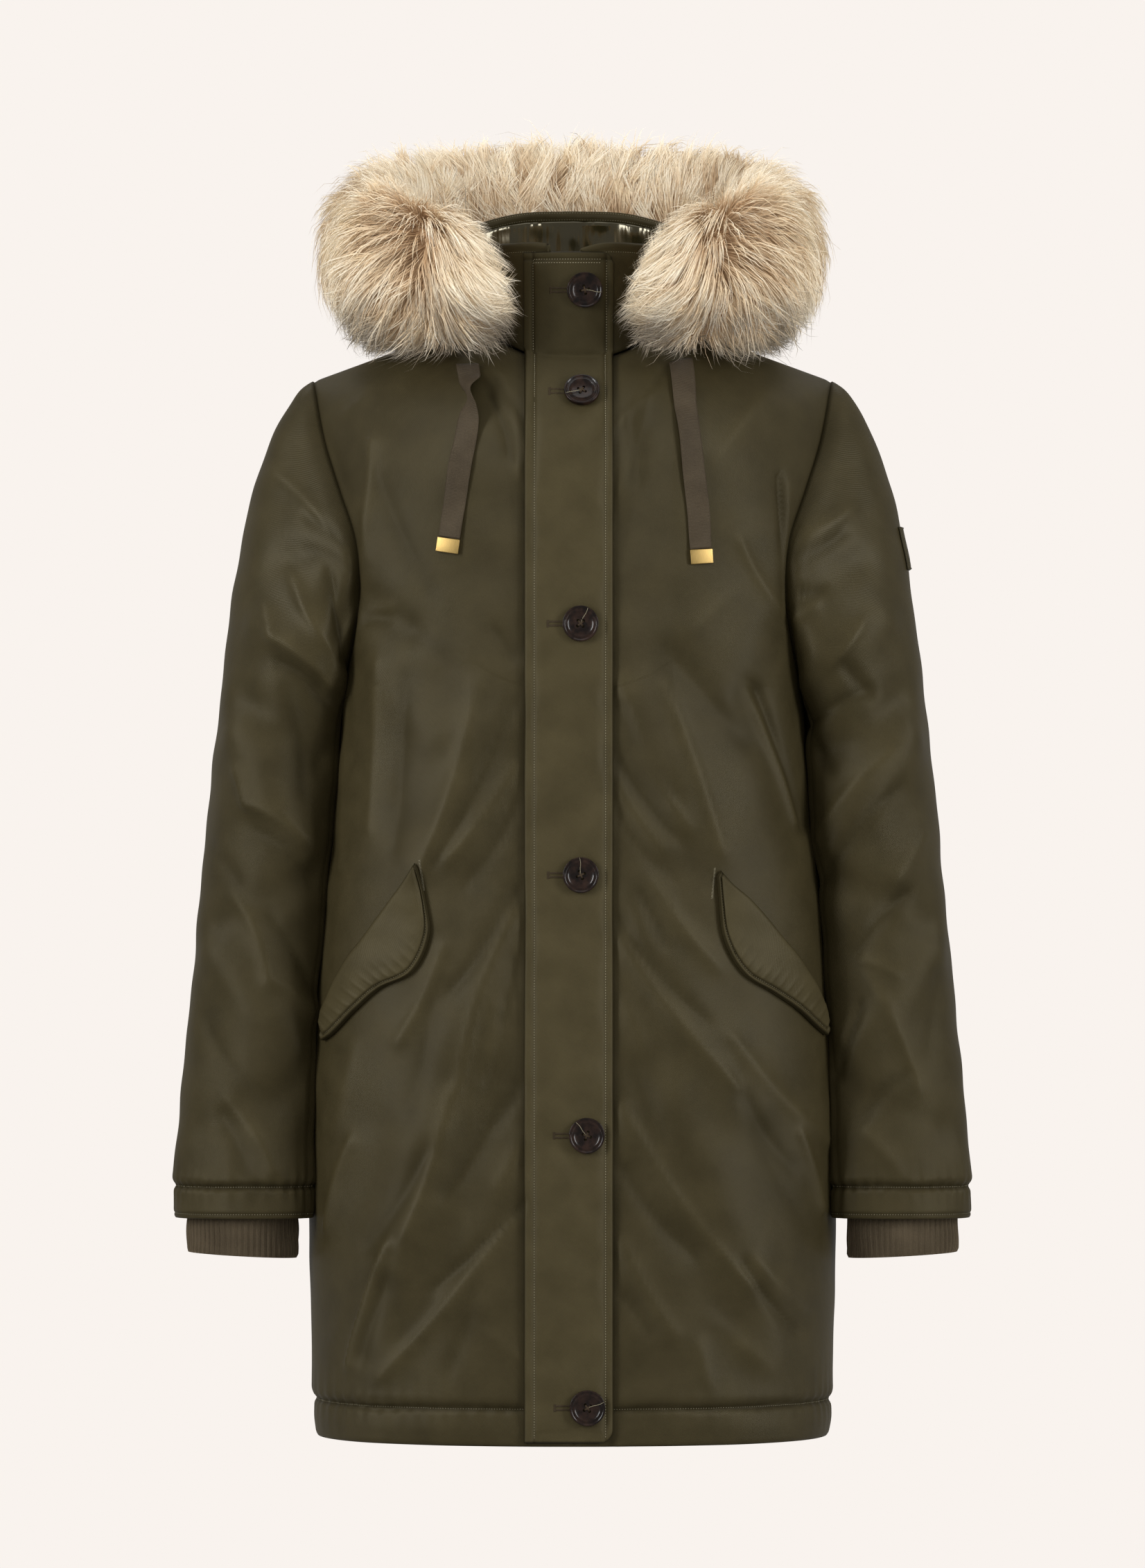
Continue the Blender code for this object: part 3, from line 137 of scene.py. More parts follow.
BROAD_SLEEVE = (
    (35, -250, 110, -190, -5.5, 14), (40, -290, 120, -240, 5, 16), (55, -345, 125, -300, -5, 15),
    (130, -330, 60, -420, 5, 18), (55, -440, 130, -480, -4.5, 16), (135, -500, 60, -570, 4.5, 18),
    (60, -610, 125, -640, -3.5, 16), (230, -260, 310, -330, 5, 18), (225, -400, 300, -440, -5, 17),
    (300, -480, 220, -540, 4.5, 18), (225, -600, 290, -630, -3.5, 16),
)
FINE_FRONT = (
    (-158, -101, -166, -187, 3.2, 8, 2, 0.3), (-153, -126, -113, -214, -2.4, 17, -3),
    (-166, -227, -142, -229, 1.2, 6, -1), (-167, -241, -146, -238, -1.4, 6, 1),
    (-65, -62, -47, -110, -2.2, 8, 2), (-56, -72, -42, -126, 1.6, 8, 2),
    (-74, -292, -116, -430, 2.3, 11, 4, -0.2), (-49, -309, -108, -427, -2.3, 10, 5),
    (-46, -356, -96, -425, 2.1, 8, 3), (-45, -383, -81, -442, -2, 8, 3),
    (-153, -275, -158, -400, 2, 10, 1), (-131, -289, -140, -413, -1.8, 14, 1),
    (-177, -265, -183, -430, 1.6, 7, 1), (-197, -89, -172, -170, -1.6, 8, 2),
    (-178, -76, -162, -62, 1.2, 7), (45, -76, 52, -128, -2.4, 11), (35, -89, 61, -64, 1.8, 8, 2),
    (132, -180, 160, -228, 2, 8, -2), (162, -128, 166, -223, -4, 5, 1, 0.3),
    (169, -132, 169, -201, 1.8, 7), (136, -298, 174, -396, 2.7, 6, 2, 0.4),
    (144, -295, 182, -400, -3, 6.5, 2), (39, -294, 88, -400, 2.2, 10, -4),
    (40, -307, 79, -375, -1.9, 9, -3), (72, -292, 115, -417, 1.9, 7, 2, 0.2),
    (35, -346, 84, -410, -2.1, 8, -3), (34, -364, 68, -417, 2, 8, -3),
    (35, -385, 73, -437, -1.8, 8, -3), (78, -268, 132, -329, -2.4, 20),
    (115, -110, 149, -66, 1.6, 14), (92, -248, 125, -218, 1.2, 12),
    (-124, -248, -97, -275, -1.2, 16), (-60, -248, -47, -268, -1.4, 8),
    (-102, -497, -135, -567, 2.2, 8, 3), (-51, -475, -88, -601, 2.3, 9, -5, 0.2),
    (-46, -453, -94, -527, -2.2, 9, 3), (-59, -540, -74, -601, 1.8, 7, 3),
    (-45, -504, -56, -551, -1.8, 6, 2), (-95, -612, -142, -741, 2.6, 12, 4, 0.2),
    (-59, -619, -97, -686, -2, 9, 3), (-174, -648, -193, -714, 2.6, 7, -3, 0.3),
    (-146, -727, -175, -821, 3.6, 6, -2, 0.4), (-138, -731, -164, -813, -2.2, 9, -2),
    (-49, -707, -149, -828, 2.4, 8, 4, 0.2), (-38, -692, -106, -758, -2.2, 6, 2),
    (-38, -641, -56, -680, 1.8, 7), (-42, -601, -61, -633, -2, 7, 2),
    (-115, -655, -159, -727, -2.4, 11, 3), (-41, -813, -63, -795, 1.4, 10),
    (-131, -792, -149, -756, -1.4, 14), (-171, -576, -184, -633, 1.5, 14),
    (-110, -540, -128, -619, -1.6, 14, 3), (-76, -749, -95, -821, -1.4, 10, 3),
    (40, -493, 127, -601, 2.4, 9, -5, 0.2), (38, -475, 103, -551, -2.2, 8, -4),
    (63, -446, 111, -508, 2.2, 9, -2), (54, -453, 71, -491, -2, 7, 1),
    (39, -623, 136, -756, 3, 10, -6, 0.2), (43, -668, 94, -732, -2.4, 10, -5),
    (39, -727, 78, -794, 2.2, 9, -2), (42, -765, 60, -792, -2, 8),
    (126, -567, 197, -646, 2.4, 10, -3, 0.2), (178, -641, 196, -700, 2.8, 6, 1, 0.3),
    (130, -596, 171, -666, -2.2, 12, -4), (134, -741, 175, -796, -2.4, 6, -2),
    (146, -741, 178, -777, 1.8, 8), (98, -804, 105, -832, 1.6, 8), (43, -540, 54, -572, 1.8, 9),
    (45, -587, 60, -619, -1.6, 12), (146, -648, 189, -720, -1.6, 22),
    (110, -785, 150, -821, 1.4, 16), (-74, -33, -41, -80, -1, 6, 2),
    (-60, -38, -38, -112, 0.8, 7, 2), (-52, -70, -46, -160, -0.6, 8), (82, -27, 36, -92, -1, 6, 2),
    (66, -40, 38, -135, 0.8, 8, 2), (56, -90, 40, -190, -0.6, 8),
)
FINE_BACK = (
    (-165, -110, -166, -220, 2.8, 10, 2, 0.3), (164, -105, 168, -225, -2.6, 9, 2, 0.2),
    (-168, -246, -120, -262, -2.6, 8, 3), (-160, -270, -80, -345, 2.2, 10, 6, 0.2),
    (166, -252, 110, -280, -2.8, 8, -3), (160, -290, 70, -370, 2.4, 11, -6, 0.2),
    (-20, -330, -90, -450, 2.2, 12, 6), (30, -340, 110, -480, -2.2, 12, 6),
    (-60, -500, -160, -640, 2.6, 11, 7, 0.2), (60, -530, 165, -660, 2.6, 12, -7, 0.2),
    (-30, -600, -60, -760, -2.4, 13, 4), (90, -680, 140, -830, 2.4, 11, 4, 0.2),
    (-130, -700, -180, -840, 2.8, 10, 4, 0.3), (20, -700, 40, -845, 2, 12, 3),
    (-90, -400, -150, -470, -2, 12, 3),
)
FINE_SLEEVE_LEFT = (
    (-234.6, -123.8, -195, -163.4, 3, 9, 3, 0.2), (-206, -159, -180, -176.6, -3.8, 8, 2),
    (-206, -185.4, -176, -198.6, -4, 8, 2), (-219.2, -207.4, -190.6, -260.2, 4, 9, -3, 0.2),
    (-190.6, -203, -179, -269, -4.5, 8), (-243.4, -225, -236.8, -251.4, 2.8, 8, 0, 0.3),
    (-236.8, -251.4, -190.6, -288.8, 3.8, 8, 3, 0.3), (-229, -273.4, -196, -300.9, -4, 9, 3),
    (-223.6, -298, -210, -370, -3, 14, 4), (-265.4, -357, -256, -383.4, 3.2, 8, 0, 0.3),
    (-256, -383.4, -212, -410, 3.4, 9, 4, 0.2), (-248, -406, -215, -433, -3, 11, 3),
    (-263.2, -459.3, -239, -520.9, 3.4, 9, 4, 0.2), (-239, -520.9, -203.8, -547.3, 3, 9, 3),
    (-234.6, -476.9, -203.8, -529.7, -3.4, 11, 3), (-269.8, -617.7, -234.6, -670.5, 3, 8, 3, 0.2),
    (-274, -630, -256, -670, -2.6, 9, 2), (-290, -550, -256, -605, -2.2, 12, -4),
    (-283, -420, -260, -455, -2.2, 11, 3),
)
FINE_SLEEVE_RIGHT = (
    (173, -173.8, 217, -153.5, 4, 9, -3, 0.2), (172, -188, 211, -173, -4, 8, -3),
    (174.1, -215.6, 194, -216.7, -4, 7, -2), (172, -240, 191, -226, 3, 8),
    (206.5, -271.7, 226.9, -243.1, 3.6, 8, 0, 0.2), (212, -273.4, 231.8, -295.4, -3.6, 8),
    (231.8, -295.4, 183.4, -321.8, -3.8, 9, -3), (178, -301, 200, -350, -3, 13, -3),
    (248, -345, 190, -413, 3.4, 10, -5, 0.2), (256, -372, 198, -442, -3.4, 10, -5),
    (262.6, -454.9, 223, -498.9, -3.8, 9, -3), (227.4, -504.4, 254.9, -515.4, 3, 8),
    (225.2, -540.7, 207.6, -595.7, -3.4, 6, 0, 0.4),
    (232.9, -520.9, 271.4, -603.4, 3.2, 10, 4, 0.2), (262.6, -595.7, 227.4, -630.9, -3.4, 9, -3),
    (229, -638, 256, -670, 2.6, 10), (276, -410, 256, -440, 2.2, 11),
    (288, -520, 280, -580, -2.2, 12),
)
FINE_SLEEVE_BACK = (
    (185, -190, 220, -160, -3.6, 9, -3), (185, -260, 235, -225, 3.6, 10, -3, 0.2),
    (190, -300, 240, -265, -3.6, 9, 3), (255, -350, 195, -405, 3.4, 10, -4, 0.2),
    (260, -385, 200, -440, -3.4, 10, 3), (215, -490, 265, -530, 3.2, 10, 3),
    (220, -520, 260, -565, -3, 10, 3), (275, -600, 225, -650, 2.8, 10, -3),
)
PLACKET_FOLDS = (
    (-20, -640, 4, -668, -1.1, 7, 2), (12, -676, -14, -712, 1, 8, 2),
    (-16, -708, 12, -742, -1, 8, 2), (-20, -560, 10, -590, 0.9, 9), (14, -300, -14, -345, 0.7, 10),
    (-18, -400, 6, -424, -0.7, 8), (16, -800, -12, -830, 0.8, 9), (-16, -100, 12, -140, 0.6, 10),
)


# Surface mathematics --------------------------------------------------------
def hermite(a: Array, b: Array, slope_a: Array, slope_b: Array,
            t: Array) -> Array:
    """Blend from a to b with a slope at each end, as t runs from 0 to 1."""
    return (
        a * (2 * t**3 - 3 * t**2 + 1)
        + slope_a * (t**3 - 2 * t**2 + t)
        + b * (3 * t**2 - 2 * t**3)
        + slope_b * (t**3 - t**2)
    )


def ease(t: Array) -> Array:
    """Smooth step from 0 to 1."""
    t = np.clip(t, 0.0, 1.0)
    return t * t * (3 - 2 * t)


def bell(distance: Array, width: float) -> Array:
    """Smooth bump of height 1 at distance 0, about `width` wide to each side."""
    return np.exp(-((distance / width) ** 2))


def half_round(t: Array) -> Array:
    """Height of a round edge, 0 at its foot, 1 at t = 1 and 0 again at t = 2."""
    return np.sqrt(np.clip(1 - (1 - t) ** 2, 0.0, 1.0))


class Table:
    """Smooth reading of a table's columns along its first one."""

    def __init__(self, rows: tuple) -> None:
        """Keep the rows and the slope of each column.

        Args:
            rows: the table's rows, each with its key first.
        """
        self.values = np.array(sorted(rows), dtype=float)
        self.keys = self.values[:, 0]
        self.slopes = np.gradient(self.values, self.keys, axis=0)

    def read(self, column: int, at: Array) -> Array:
        """Return a column's values.

        Args:
            column: index of the column; 0 is the key.
            at: the keys to read at, held inside the table.

        Returns:
            The values, in the shape of `at`.
        """
        at = np.clip(np.asarray(at, dtype=float), self.keys[0], self.keys[-1])
        low = np.clip(np.searchsorted(self.keys, at, side="right") - 1, 0, len(self.keys) - 2)
        span = self.keys[low + 1] - self.keys[low]
        value, slope = self.values[:, column], self.slopes[:, column]
        t = (at - self.keys[low]) / span
        return hermite(value[low], value[low + 1], slope[low] * span, slope[low + 1] * span, t)


def relief(u: Array, v: Array, folds: tuple, crisp: bool = False,
           scale: float = MM) -> Array:
    """Return the height of folds at places on a panel.

    Args:
        u: first coordinate of the places.
        v: second coordinate of the places.
        folds: rows of u0, v0, u1, v1, height, spread, bow and lean.
        crisp: the folds have a narrow crest, as creases do.
        scale: metres for one unit of u0 and u1.

    Returns:
        The summed height at each place.
    """
    total = np.zeros(np.broadcast(u, v).shape)
    for u0, v0, u1, v1, height, spread, *rest in folds:
        bow, lean = (*rest, 0, 0)[:2]
        run, rise = (u1 - u0) * scale, (v1 - v0) * MM
        length = math.hypot(run, rise)
        from_u, from_v = u - u0 * scale, v - v0 * MM
        t = (from_u * run + from_v * rise) / length**2
        near = np.clip(t, 0.0, 1.0)
        side = (from_v * run - from_u * rise) / length - bow * MM * 4 * near * (1 - near)
        off = side / (spread * MM * np.where(side > 0, 1 + lean, 1 - lean))
        fall = 1.9 * (np.sqrt(off**2 + 0.03) - 0.17) if crisp else off**2
        fade = ((t - near) * length / (spread * MM)) ** 2
        fade = fade + 0.5 * np.maximum(np.abs(2 * t - 1) - 0.4, 0.0) ** 2 * crisp
        total = total + height * MM * np.exp(-fall - fade)
    return total


def waves(u: Array, v: Array, scale: float, seed: float) -> Array:
    """Smooth uneven waves between about -1 and 1, the same on every run."""
    a, b = u / scale, v / scale
    return (
        np.sin(2.1 * a + 1.7 * b + seed)
        + np.sin(-1.3 * a + 2.9 * b + 2.3 * seed + 1.0)
        + np.sin(3.7 * a - 0.9 * b + 0.7 * seed + 2.0)
        + np.sin(0.8 * a + 4.3 * b - 1.9 * seed)
    ) / 3.2


class Figure:
    """The coat's surfaces as functions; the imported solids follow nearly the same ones."""

    body = Table(BODY_TABLE)
    armhole = Table(ARMHOLE_TABLE)
    sleeve = Table(SLEEVE_TABLE)
    collar_top = Table(COLLAR_TABLE)
    hood = Table(HOOD_TABLE)
    fur = Table(FUR_TABLE)

    # Where broad and fine folds begin or end, and how wide they fade there
    FOLD_FREE_X, FADE_MIDDLE = 0.026, 0.030
    FOLD_SIDE_X, FADE_SIDE = 0.150, 0.035
    FADE_TOP = 0.06
    FINE_FREE_X, FADE_PLACKET = 0.029, 0.010
    FADE_SHOULDER = 0.05
    LEVEL_FROM = 0.6
    FLAT_FROM = 0.985
    FLAT_ABOVE, FLAT_FADE = 0.006, 0.03
    NORMAL_STEP = 0.004
    SIDE_AIR, DEPTH_AIR = 0.001, 0.004
    TOP_HALF, TOP_AIR, FAR_BELOW = 0.2095, 0.012, -9.0
    SLEEVE_CLEAR = -0.0010
    FINE_GAIN = 1.45
    SLACK = 0.0007
    SLACK_SCALE = 0.034
    COLLAR_TOP_Z = 0.055
    COLLAR_FRONT = 0.0900
    COLLAR_HALF = 0.083
    COLLAR_BULGE = 0.002
    HOOD_AIR = 0.007
    CAP_PLACES, ARM_PLACES = 8.0, 12.0

    @staticmethod
    def shoulder_z(x: Array) -> Array:
        """Height of the shoulder seam at a distance from the centre."""
        return TIP_Z * np.maximum(np.abs(x) - NECK_HALF, 0.0) / (TIP_X - NECK_HALF)

    @staticmethod
    def oval(share: Array) -> Array:
        """Depth of the torso's oval, 1 at its middle, at a share of its half width."""
        return np.maximum(1 - share**BODY_POWER, 0.0) ** (1 / BODY_POWER)

    @classmethod
    def depth(cls, y: Array, z: Array) -> Array:
        """Full depth of the torso at heights z, on the side that y is on."""
        return np.where(y < 0, cls.body.read(2, z), cls.body.read(3, z))

    @classmethod
    def torso_y(cls, x: Array, z: Array, face: int) -> Array:
        """Return the depth of the torso with its broad folds.

        Args:
            x: places across the coat.
            z: heights.
            face: -1 for the front, +1 for the back.

        Returns:
            The y of the surface at each place.
        """
        across = cls.oval(np.minimum(np.abs(x) / cls.body.read(1, z), 1.0))
        below = cls.shoulder_z(x) - z
        down = np.clip(below / ROUND_OVER[face], 0.0, 1.0)
        plain = cls.depth(face, z) * across * half_round(down)
        total = relief(x, z, BROAD_FRONT if face < 0 else BROAD_BACK)
        clear = ease((np.abs(x) - cls.FOLD_FREE_X) / cls.FADE_MIDDLE)
        side = 1 - ease((np.abs(x) - cls.FOLD_SIDE_X) / cls.FADE_SIDE)
        total = total * clear * np.where(total > 0, side, 1.0)
        return face * (plain + total * ease(below / cls.FADE_TOP))

    @classmethod
    def torso_either(cls, x: Array, z: Array, face: Array) -> Array:
        """Depth of the torso where each place has a face of its own."""
        return np.where(face < 0, cls.torso_y(x, z, -1), cls.torso_y(x, z, 1))

    @classmethod
    def fine(cls, x: Array, z: Array, face: int) -> Array:
        """Return the height of the torso's fine folds, less at the placket and the neck.

        Args:
            x: places across the coat.
            z: heights.
            face: -1 for the front, +1 for the back.

        Returns:
            The height over the broad form.
        """
        total = relief(x, z, FINE_FRONT if face < 0 else FINE_BACK, crisp=True) * cls.FINE_GAIN
        total = total + cls.SLACK * waves(x, z, cls.SLACK_SCALE, 1.0 + face)
        clear = ease((np.abs(x) - cls.FINE_FREE_X) / cls.FADE_PLACKET) if face < 0 else 1.0
        return total * clear * ease((cls.shoulder_z(x) - z) / cls.FADE_SHOULDER)

    @classmethod
    def front_base(cls, x: Array, z: Array) -> Array:
        """Return the depth of the front with the collar standing above its neckline.

        Args:
            x: places across the coat.
            z: heights.

        Returns:
            The y at each place.
        """
        share = np.minimum(np.abs(x) / NECK_HALF, 1.0)
        seam_z = -NECK_DROP[-1] * (1 - share**NECK_POWER)
        low = cls.torso_y(x, np.minimum(z, seam_z), -1)
        reach = np.minimum(np.abs(x) / cls.COLLAR_HALF, 1.0)
        top_y = -cls.COLLAR_FRONT * np.sqrt(1 - reach**2)
        rise = np.clip((z - seam_z) / (cls.COLLAR_TOP_Z - seam_z), 0.0, 1.0)
        stand = low + (top_y - low) * rise - np.sin(math.pi * rise) * cls.COLLAR_BULGE
        return np.where(z <= seam_z, low, stand)

    @classmethod
    def front_normal(cls, x: Array, z: Array) -> Array:
        """Return the outward unit normals of the front.

        Args:
            x: places across the coat.
            z: heights.

        Returns:
            Normals with a last axis of 3.
        """
        step = cls.NORMAL_STEP
        slope_x = (cls.front_base(x + step, z) - cls.front_base(x - step, z)) / (2 * step)
        slope_z = (cls.front_base(x, z + step) - cls.front_base(x, z - step)) / (2 * step)
        return unit(np.stack((slope_x, -np.ones_like(slope_x), slope_z), axis=-1))

    @classmethod
    def on_front(cls, x: Array, z: Array, lift: Array) -> Array:
        """Return points over the folded front.

        Args:
            x: places across the coat.
            z: heights.
            lift: height over the cloth, along its normal.

        Returns:
            An array of points with a last axis of 3.
        """
        x, z = np.broadcast_arrays(np.asarray(x, float), np.asarray(z, float))
        base = np.stack((x, cls.front_base(x, z), z), axis=-1)
        height = np.asarray(lift) + cls.fine(x, z, -1)
        return base + cls.front_normal(x, z) * np.broadcast_to(height, x.shape)[..., None]

    @classmethod
    def side_x(cls, y: Array, z: Array) -> Array:
        """Half width of the torso at places (y, z)."""
        share = np.minimum(np.abs(y) / (cls.depth(y, z) + cls.DEPTH_AIR), 1.0)
        return (cls.body.read(1, z) + cls.SIDE_AIR) * cls.oval(share)

    @classmethod
    def cloth_top_z(cls, x: Array, y: Array) -> Array:
        """Return the height of the coat's upper surface.

        Args:
            x: places across the coat.
            y: places from front to back.

        Returns:
            The height at each place, far below the coat past its side.
        """
        share = np.minimum(np.abs(x) / cls.TOP_HALF, 1.0)
        across = np.maximum((cls.depth(y, TIP_Z) + cls.TOP_AIR) * cls.oval(share), 1e-6)
        reach = np.minimum(np.abs(y) / across, 1.0)
        height = np.where(y < 0, ROUND_OVER[-1], ROUND_OVER[1])
        sunk = (1 - np.sqrt(1 - reach**2)) * height
        return np.where(reach < 1.0, cls.shoulder_z(x) - sunk, cls.FAR_BELOW)

    @classmethod
    def half_panel(cls, face: int, hand: int, rows: Array, shares: Array) -> Array:
        """Return one half of the front or back as a grid, hem to shoulder.

        Args:
            face: -1 front, +1 back.
            hand: -1 left, +1 right.
            rows: heights of the rows at the side seam and the armhole.
            shares: 0 at the centre to 1 at the side, one for each column.

        Returns:
            Points, rows by columns by 3.
        """
        half = cls.body.read(1, rows)
        edge_x = cls.armhole.read(1 if face < 0 else 2, rows)
        on_armhole = np.arcsin(np.minimum(edge_x / half, 1.0) ** (BODY_POWER / 2))
        angle = np.where(rows <= UNDERARM_Z, math.pi / 2, on_armhole)
        x = np.sin(angle[:, None] * shares) ** (2 / BODY_POWER) * half[:, None]
        neck = -NECK_DROP[face] * (1 - np.minimum(x / NECK_HALF, 1.0) ** NECK_POWER)
        top = np.where(x < NECK_HALF, neck, cls.shoulder_z(x))
        level = TIP_Z - cls.shoulder_z(x[:, -1:])
        level = level * ease((shares - cls.LEVEL_FROM) / (1 - cls.LEVEL_FROM))
        z = HEM_Z + (top + level - HEM_Z) * ((rows - HEM_Z) / (TIP_Z - HEM_Z))[:, None]
        low = ease((UNDERARM_Z + cls.FLAT_ABOVE - rows) / cls.FLAT_FADE)[:, None]
        flat = low * ease((shares - cls.FLAT_FROM) / (1 - cls.FLAT_FROM))
        y = cls.torso_y(hand * x, z, face) * (1 - flat)
        return np.stack((hand * x, y, z), axis=-1)

    @classmethod
    def armhole_point(cls, z: Array, face: Array, hand: int) -> Array:
        """Return points of the armhole seam.

        Args:
            z: heights.
            face: -1 for the front, +1 for the back, for each point.
            hand: -1 left, +1 right.

        Returns:
            Points with a last axis of 3.
        """
        x = np.where(face < 0, cls.armhole.read(1, z), cls.armhole.read(2, z)) * hand
        ends = (z <= UNDERARM_Z + 1e-6) | (z >= TIP_Z - 1e-6)
        return np.stack((x, np.where(ends, 0.0, cls.torso_either(x, z, face)), z), axis=-1)

    @classmethod
    def sleeve_section(cls, turn: Array, z: Array, hand: int) -> Array:
        """Return points of the sleeve's level sections.

        Args:
            turn: angles from the inner side over the front.
            z: heights.
            hand: -1 left, +1 right.

        Returns:
            Points with a last axis of 3.
        """
        outer, inner = cls.sleeve.read(1, z), cls.sleeve.read(2, z)
        wide, deep = (
            np.sign(round_) * np.abs(round_) ** (2 / SLEEVE_POWER)
            for round_ in (np.cos(turn), np.sin(turn))
        )
        x = (outer + inner) / 2 - (outer - inner) / 2 * wide
        y = cls.sleeve.read(3, z) - cls.sleeve.read(4, z) * deep
        return np.stack(np.broadcast_arrays(hand * x, y, z), axis=-1)

    @classmethod
    def clear_of_body(cls, points: Array, hand: int, clear: Array) -> Array:
        """Return points of a sleeve, moved out to where they clear the torso's side.

        Args:
            points: points with a last axis of 3.
            hand: -1 left, +1 right.
            clear: least distance from the side.

        Returns:
            The moved points.
        """
        least = cls.side_x(points[..., 1], points[..., 2]) + clear
        moved = points.copy()
        moved[..., 0] = hand * np.maximum(hand * points[..., 0], least)
        return moved

    @classmethod
    def sleeve_grid(cls, hand: int, places: Array, turns: Array) -> Array:
        """Return a sleeve as rings from the armhole down.

        Args:
            hand: -1 left, +1 right.
            places: ring places; 0 at the armhole, 8 at the first level ring, 20 at the hem.
            turns: angles from the underarm over the front, for a ring's points.

        Returns:
            Points, rings by points by 3.
        """
        place, turn = np.meshgrid(places, turns, indexing="ij")
        over = (1 - np.cos(turn)) / 2
        face = np.where(turn <= math.pi, -1, 1)
        start = cls.armhole_point(UNDERARM_Z + (TIP_Z - UNDERARM_Z) * over, face, hand)
        level = np.full_like(turn, SLEEVE_TOP_Z)
        end = cls.clear_of_body(cls.sleeve_section(turn, level, hand), hand, cls.SLEEVE_CLEAR)
        zero = np.zeros_like(turn)
        leave = (hand * (-0.002 + 0.054 * over), -np.sin(turn) * 0.016, -0.016 - 0.022 * over)
        arrive = (hand * -0.014 * over, zero, 0.022 + 0.108 * over)
        t = np.clip(place / cls.CAP_PLACES, 0.0, 1.0)[..., None]
        upper = (
            start * (1 - t) ** 3
            + (start + np.stack(leave, axis=-1)) * (3 * t * (1 - t) ** 2)
            + (end + np.stack(arrive, axis=-1)) * (3 * t * t * (1 - t))
            + end * t**3
        )
        down = np.clip((place - cls.CAP_PLACES) / cls.ARM_PLACES, 0.0, 1.0)
        lower = cls.sleeve_section(turn, SLEEVE_TOP_Z + (SLEEVE_HEM_Z - SLEEVE_TOP_Z) * down, hand)
        grid = np.where((place < cls.CAP_PLACES)[..., None], upper, lower)
        arc = math.radians(1) * ARM_RADIUS
        swell = relief(turn * ARM_RADIUS, grid[..., 2], BROAD_SLEEVE, scale=arc) * ease(place / 4)
        out = np.stack((-np.cos(turn) * hand, -np.sin(turn), zero), axis=-1)
        grid = grid + out * swell[..., None]
        kept = cls.clear_of_body(grid, hand, cls.SLEEVE_CLEAR * ease(place / 4))
        return grid + (kept - grid) * np.minimum(place, 1.0)[..., None]

    @classmethod
    def hood_points(cls, angle: Array, along: Array) -> Array:
        """Return points of the hood's outer face.

        Args:
            angle: degrees from the middle of the back, below 0 to the left.
            along: 0 at the root to 5 at the rim.

        Returns:
            Points with a last axis of 3.
        """
        left = np.clip(along.astype(int), 0, 4)
        out_z = []
        for first in (1, 2):
            rows = np.stack([cls.hood.read(first + 2 * k, np.abs(angle)) for k in range(6)])
            before, a, b, after = (
                np.take_along_axis(rows, np.clip(left + k, 0, 5)[None], axis=0)[0]
                for k in (-1, 0, 1, 2)
            )
            out_z.append(hermite(a, b, (b - before) / 2, (after - a) / 2, along - left))
        x, y = out_z[0] * np.sin(np.radians(angle)), out_z[0] * np.cos(np.radians(angle))
        z = np.maximum(out_z[1], cls.cloth_top_z(x, y) + cls.HOOD_AIR)
        return np.stack((x, y, z), axis=-1)


def unit(vectors: Array) -> Array:
    """Vectors of length 1 in the same directions; a zero vector stays as it is."""
    return vectors / np.maximum(np.linalg.norm(vectors, axis=-1, keepdims=True), 1e-12)


def running(points: Array, axis: int = 0) -> Array:
    """Return the distance run along a path, or along one axis of a grid.

    Args:
        points: points with a last axis of 3, or of 2.
        axis: the axis to run along.

    Returns:
        The distance at each point, 0 at the first.
    """
    steps = np.linalg.norm(np.diff(points, axis=axis), axis=-1)
    start = np.zeros_like(np.take(steps, [0], axis))
    return np.concatenate((start, np.cumsum(steps, axis=axis)), axis=axis)


def read_path(at: Array, keys: Array, points: Array) -> Array:
    """Points of a path, where its key has the value or values `at`."""
    return np.array([np.interp(at, keys, column) for column in points.T]).T


def spaced(stops: tuple, counts: tuple) -> Array:
    """Values that run through stops, with a count of steps between each two."""
    parts = [
        np.linspace(a, b, count, endpoint=False)
        for a, b, count in zip(stops[:-1], stops[1:], counts)
    ]
    return np.concatenate((*parts, [stops[-1]]))


def label(hand: int) -> str:
    """The word for a side."""
    return "left" if hand < 0 else "right"


def placed(name: str, data: bpy.types.ID) -> Piece:
    """Return a new object at the origin of the scene.

    Args:
        name: the object's name.
        data: its mesh, light or camera.

    Returns:
        The object.
    """
    item = bpy.data.objects.new(name, data)
    bpy.context.scene.collection.objects.link(item)
    return item


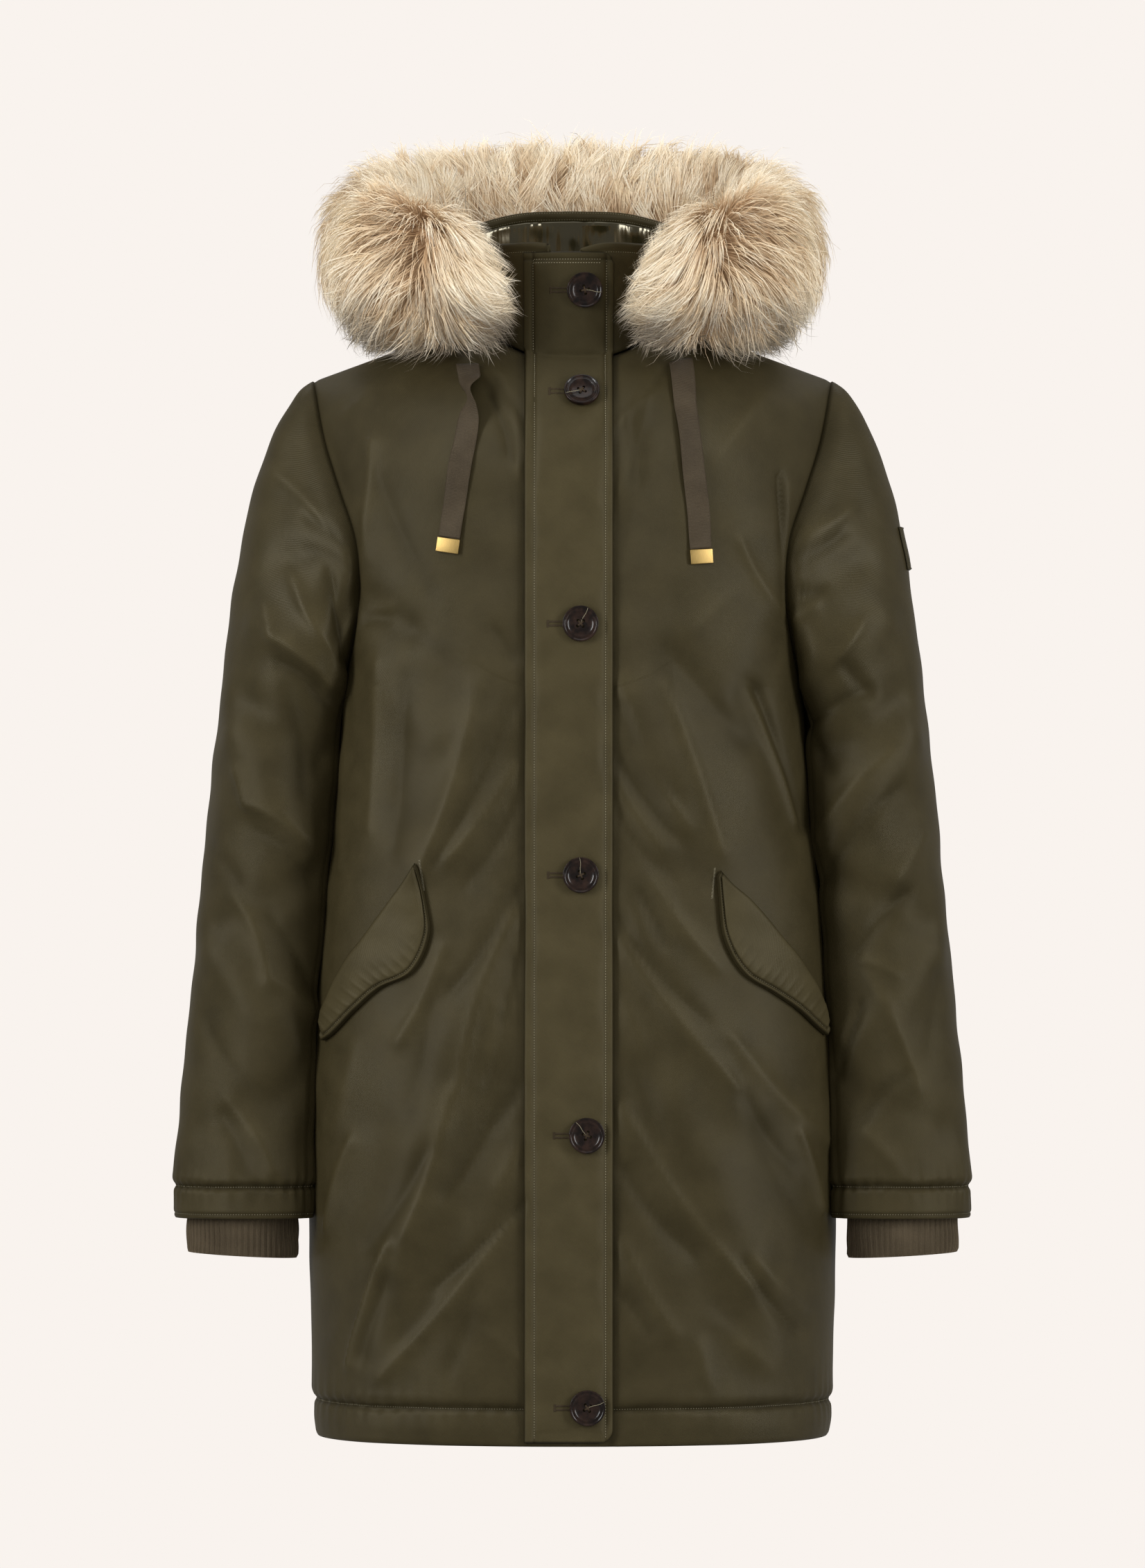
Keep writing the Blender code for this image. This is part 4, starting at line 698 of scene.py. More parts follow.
# Mesh tools -----------------------------------------------------------------
class Built:
    """Helpers that turn arrays of points into finished pieces."""

    @staticmethod
    def normals(grid: Array, around: bool = False) -> Array:
        """Return the unit normals of a grid.

        Args:
            grid: points, rows by columns by 3.
            around: the columns close on themselves.

        Returns:
            Normals in the shape of the grid, along rows x columns.
        """
        if around:
            side = (np.roll(grid, -1, axis=1) - np.roll(grid, 1, axis=1)) / 2
        else:
            side = np.gradient(grid, axis=1)
        return unit(np.cross(np.gradient(grid, axis=0), side))

    @staticmethod
    def mesh(name: str, points: Array, faces: list, uv: Array = None) -> Piece:
        """Return a smooth object of points and faces, with its normals turned outwards.

        Args:
            name: the piece's name.
            points: an array of points.
            faces: tuples of point numbers.
            uv: a place on the cloth for each point, in metres, if it has one.

        Returns:
            The new object, at the origin.
        """
        mesh = bpy.data.meshes.new(name)
        mesh.from_pydata([tuple(p) for p in points.reshape(-1, 3)], [], faces)
        bm = bmesh.new()
        bm.from_mesh(mesh)
        bmesh.ops.recalc_face_normals(bm, faces=bm.faces)
        bm.to_mesh(mesh)
        bm.free()
        mesh.shade_smooth()
        if uv is not None:
            corner = np.zeros(len(mesh.loops), dtype=np.int32)
            mesh.loops.foreach_get("vertex_index", corner)
            layer = mesh.uv_layers.new(name="cloth").data
            layer.foreach_set("uv", np.asarray(uv, np.float32)[corner].ravel())
        return placed(name, mesh)

    @staticmethod
    def flat_places(grid: Array) -> Array:
        """Return places on the flat cloth for a grid, from its mean spacing.

        Args:
            grid: points, rows by columns by 3.

        Returns:
            Places in metres, rows by columns by 2.
        """
        down = np.linalg.norm(np.diff(grid, axis=0), axis=-1).mean(axis=1)
        across = np.linalg.norm(np.diff(grid, axis=1), axis=-1).mean(axis=0)
        u, v = (np.concatenate(([0.0], np.cumsum(steps))) for steps in (across, down))
        return np.stack(np.meshgrid(u, v), axis=-1)

    @staticmethod
    def shell(name: str, grid: Array, normal: Array, thick: float,
              around: bool = False, coarse: int = 2) -> Piece:
        """Return a closed wall of cloth: a fine outer face over a coarser inner one.

        Args:
            name: the piece's name.
            grid: points of the outer face; rows and columns less one are even.
            normal: outward normals of the grid.
            thick: thickness of the wall.
            around: the columns close on themselves.
            coarse: 2 for half as many points on the inner face, 1 for as many.

        Returns:
            The new object.
        """
        rows, columns = grid.shape[:2]
        low = grid[::coarse, ::coarse] - normal[::coarse, ::coarse] * thick
        in_rows, in_columns = low.shape[:2]
        base = rows * columns
        out = lambda i, j: i * columns + j % columns
        inn = lambda i, j: base + i * in_columns + j % in_columns
        faces = [
            (out(i, j), out(i, j + 1), out(i + 1, j + 1), out(i + 1, j))
            for i in range(rows - 1) for j in range(columns if around else columns - 1)
        ]
        across = in_columns if around else in_columns - 1
        faces += [
            (inn(i, j), inn(i + 1, j), inn(i + 1, j + 1), inn(i, j + 1))
            for i in range(in_rows - 1) for j in range(across)
        ]
        edges = []
        for end, inner_end in ((0, 0), (rows - 1, in_rows - 1)):
            for j in range(across):
                fine = [out(end, coarse * j + k) for k in range(coarse + 1)]
                edges.append((fine, inn(inner_end, j), inn(inner_end, j + 1), end == 0))
        if not around:
            for end, inner_end in ((0, 0), (columns - 1, in_columns - 1)):
                for i in range(in_rows - 1):
                    fine = [out(coarse * i + k, end) for k in range(coarse + 1)]
                    edges.append((fine, inn(i, inner_end), inn(i + 1, inner_end), end != 0))
        for fine, first, last, turned in edges:
            faces.append((*fine, last, first) if turned else (first, last, *fine[::-1]))
        places = Built.flat_places(grid)
        uv = np.concatenate((places.reshape(-1, 2), places[::coarse, ::coarse].reshape(-1, 2)))
        points = np.concatenate((grid.reshape(-1, 3), low.reshape(-1, 3)))
        return Built.mesh(name, points, faces, uv)

    @staticmethod
    def between(name: str, outer: Array, inner: Array) -> Piece:
        """Return a closed piece between two open grids of like size.

        Args:
            name: the piece's name.
            outer: points of the seen face, rows by columns by 3.
            inner: points of the hidden face.

        Returns:
            The new object.
        """
        rows, columns = outer.shape[:2]
        base = rows * columns
        faces = []
        for i in range(rows - 1):
            for j in range(columns - 1):
                a, b = i * columns + j, (i + 1) * columns + j
                ring = (a, a + 1, b + 1, b)
                faces += [ring, tuple(base + k for k in ring[::-1])]
        border = [*range(columns), *range(2 * columns - 1, base, columns),
                  *range(base - 2, base - columns - 1, -1),
                  *range(base - 2 * columns, 0, -columns)]
        faces += [(b, a, a + base, b + base) for a, b in zip(border, border[1:] + border[:1])]
        places = Built.flat_places(outer).reshape(-1, 2)
        points = np.concatenate((outer.reshape(-1, 3), inner.reshape(-1, 3)))
        return Built.mesh(name, points, faces, np.concatenate((places, places)))

    @staticmethod
    def shade(item: Piece, values: Array) -> Piece:
        """Write the painted shade and painted highlight at each point of a piece's seen face.

        Args:
            item: the piece.
            values: 0 for the plain cloth, above it for painted shade in a crease, groove or seam,
                and below it for a painted highlight on a ridge.

        Returns:
            The same piece.
        """
        full = np.zeros(len(item.data.vertices), np.float32)
        full[:values.size] = np.clip(values, -0.3, 1.0).ravel()
        item.data.attributes.new("painted_shade", "FLOAT", "POINT").data.foreach_set("value", full)
        return item

    @staticmethod
    def dots(name: str, places: list, radius: float) -> Piece:
        """Return many stitches as one joined mesh.

        Args:
            name: the piece's name.
            places: middle, half length vector and normal of each stitch.
            radius: half a stitch's width.

        Returns:
            The new object.
        """
        points, faces = [], []
        for middle, half, normal in places:
            side, up = unit(np.cross(half, normal)) * radius, normal * radius * 0.8
            base = len(points)
            points += [middle - half, middle + half]
            for share in (-0.5, 0.5):
                points += [middle + half * share + turn for turn in (side, up, -side, -up)]
            for k in range(4):
                a, b = base + 2 + k, base + 2 + (k + 1) % 4
                faces += [(base, b, a), (a, b, b + 4, a + 4), (base + 1, a + 4, b + 4)]
        return Built.mesh(name, np.array(points), faces)

    @staticmethod
    def along(path: Array, normals: Array, pitch: float, length: float) -> list:
        """Return stitches at an even pitch along a path.

        Args:
            path: points close together.
            normals: the cloth's normal at each point.
            pitch: distance from one stitch to the next.
            length: length of one stitch.

        Returns:
            Middle, half length vector and normal of each stitch.
        """
        run = running(path)
        places = []
        for at in np.arange(pitch / 2, run[-1], pitch):
            start, end = (read_path(at + s * length / 2, run, path) for s in (-1, 1))
            places.append(((start + end) / 2, (end - start) / 2, read_path(at, run, normals)))
        return places

    @staticmethod
    def level(grid: Array, normal: Array, values: Array, wanted: float) -> tuple:
        """Follow a value across a grid, column by column.

        Args:
            grid: points, rows by columns by 3.
            normal: normals in the same shape.
            values: a value for each point that rises with the rows.
            wanted: the value to follow.

        Returns:
            The path of points and its normals.
        """
        return tuple(
            np.array([read_path(wanted, values[:, j], full[:, j]) for j in range(grid.shape[1])])
            for full in (grid, normal)
        )

    @staticmethod
    def stitch(name: str, rows: list, pitch: float = 2.1 * MM, length: float = 1.0 * MM,
               radius: float = 0.22 * MM) -> Piece:
        """Return rows of stitches as one finished piece.

        Args:
            name: the piece's name.
            rows: pairs of a path and its normals.
            pitch: distance from one stitch to the next.
            length: length of one stitch.
            radius: half a stitch's width.

        Returns:
            The piece.
        """
        places = [one for path, turned in rows for one in Built.along(path, turned, pitch, length)]
        return Built.finish(Built.dots(name, places, radius), THREAD, "shell")

    @staticmethod
    def roll(name: str, grid: Array) -> Piece:
        """Return a closed roll of rings with flat ends.

        Args:
            name: the piece's name.
            grid: points, rings by points by 3.

        Returns:
            The new object.
        """
        rows, columns = grid.shape[:2]
        faces = []
        for i in range(0, (rows - 1) * columns, columns):
            for k in range(columns):
                after = (k + 1) % columns
                faces.append((i + k, i + after, i + columns + after, i + columns + k))
        last = (rows - 1) * columns
        faces += [tuple(range(columns)), tuple(range(last, last + columns))]
        return Built.mesh(name, grid, faces)

    @staticmethod
    def tube(name: str, path: Array, radius: float, sides: int = 8) -> Piece:
        """Return a closed round cord along a path, as for piping.

        Args:
            name: the piece's name.
            path: points of its middle line.
            radius: half its width.
            sides: points round it.

        Returns:
            The new object.
        """
        run = unit(np.gradient(path, axis=0))
        help_axis = np.where(np.abs(run[:, 1:2]) < 0.9, [[0.0, 1.0, 0.0]], [[1.0, 0.0, 0.0]])
        side = unit(np.cross(run, help_axis))
        up = np.cross(side, run)
        turn = (2 * math.pi * np.arange(sides) / sides)[None, :, None]
        size = np.full(len(path), radius)
        size[0] = size[-1] = radius * 0.4
        ring = (side[:, None] * np.cos(turn) + up[:, None] * np.sin(turn)) * size[:, None, None]
        return Built.roll(name, path[:, None] + ring)

    @staticmethod
    def pick(*items: Piece) -> None:
        """Select these objects alone, with the first one active."""
        bpy.ops.object.select_all(action="DESELECT")
        for item in items[::-1]:
            item.select_set(True)
            bpy.context.view_layer.objects.active = item

    @staticmethod
    def join(name: str, items: list) -> Piece:
        """Join objects into the first one and name it.

        Args:
            name: the new name.
            items: the objects.

        Returns:
            The first object.
        """
        Built.pick(*items)
        bpy.ops.object.join()
        items[0].name = items[0].data.name = name
        return items[0]

    @staticmethod
    def finish(item: Piece, look: "Cloth | Metal | Horn | Pile", slot: str,
               nodes: tuple = (), cut: tuple = (), held: str = "hung") -> Piece:
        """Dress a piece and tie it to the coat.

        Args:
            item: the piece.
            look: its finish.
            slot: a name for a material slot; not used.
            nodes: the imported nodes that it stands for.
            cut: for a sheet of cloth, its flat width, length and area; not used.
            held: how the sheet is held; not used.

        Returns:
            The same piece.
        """
        item.data.materials.clear()
        item.data.materials.append(look.material())
        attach(item, "root")
        if nodes:
            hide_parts(*nodes)
        LOG.info("%s: %d faces", item.name, len(item.data.polygons))
        return item


# Finishes -------------------------------------------------------------------
class Weave(Enum):
    """How a cloth's surface is broken up."""

    SATIN = "satin"
    SLICK = "slick"
    CRUMPLED = "crumpled"
    KNIT = "knit"
    GROSGRAIN = "grosgrain"


class Nodes:
    """A short way to write a material's nodes."""

    def __init__(self, name: str) -> None:
        """Start a material with its Principled shader and its place on the object.

        Args:
            name: the material's name.
        """
        self.material = bpy.data.materials.new(name)
        self.material.use_nodes = True
        self.tree = self.material.node_tree
        self.shader = self.tree.nodes["Principled BSDF"]
        self.place = self.add("ShaderNodeTexCoord").outputs["Object"]

    def put(self, node: bpy.types.Node, name: str | int, value: object) -> None:
        """Link a socket to a node's input, or set the input to a plain value."""
        if isinstance(value, Socket):
            self.tree.links.new(value, node.inputs[name])
        else:
            node.inputs[name].default_value = value

    def add(self, kind: str, **values: object) -> bpy.types.Node:
        """Add a node and set it up.

        Args:
            kind: the node's type.
            values: a value or a socket for each named property or input.

        Returns:
            The node.
        """
        node = self.tree.nodes.new(kind)
        for name, value in values.items():
            if name in node.bl_rna.properties:
                setattr(node, name, value)
            else:
                self.put(node, name.replace("_", " "), value)
        return node

    def set(self, **values: object) -> None:
        """Set the shader's inputs by name, with _ for each space."""
        for name, value in values.items():
            self.put(self.shader, name.replace("_", " "), value)

    def ramp(self, factor: Socket, stops: tuple) -> Socket:
        """Run a value through a ramp of two colours.

        Args:
            factor: the value.
            stops: two pairs of a place and a colour.

        Returns:
            The colour.
        """
        node = self.add("ShaderNodeValToRGB", Fac=factor)
        for element, (place, colour) in zip(node.color_ramp.elements, stops):
            element.position = place
            element.color = (*colour, 1.0)
        return node.outputs["Color"]

    def line(self, value: Socket, slope: float, start: object) -> Socket:
        """Return value * slope + start, where start is a number or a socket."""
        return self.math("ADD", self.math("MULTIPLY", value, slope), start)

    def math(self, kind: str, first: object, second: object) -> Socket:
        """Add a math node.

        Args:
            kind: its operation.
            first: a socket or a number.
            second: a socket or a number.

        Returns:
            Its result.
        """
        node = self.add("ShaderNodeMath", operation=kind)
        self.put(node, 0, first)
        self.put(node, 1, second)
        return node.outputs[0]

    def noise(self, scale: float, detail: float, at: Socket = None) -> Socket:
        """Return a noise value at a scale per metre, on the object unless `at` says where."""
        node = self.add("ShaderNodeTexNoise", Scale=scale, Detail=detail, Vector=at or self.place)
        return node.outputs["Fac"]

    def drawn(self, share: float) -> Socket:
        """Places on the object, drawn out along Z."""
        node = self.add("ShaderNodeMapping", Scale=(1.0, 1.0, share), Vector=self.place)
        return node.outputs["Vector"]

    def bump(self, height: Socket, distance: float) -> None:
        """Run a height into the shader's normal."""
        node = self.add("ShaderNodeBump", Distance=distance, Strength=1.0, Height=height)
        self.set(Normal=node.outputs["Normal"])


@dataclass(frozen=True)
class Cloth:
    """A woven or knitted finish: two tones, a gloss and a weave.

    The weave's pitch is in metres, and its bump is the height of one thread.
    """

    name: str
    dark: tuple
    light: tuple
    roughness: float
    weave: Weave
    pitch: float = 0.0008
    thread: float = 0.00008
    sheen: float = 0.02
    specular: float = 0.20
    glow: tuple = (1.0, 0.92, 0.70)

    def material(self) -> bpy.types.Material:
        """Return the finish as a material, with painted shade and painted highlight read from the
        piece's own attribute: darker and with less specular where it is high, lighter and glossier
        where it is below 0.
        """
        nodes = Nodes(self.name)
        mottle = nodes.noise(38.0, 4.0)
        grain = nodes.math("MULTIPLY", nodes.noise(1400.0, 2.0), 0.45)
        tones = ((0.34, self.dark), (0.66, self.light))
        colour = nodes.ramp(nodes.line(mottle, 0.55, grain), tones)
        # Painted shade and painted highlight: the piece's attribute darkens the colour and the
        # specular in creases, seams and stitch grooves, and lightens both on fold ridges where it
        # is below 0.
        painted_shade = nodes.add("ShaderNodeAttribute", attribute_name="painted_shade").outputs["Fac"]
        painted_light_share = nodes.line(painted_shade, -0.85, 1.0)
        shaded = nodes.add("ShaderNodeVectorMath", operation="SCALE", Vector=colour,
                           Scale=painted_light_share).outputs[0]
        nodes.set(
            Base_Color=shaded,
            Roughness=nodes.line(mottle, 0.12, self.roughness - 0.06),
            Specular_IOR_Level=nodes.math("MULTIPLY", painted_light_share, self.specular),
            Specular_Tint=(*self.glow, 1.0),
            Sheen_Weight=self.sheen,
            Sheen_Roughness=0.4,
            Sheen_Tint=(*[min(c * 8, 1.0) for c in self.light], 1.0),
        )
        if self.weave is Weave.SATIN:
            height = nodes.line(nodes.noise(120.0, 3.0), 2.2, self.threads(nodes, 45.0))
        elif self.weave is Weave.SLICK:
            height = nodes.math("MULTIPLY", nodes.noise(160.0, 4.0), 5.0)
        elif self.weave is Weave.CRUMPLED:
            height = nodes.noise(75.0, 2.0, nodes.drawn(0.12))
        else:
            height = self.threads(nodes, 0.0 if self.weave is Weave.KNIT else 90.0)
        nodes.bump(height, self.thread)
        return nodes.material

    def threads(self, nodes: Nodes, degrees: float) -> Socket:
        """Return the height of the cloth's threads.

        Args:
            nodes: the material's nodes.
            degrees: the threads' angle on the flat cloth.

        Returns:
            The height.
        """
        turn = (0.0, 0.0, math.radians(degrees))
        uv = nodes.add("ShaderNodeUVMap", uv_map="cloth").outputs["UV"]
        turned = nodes.add("ShaderNodeMapping", Rotation=turn, Vector=uv).outputs["Vector"]
        wave = nodes.add("ShaderNodeTexWave", Scale=1 / self.pitch / 3.2, Distortion=0.6,
                         Detail=1.0, Vector=turned)
        return wave.outputs["Fac"]


@dataclass(frozen=True)
class Metal:
    """A brushed metal finish."""

    name: str
    colour: tuple
    roughness: float

    def material(self) -> bpy.types.Material:
        """Return the finish as a material."""
        nodes = Nodes(self.name)
        grain = nodes.noise(6000.0, 2.0, nodes.drawn(0.05))
        dull = tuple(c * 0.78 for c in self.colour)
        nodes.set(
            Base_Color=nodes.ramp(grain, ((0.35, dull), (0.65, self.colour))),
            Roughness=nodes.line(grain, 0.15, self.roughness),
            Metallic=1.0,
        )
        nodes.bump(grain, 0.00003)
        return nodes.material


@dataclass(frozen=True)
class Horn:
    """A glossy dark finish with mottled streaks, as on horn buttons."""

    name: str
    dark: tuple
    light: tuple

    def material(self) -> bpy.types.Material:
        """Return the finish as a material."""
        nodes = Nodes(self.name)
        streaks = nodes.ramp(nodes.noise(160.0, 5.0), ((0.38, self.dark), (0.72, self.light)))
        nodes.set(Base_Color=streaks, Roughness=0.24, Specular_IOR_Level=0.18,
                  Coat_Weight=0.16, Coat_Roughness=0.05)
        nodes.bump(nodes.noise(900.0, 2.0), 0.00002)
        return nodes.material


@dataclass(frozen=True)
class Pile:
    """Fur whose colour is written on each hair, with a fine noise over it."""

    name: str
    # Painted light: the fur glows faintly in its own colour at this strength, for the light that
    # neighbouring hairs hand on.
    painted_glow: float = 0.07  # share of the light that neighbouring hairs hand on

    def material(self) -> bpy.types.Material:
        """Return the finish as a material."""
        nodes = Nodes(self.name)
        mix = nodes.add("ShaderNodeMix", data_type="RGBA", blend_type="MULTIPLY")
        flecks = ((0.3, (0.82, 0.82, 0.82)), (0.7, (1.0, 1.0, 1.0)))
        tone = nodes.add("ShaderNodeAttribute", attribute_name="pile").outputs["Color"]
        shade = nodes.ramp(nodes.noise(700.0, 2.0), flecks)
        for place, value in ((0, 1.0), (6, tone), (7, shade)):
            nodes.put(mix, place, value)
        # Painted light: the hairs glow in their own colour, standing in for light passed on
        # between hairs.
        nodes.set(Base_Color=mix.outputs[2], Emission_Color=mix.outputs[2], Roughness=0.60,
                  Specular_IOR_Level=0.22, Emission_Strength=self.painted_glow)
        return nodes.material


SHELL = Cloth("olive_satin", (0.0296, 0.0232, 0.0096), (0.0438, 0.0346, 0.0150), 0.47, Weave.SATIN)
# Painted light: a lit copy of the shell's olive satin, painted lighter for the placket and the
# pocket flaps.
LIT_SHELL = Cloth("olive_satin_lit", (0.041, 0.0326, 0.0142), (0.059, 0.0474, 0.0214), 0.48,
                Weave.SATIN)
LINING = Cloth("gloss_lining", (0.013, 0.0106, 0.0036), (0.025, 0.0204, 0.0070), 0.14,
               Weave.CRUMPLED, thread=0.0030, sheen=0.0, specular=1.0)
KNIT = Cloth("rib_knit", (0.044, 0.033, 0.020), (0.086, 0.066, 0.042), 0.85, Weave.KNIT,
             pitch=0.0012, thread=0.00025, sheen=0.35)
GROSGRAIN = Cloth("taupe_grosgrain", (0.038, 0.028, 0.018), (0.070, 0.053, 0.034), 0.55,
                  Weave.GROSGRAIN, pitch=0.0011, thread=0.00018)
THREAD = Cloth("olive_thread", (0.200, 0.180, 0.118), (0.320, 0.290, 0.200), 0.6, Weave.SLICK)
HOLE_THREAD = Cloth("buttonhole_thread", (0.028, 0.020, 0.011), (0.055, 0.040, 0.024), 0.6,
                    Weave.SLICK)
PATCH = Cloth("badge_cloth", (0.034, 0.029, 0.016), (0.052, 0.045, 0.027), 0.6, Weave.GROSGRAIN)
DARK_THREAD = Cloth("brown_thread", (0.030, 0.020, 0.012), (0.060, 0.040, 0.025), 0.6, Weave.SLICK)
BRASS = Metal("brushed_brass", (0.42, 0.29, 0.105), 0.34)
HORN = Horn("dark_horn", (0.005, 0.0028, 0.0022), (0.024, 0.012, 0.008))
PILE = Pile("fur_pile")


# Torso and sleeves ----------------------------------------------------------
@dataclass
class Body:
    """The two fronts and the back: padded panels with a turned, stitched hem."""

    wall: float = 2.6 * MM
    hem_stitch_z: float = -0.8530
    hem_rows_to: float = 0.042
    fold_fade: float = 0.02
    ridge: float = 0.0022
    seam_dip: float = 1.1 * MM
    seam_reach: float = 3.5 * MM
    pucker: float = 1.3 * MM
    groove_deep: float = 2.4 * MM
    groove_wide: float = 2.8 * MM
    groove_strays: float = 1.2 * MM
    gather_run: float = 0.0021
    pucker_above: float = 0.011
    pucker_below: float = 0.009
    band: float = 1.2 * MM
    band_rise: float = 0.014
    band_wide: float = 0.010
    edge_roll: float = 0.0016
    ledge: float = 2.2 * MM
    ledge_foot: float = 0.010
    ledge_tail: float = 0.030
    hem_flat: float = 0.034
    hem_flat_fade: float = 0.012
    shoulder_dip: float = 1.4 * MM
    shoulder_reach: float = 0.0045
    placket_dip: float = 0.8 * MM
    placket_reach: float = 0.0018
    # Painted shade along the top seam and beside the placket's edges.
    painted_seam_dark: float = 0.45
    columns: int = 84
    back_columns: int = 56
    front_cut: tuple = (0.306, 0.974, 0.239)
    back_cut: tuple = (0.575, 0.963, 0.457)

    def rows(self) -> Array:
        """Heights of the rows, close together at the hem."""
        low = spaced((HEM_Z, HEM_Z + self.hem_rows_to, UNDERARM_Z), (24, 152))
        even = np.arange(1, 77) / 76
        share = 0.75 * even + 0.25 * (1 - np.cos(np.pi * even)) / 2
        return np.concatenate((low, UNDERARM_Z + (TIP_Z - UNDERARM_Z) * share))

    def hem_relief(self, run: Array, z: Array, seed: float) -> Array:
        """Return the height of the hem's roll, its stitched groove and its puckers.

        Args:
            run: distance around the hem.
            z: heights.
            seed: shifts the puckers, so that no two panels match.

        Returns:
            The height at each place.
        """
        above = z - self.hem_stitch_z
        line = above + self.groove_strays * waves(run, 0 * run, 0.030, seed)
        groove = self.groove_deep * bell(line, self.groove_wide)
        uneven = 0.5 + 0.5 * np.clip(waves(run, 0 * run, 0.085, seed + 2.0), -1, 1)
        beat = run / self.gather_run + 2.5 * waves(run, 0 * run, 0.05, seed)
        tail = np.where(above > 0, self.pucker_above, self.pucker_below)
        puckers = self.pucker * np.sin(beat) * uneven * np.exp(-np.abs(above) / tail)
        rise = z - HEM_Z
        roll = bell(z - (HEM_Z + self.band_rise), self.band_wide) - bell(rise, self.edge_roll)
        band = self.band * roll
        fall = np.exp(-np.maximum(above, 0.0) / self.ledge_tail)
        ledge = self.ledge * ease(above / self.ledge_foot) * fall
        return puckers + band + ledge - groove

    def panel(self, face: int, hand: int) -> tuple:
        """Return one half panel with its folds.

        Args:
            face: -1 front, +1 back.
            hand: -1 left, +1 right.

        Returns:
            The grid of points, its outward normals and its painted shade.
        """
        columns = self.columns if face < 0 else self.back_columns
        shares = 1 - (1 - np.linspace(0, 1, columns + 1)) ** 1.12
        grid = Figure.half_panel(face, hand, self.rows(), shares)
        normal = Built.normals(grid)
        normal = normal * np.sign(normal[60, 20, 1] * face)
        x, z = grid[..., 0], grid[..., 2]
        run = running(grid, axis=1)
        to_side = run[:, -1:] - run
        to_top = running(grid[::-1])[::-1]
        height = Figure.fine(x, z, face) * ease(to_side / self.fold_fade)
        # Painted highlight on fold ridges and painted shade in their troughs, then painted shade
        # along the side seam, the top seam and the hem stitches.
        painted_shade = FOLD_HIGHLIGHT_SHADE * np.clip(height / self.ridge, -1.0, 1.0)
        painted_shade += SEAM_SHADE * bell(to_side, SHADE_WIDE) + self.painted_seam_dark * bell(to_top, SHADE_WIDE)
        painted_shade += STITCH_SHADE * bell(z - self.hem_stitch_z, SHADE_WIDE)
        height -= self.seam_dip * bell(to_side, self.seam_reach)
        height -= self.shoulder_dip * bell(to_top, self.shoulder_reach)
        flat = ease((run - self.hem_flat) / self.hem_flat_fade) if face < 0 else 1.0
        hem = self.hem_relief(hand * run + 3.0 * (face > 0), z, 1.0 + face)
        height += hem * (0.25 + 0.75 * flat)
        # Along each placket edge: a dip in the front, and painted shadow along it.
        for edge in (PLACKET_LEFT, PLACKET_RIGHT) if face < 0 else ():
            height -= self.placket_dip * bell(x - edge, self.placket_reach)
            painted_shade += self.painted_seam_dark * bell(x - edge, self.placket_reach)
        return grid + normal * height[..., None], normal, painted_shade

    def build(self) -> list:
        """Build the three panels and return them with their hem stitches."""
        pieces, rows = [], []
        backs = zip(self.panel(1, -1), self.panel(1, 1))
        panels = (
            ("front_left", self.panel(-1, -1), self.front_cut),
            ("front_right", self.panel(-1, 1), self.front_cut),
            ("back", [np.concatenate((a[:, :0:-1], b), axis=1) for a, b in backs], self.back_cut),
        )
        for name, (grid, normal, painted_shade), cut in panels:
            item = Built.shell(f"{name}_cloth", grid, normal, self.wall)
            pieces.append(Built.finish(Built.shade(item, painted_shade), SHELL, "shell", (name,), cut))
            low = grid[:60]
            rows.append(Built.level(low, normal[:60], low[..., 2], self.hem_stitch_z))
        return [*pieces, Built.stitch("hem_stitches", rows)]


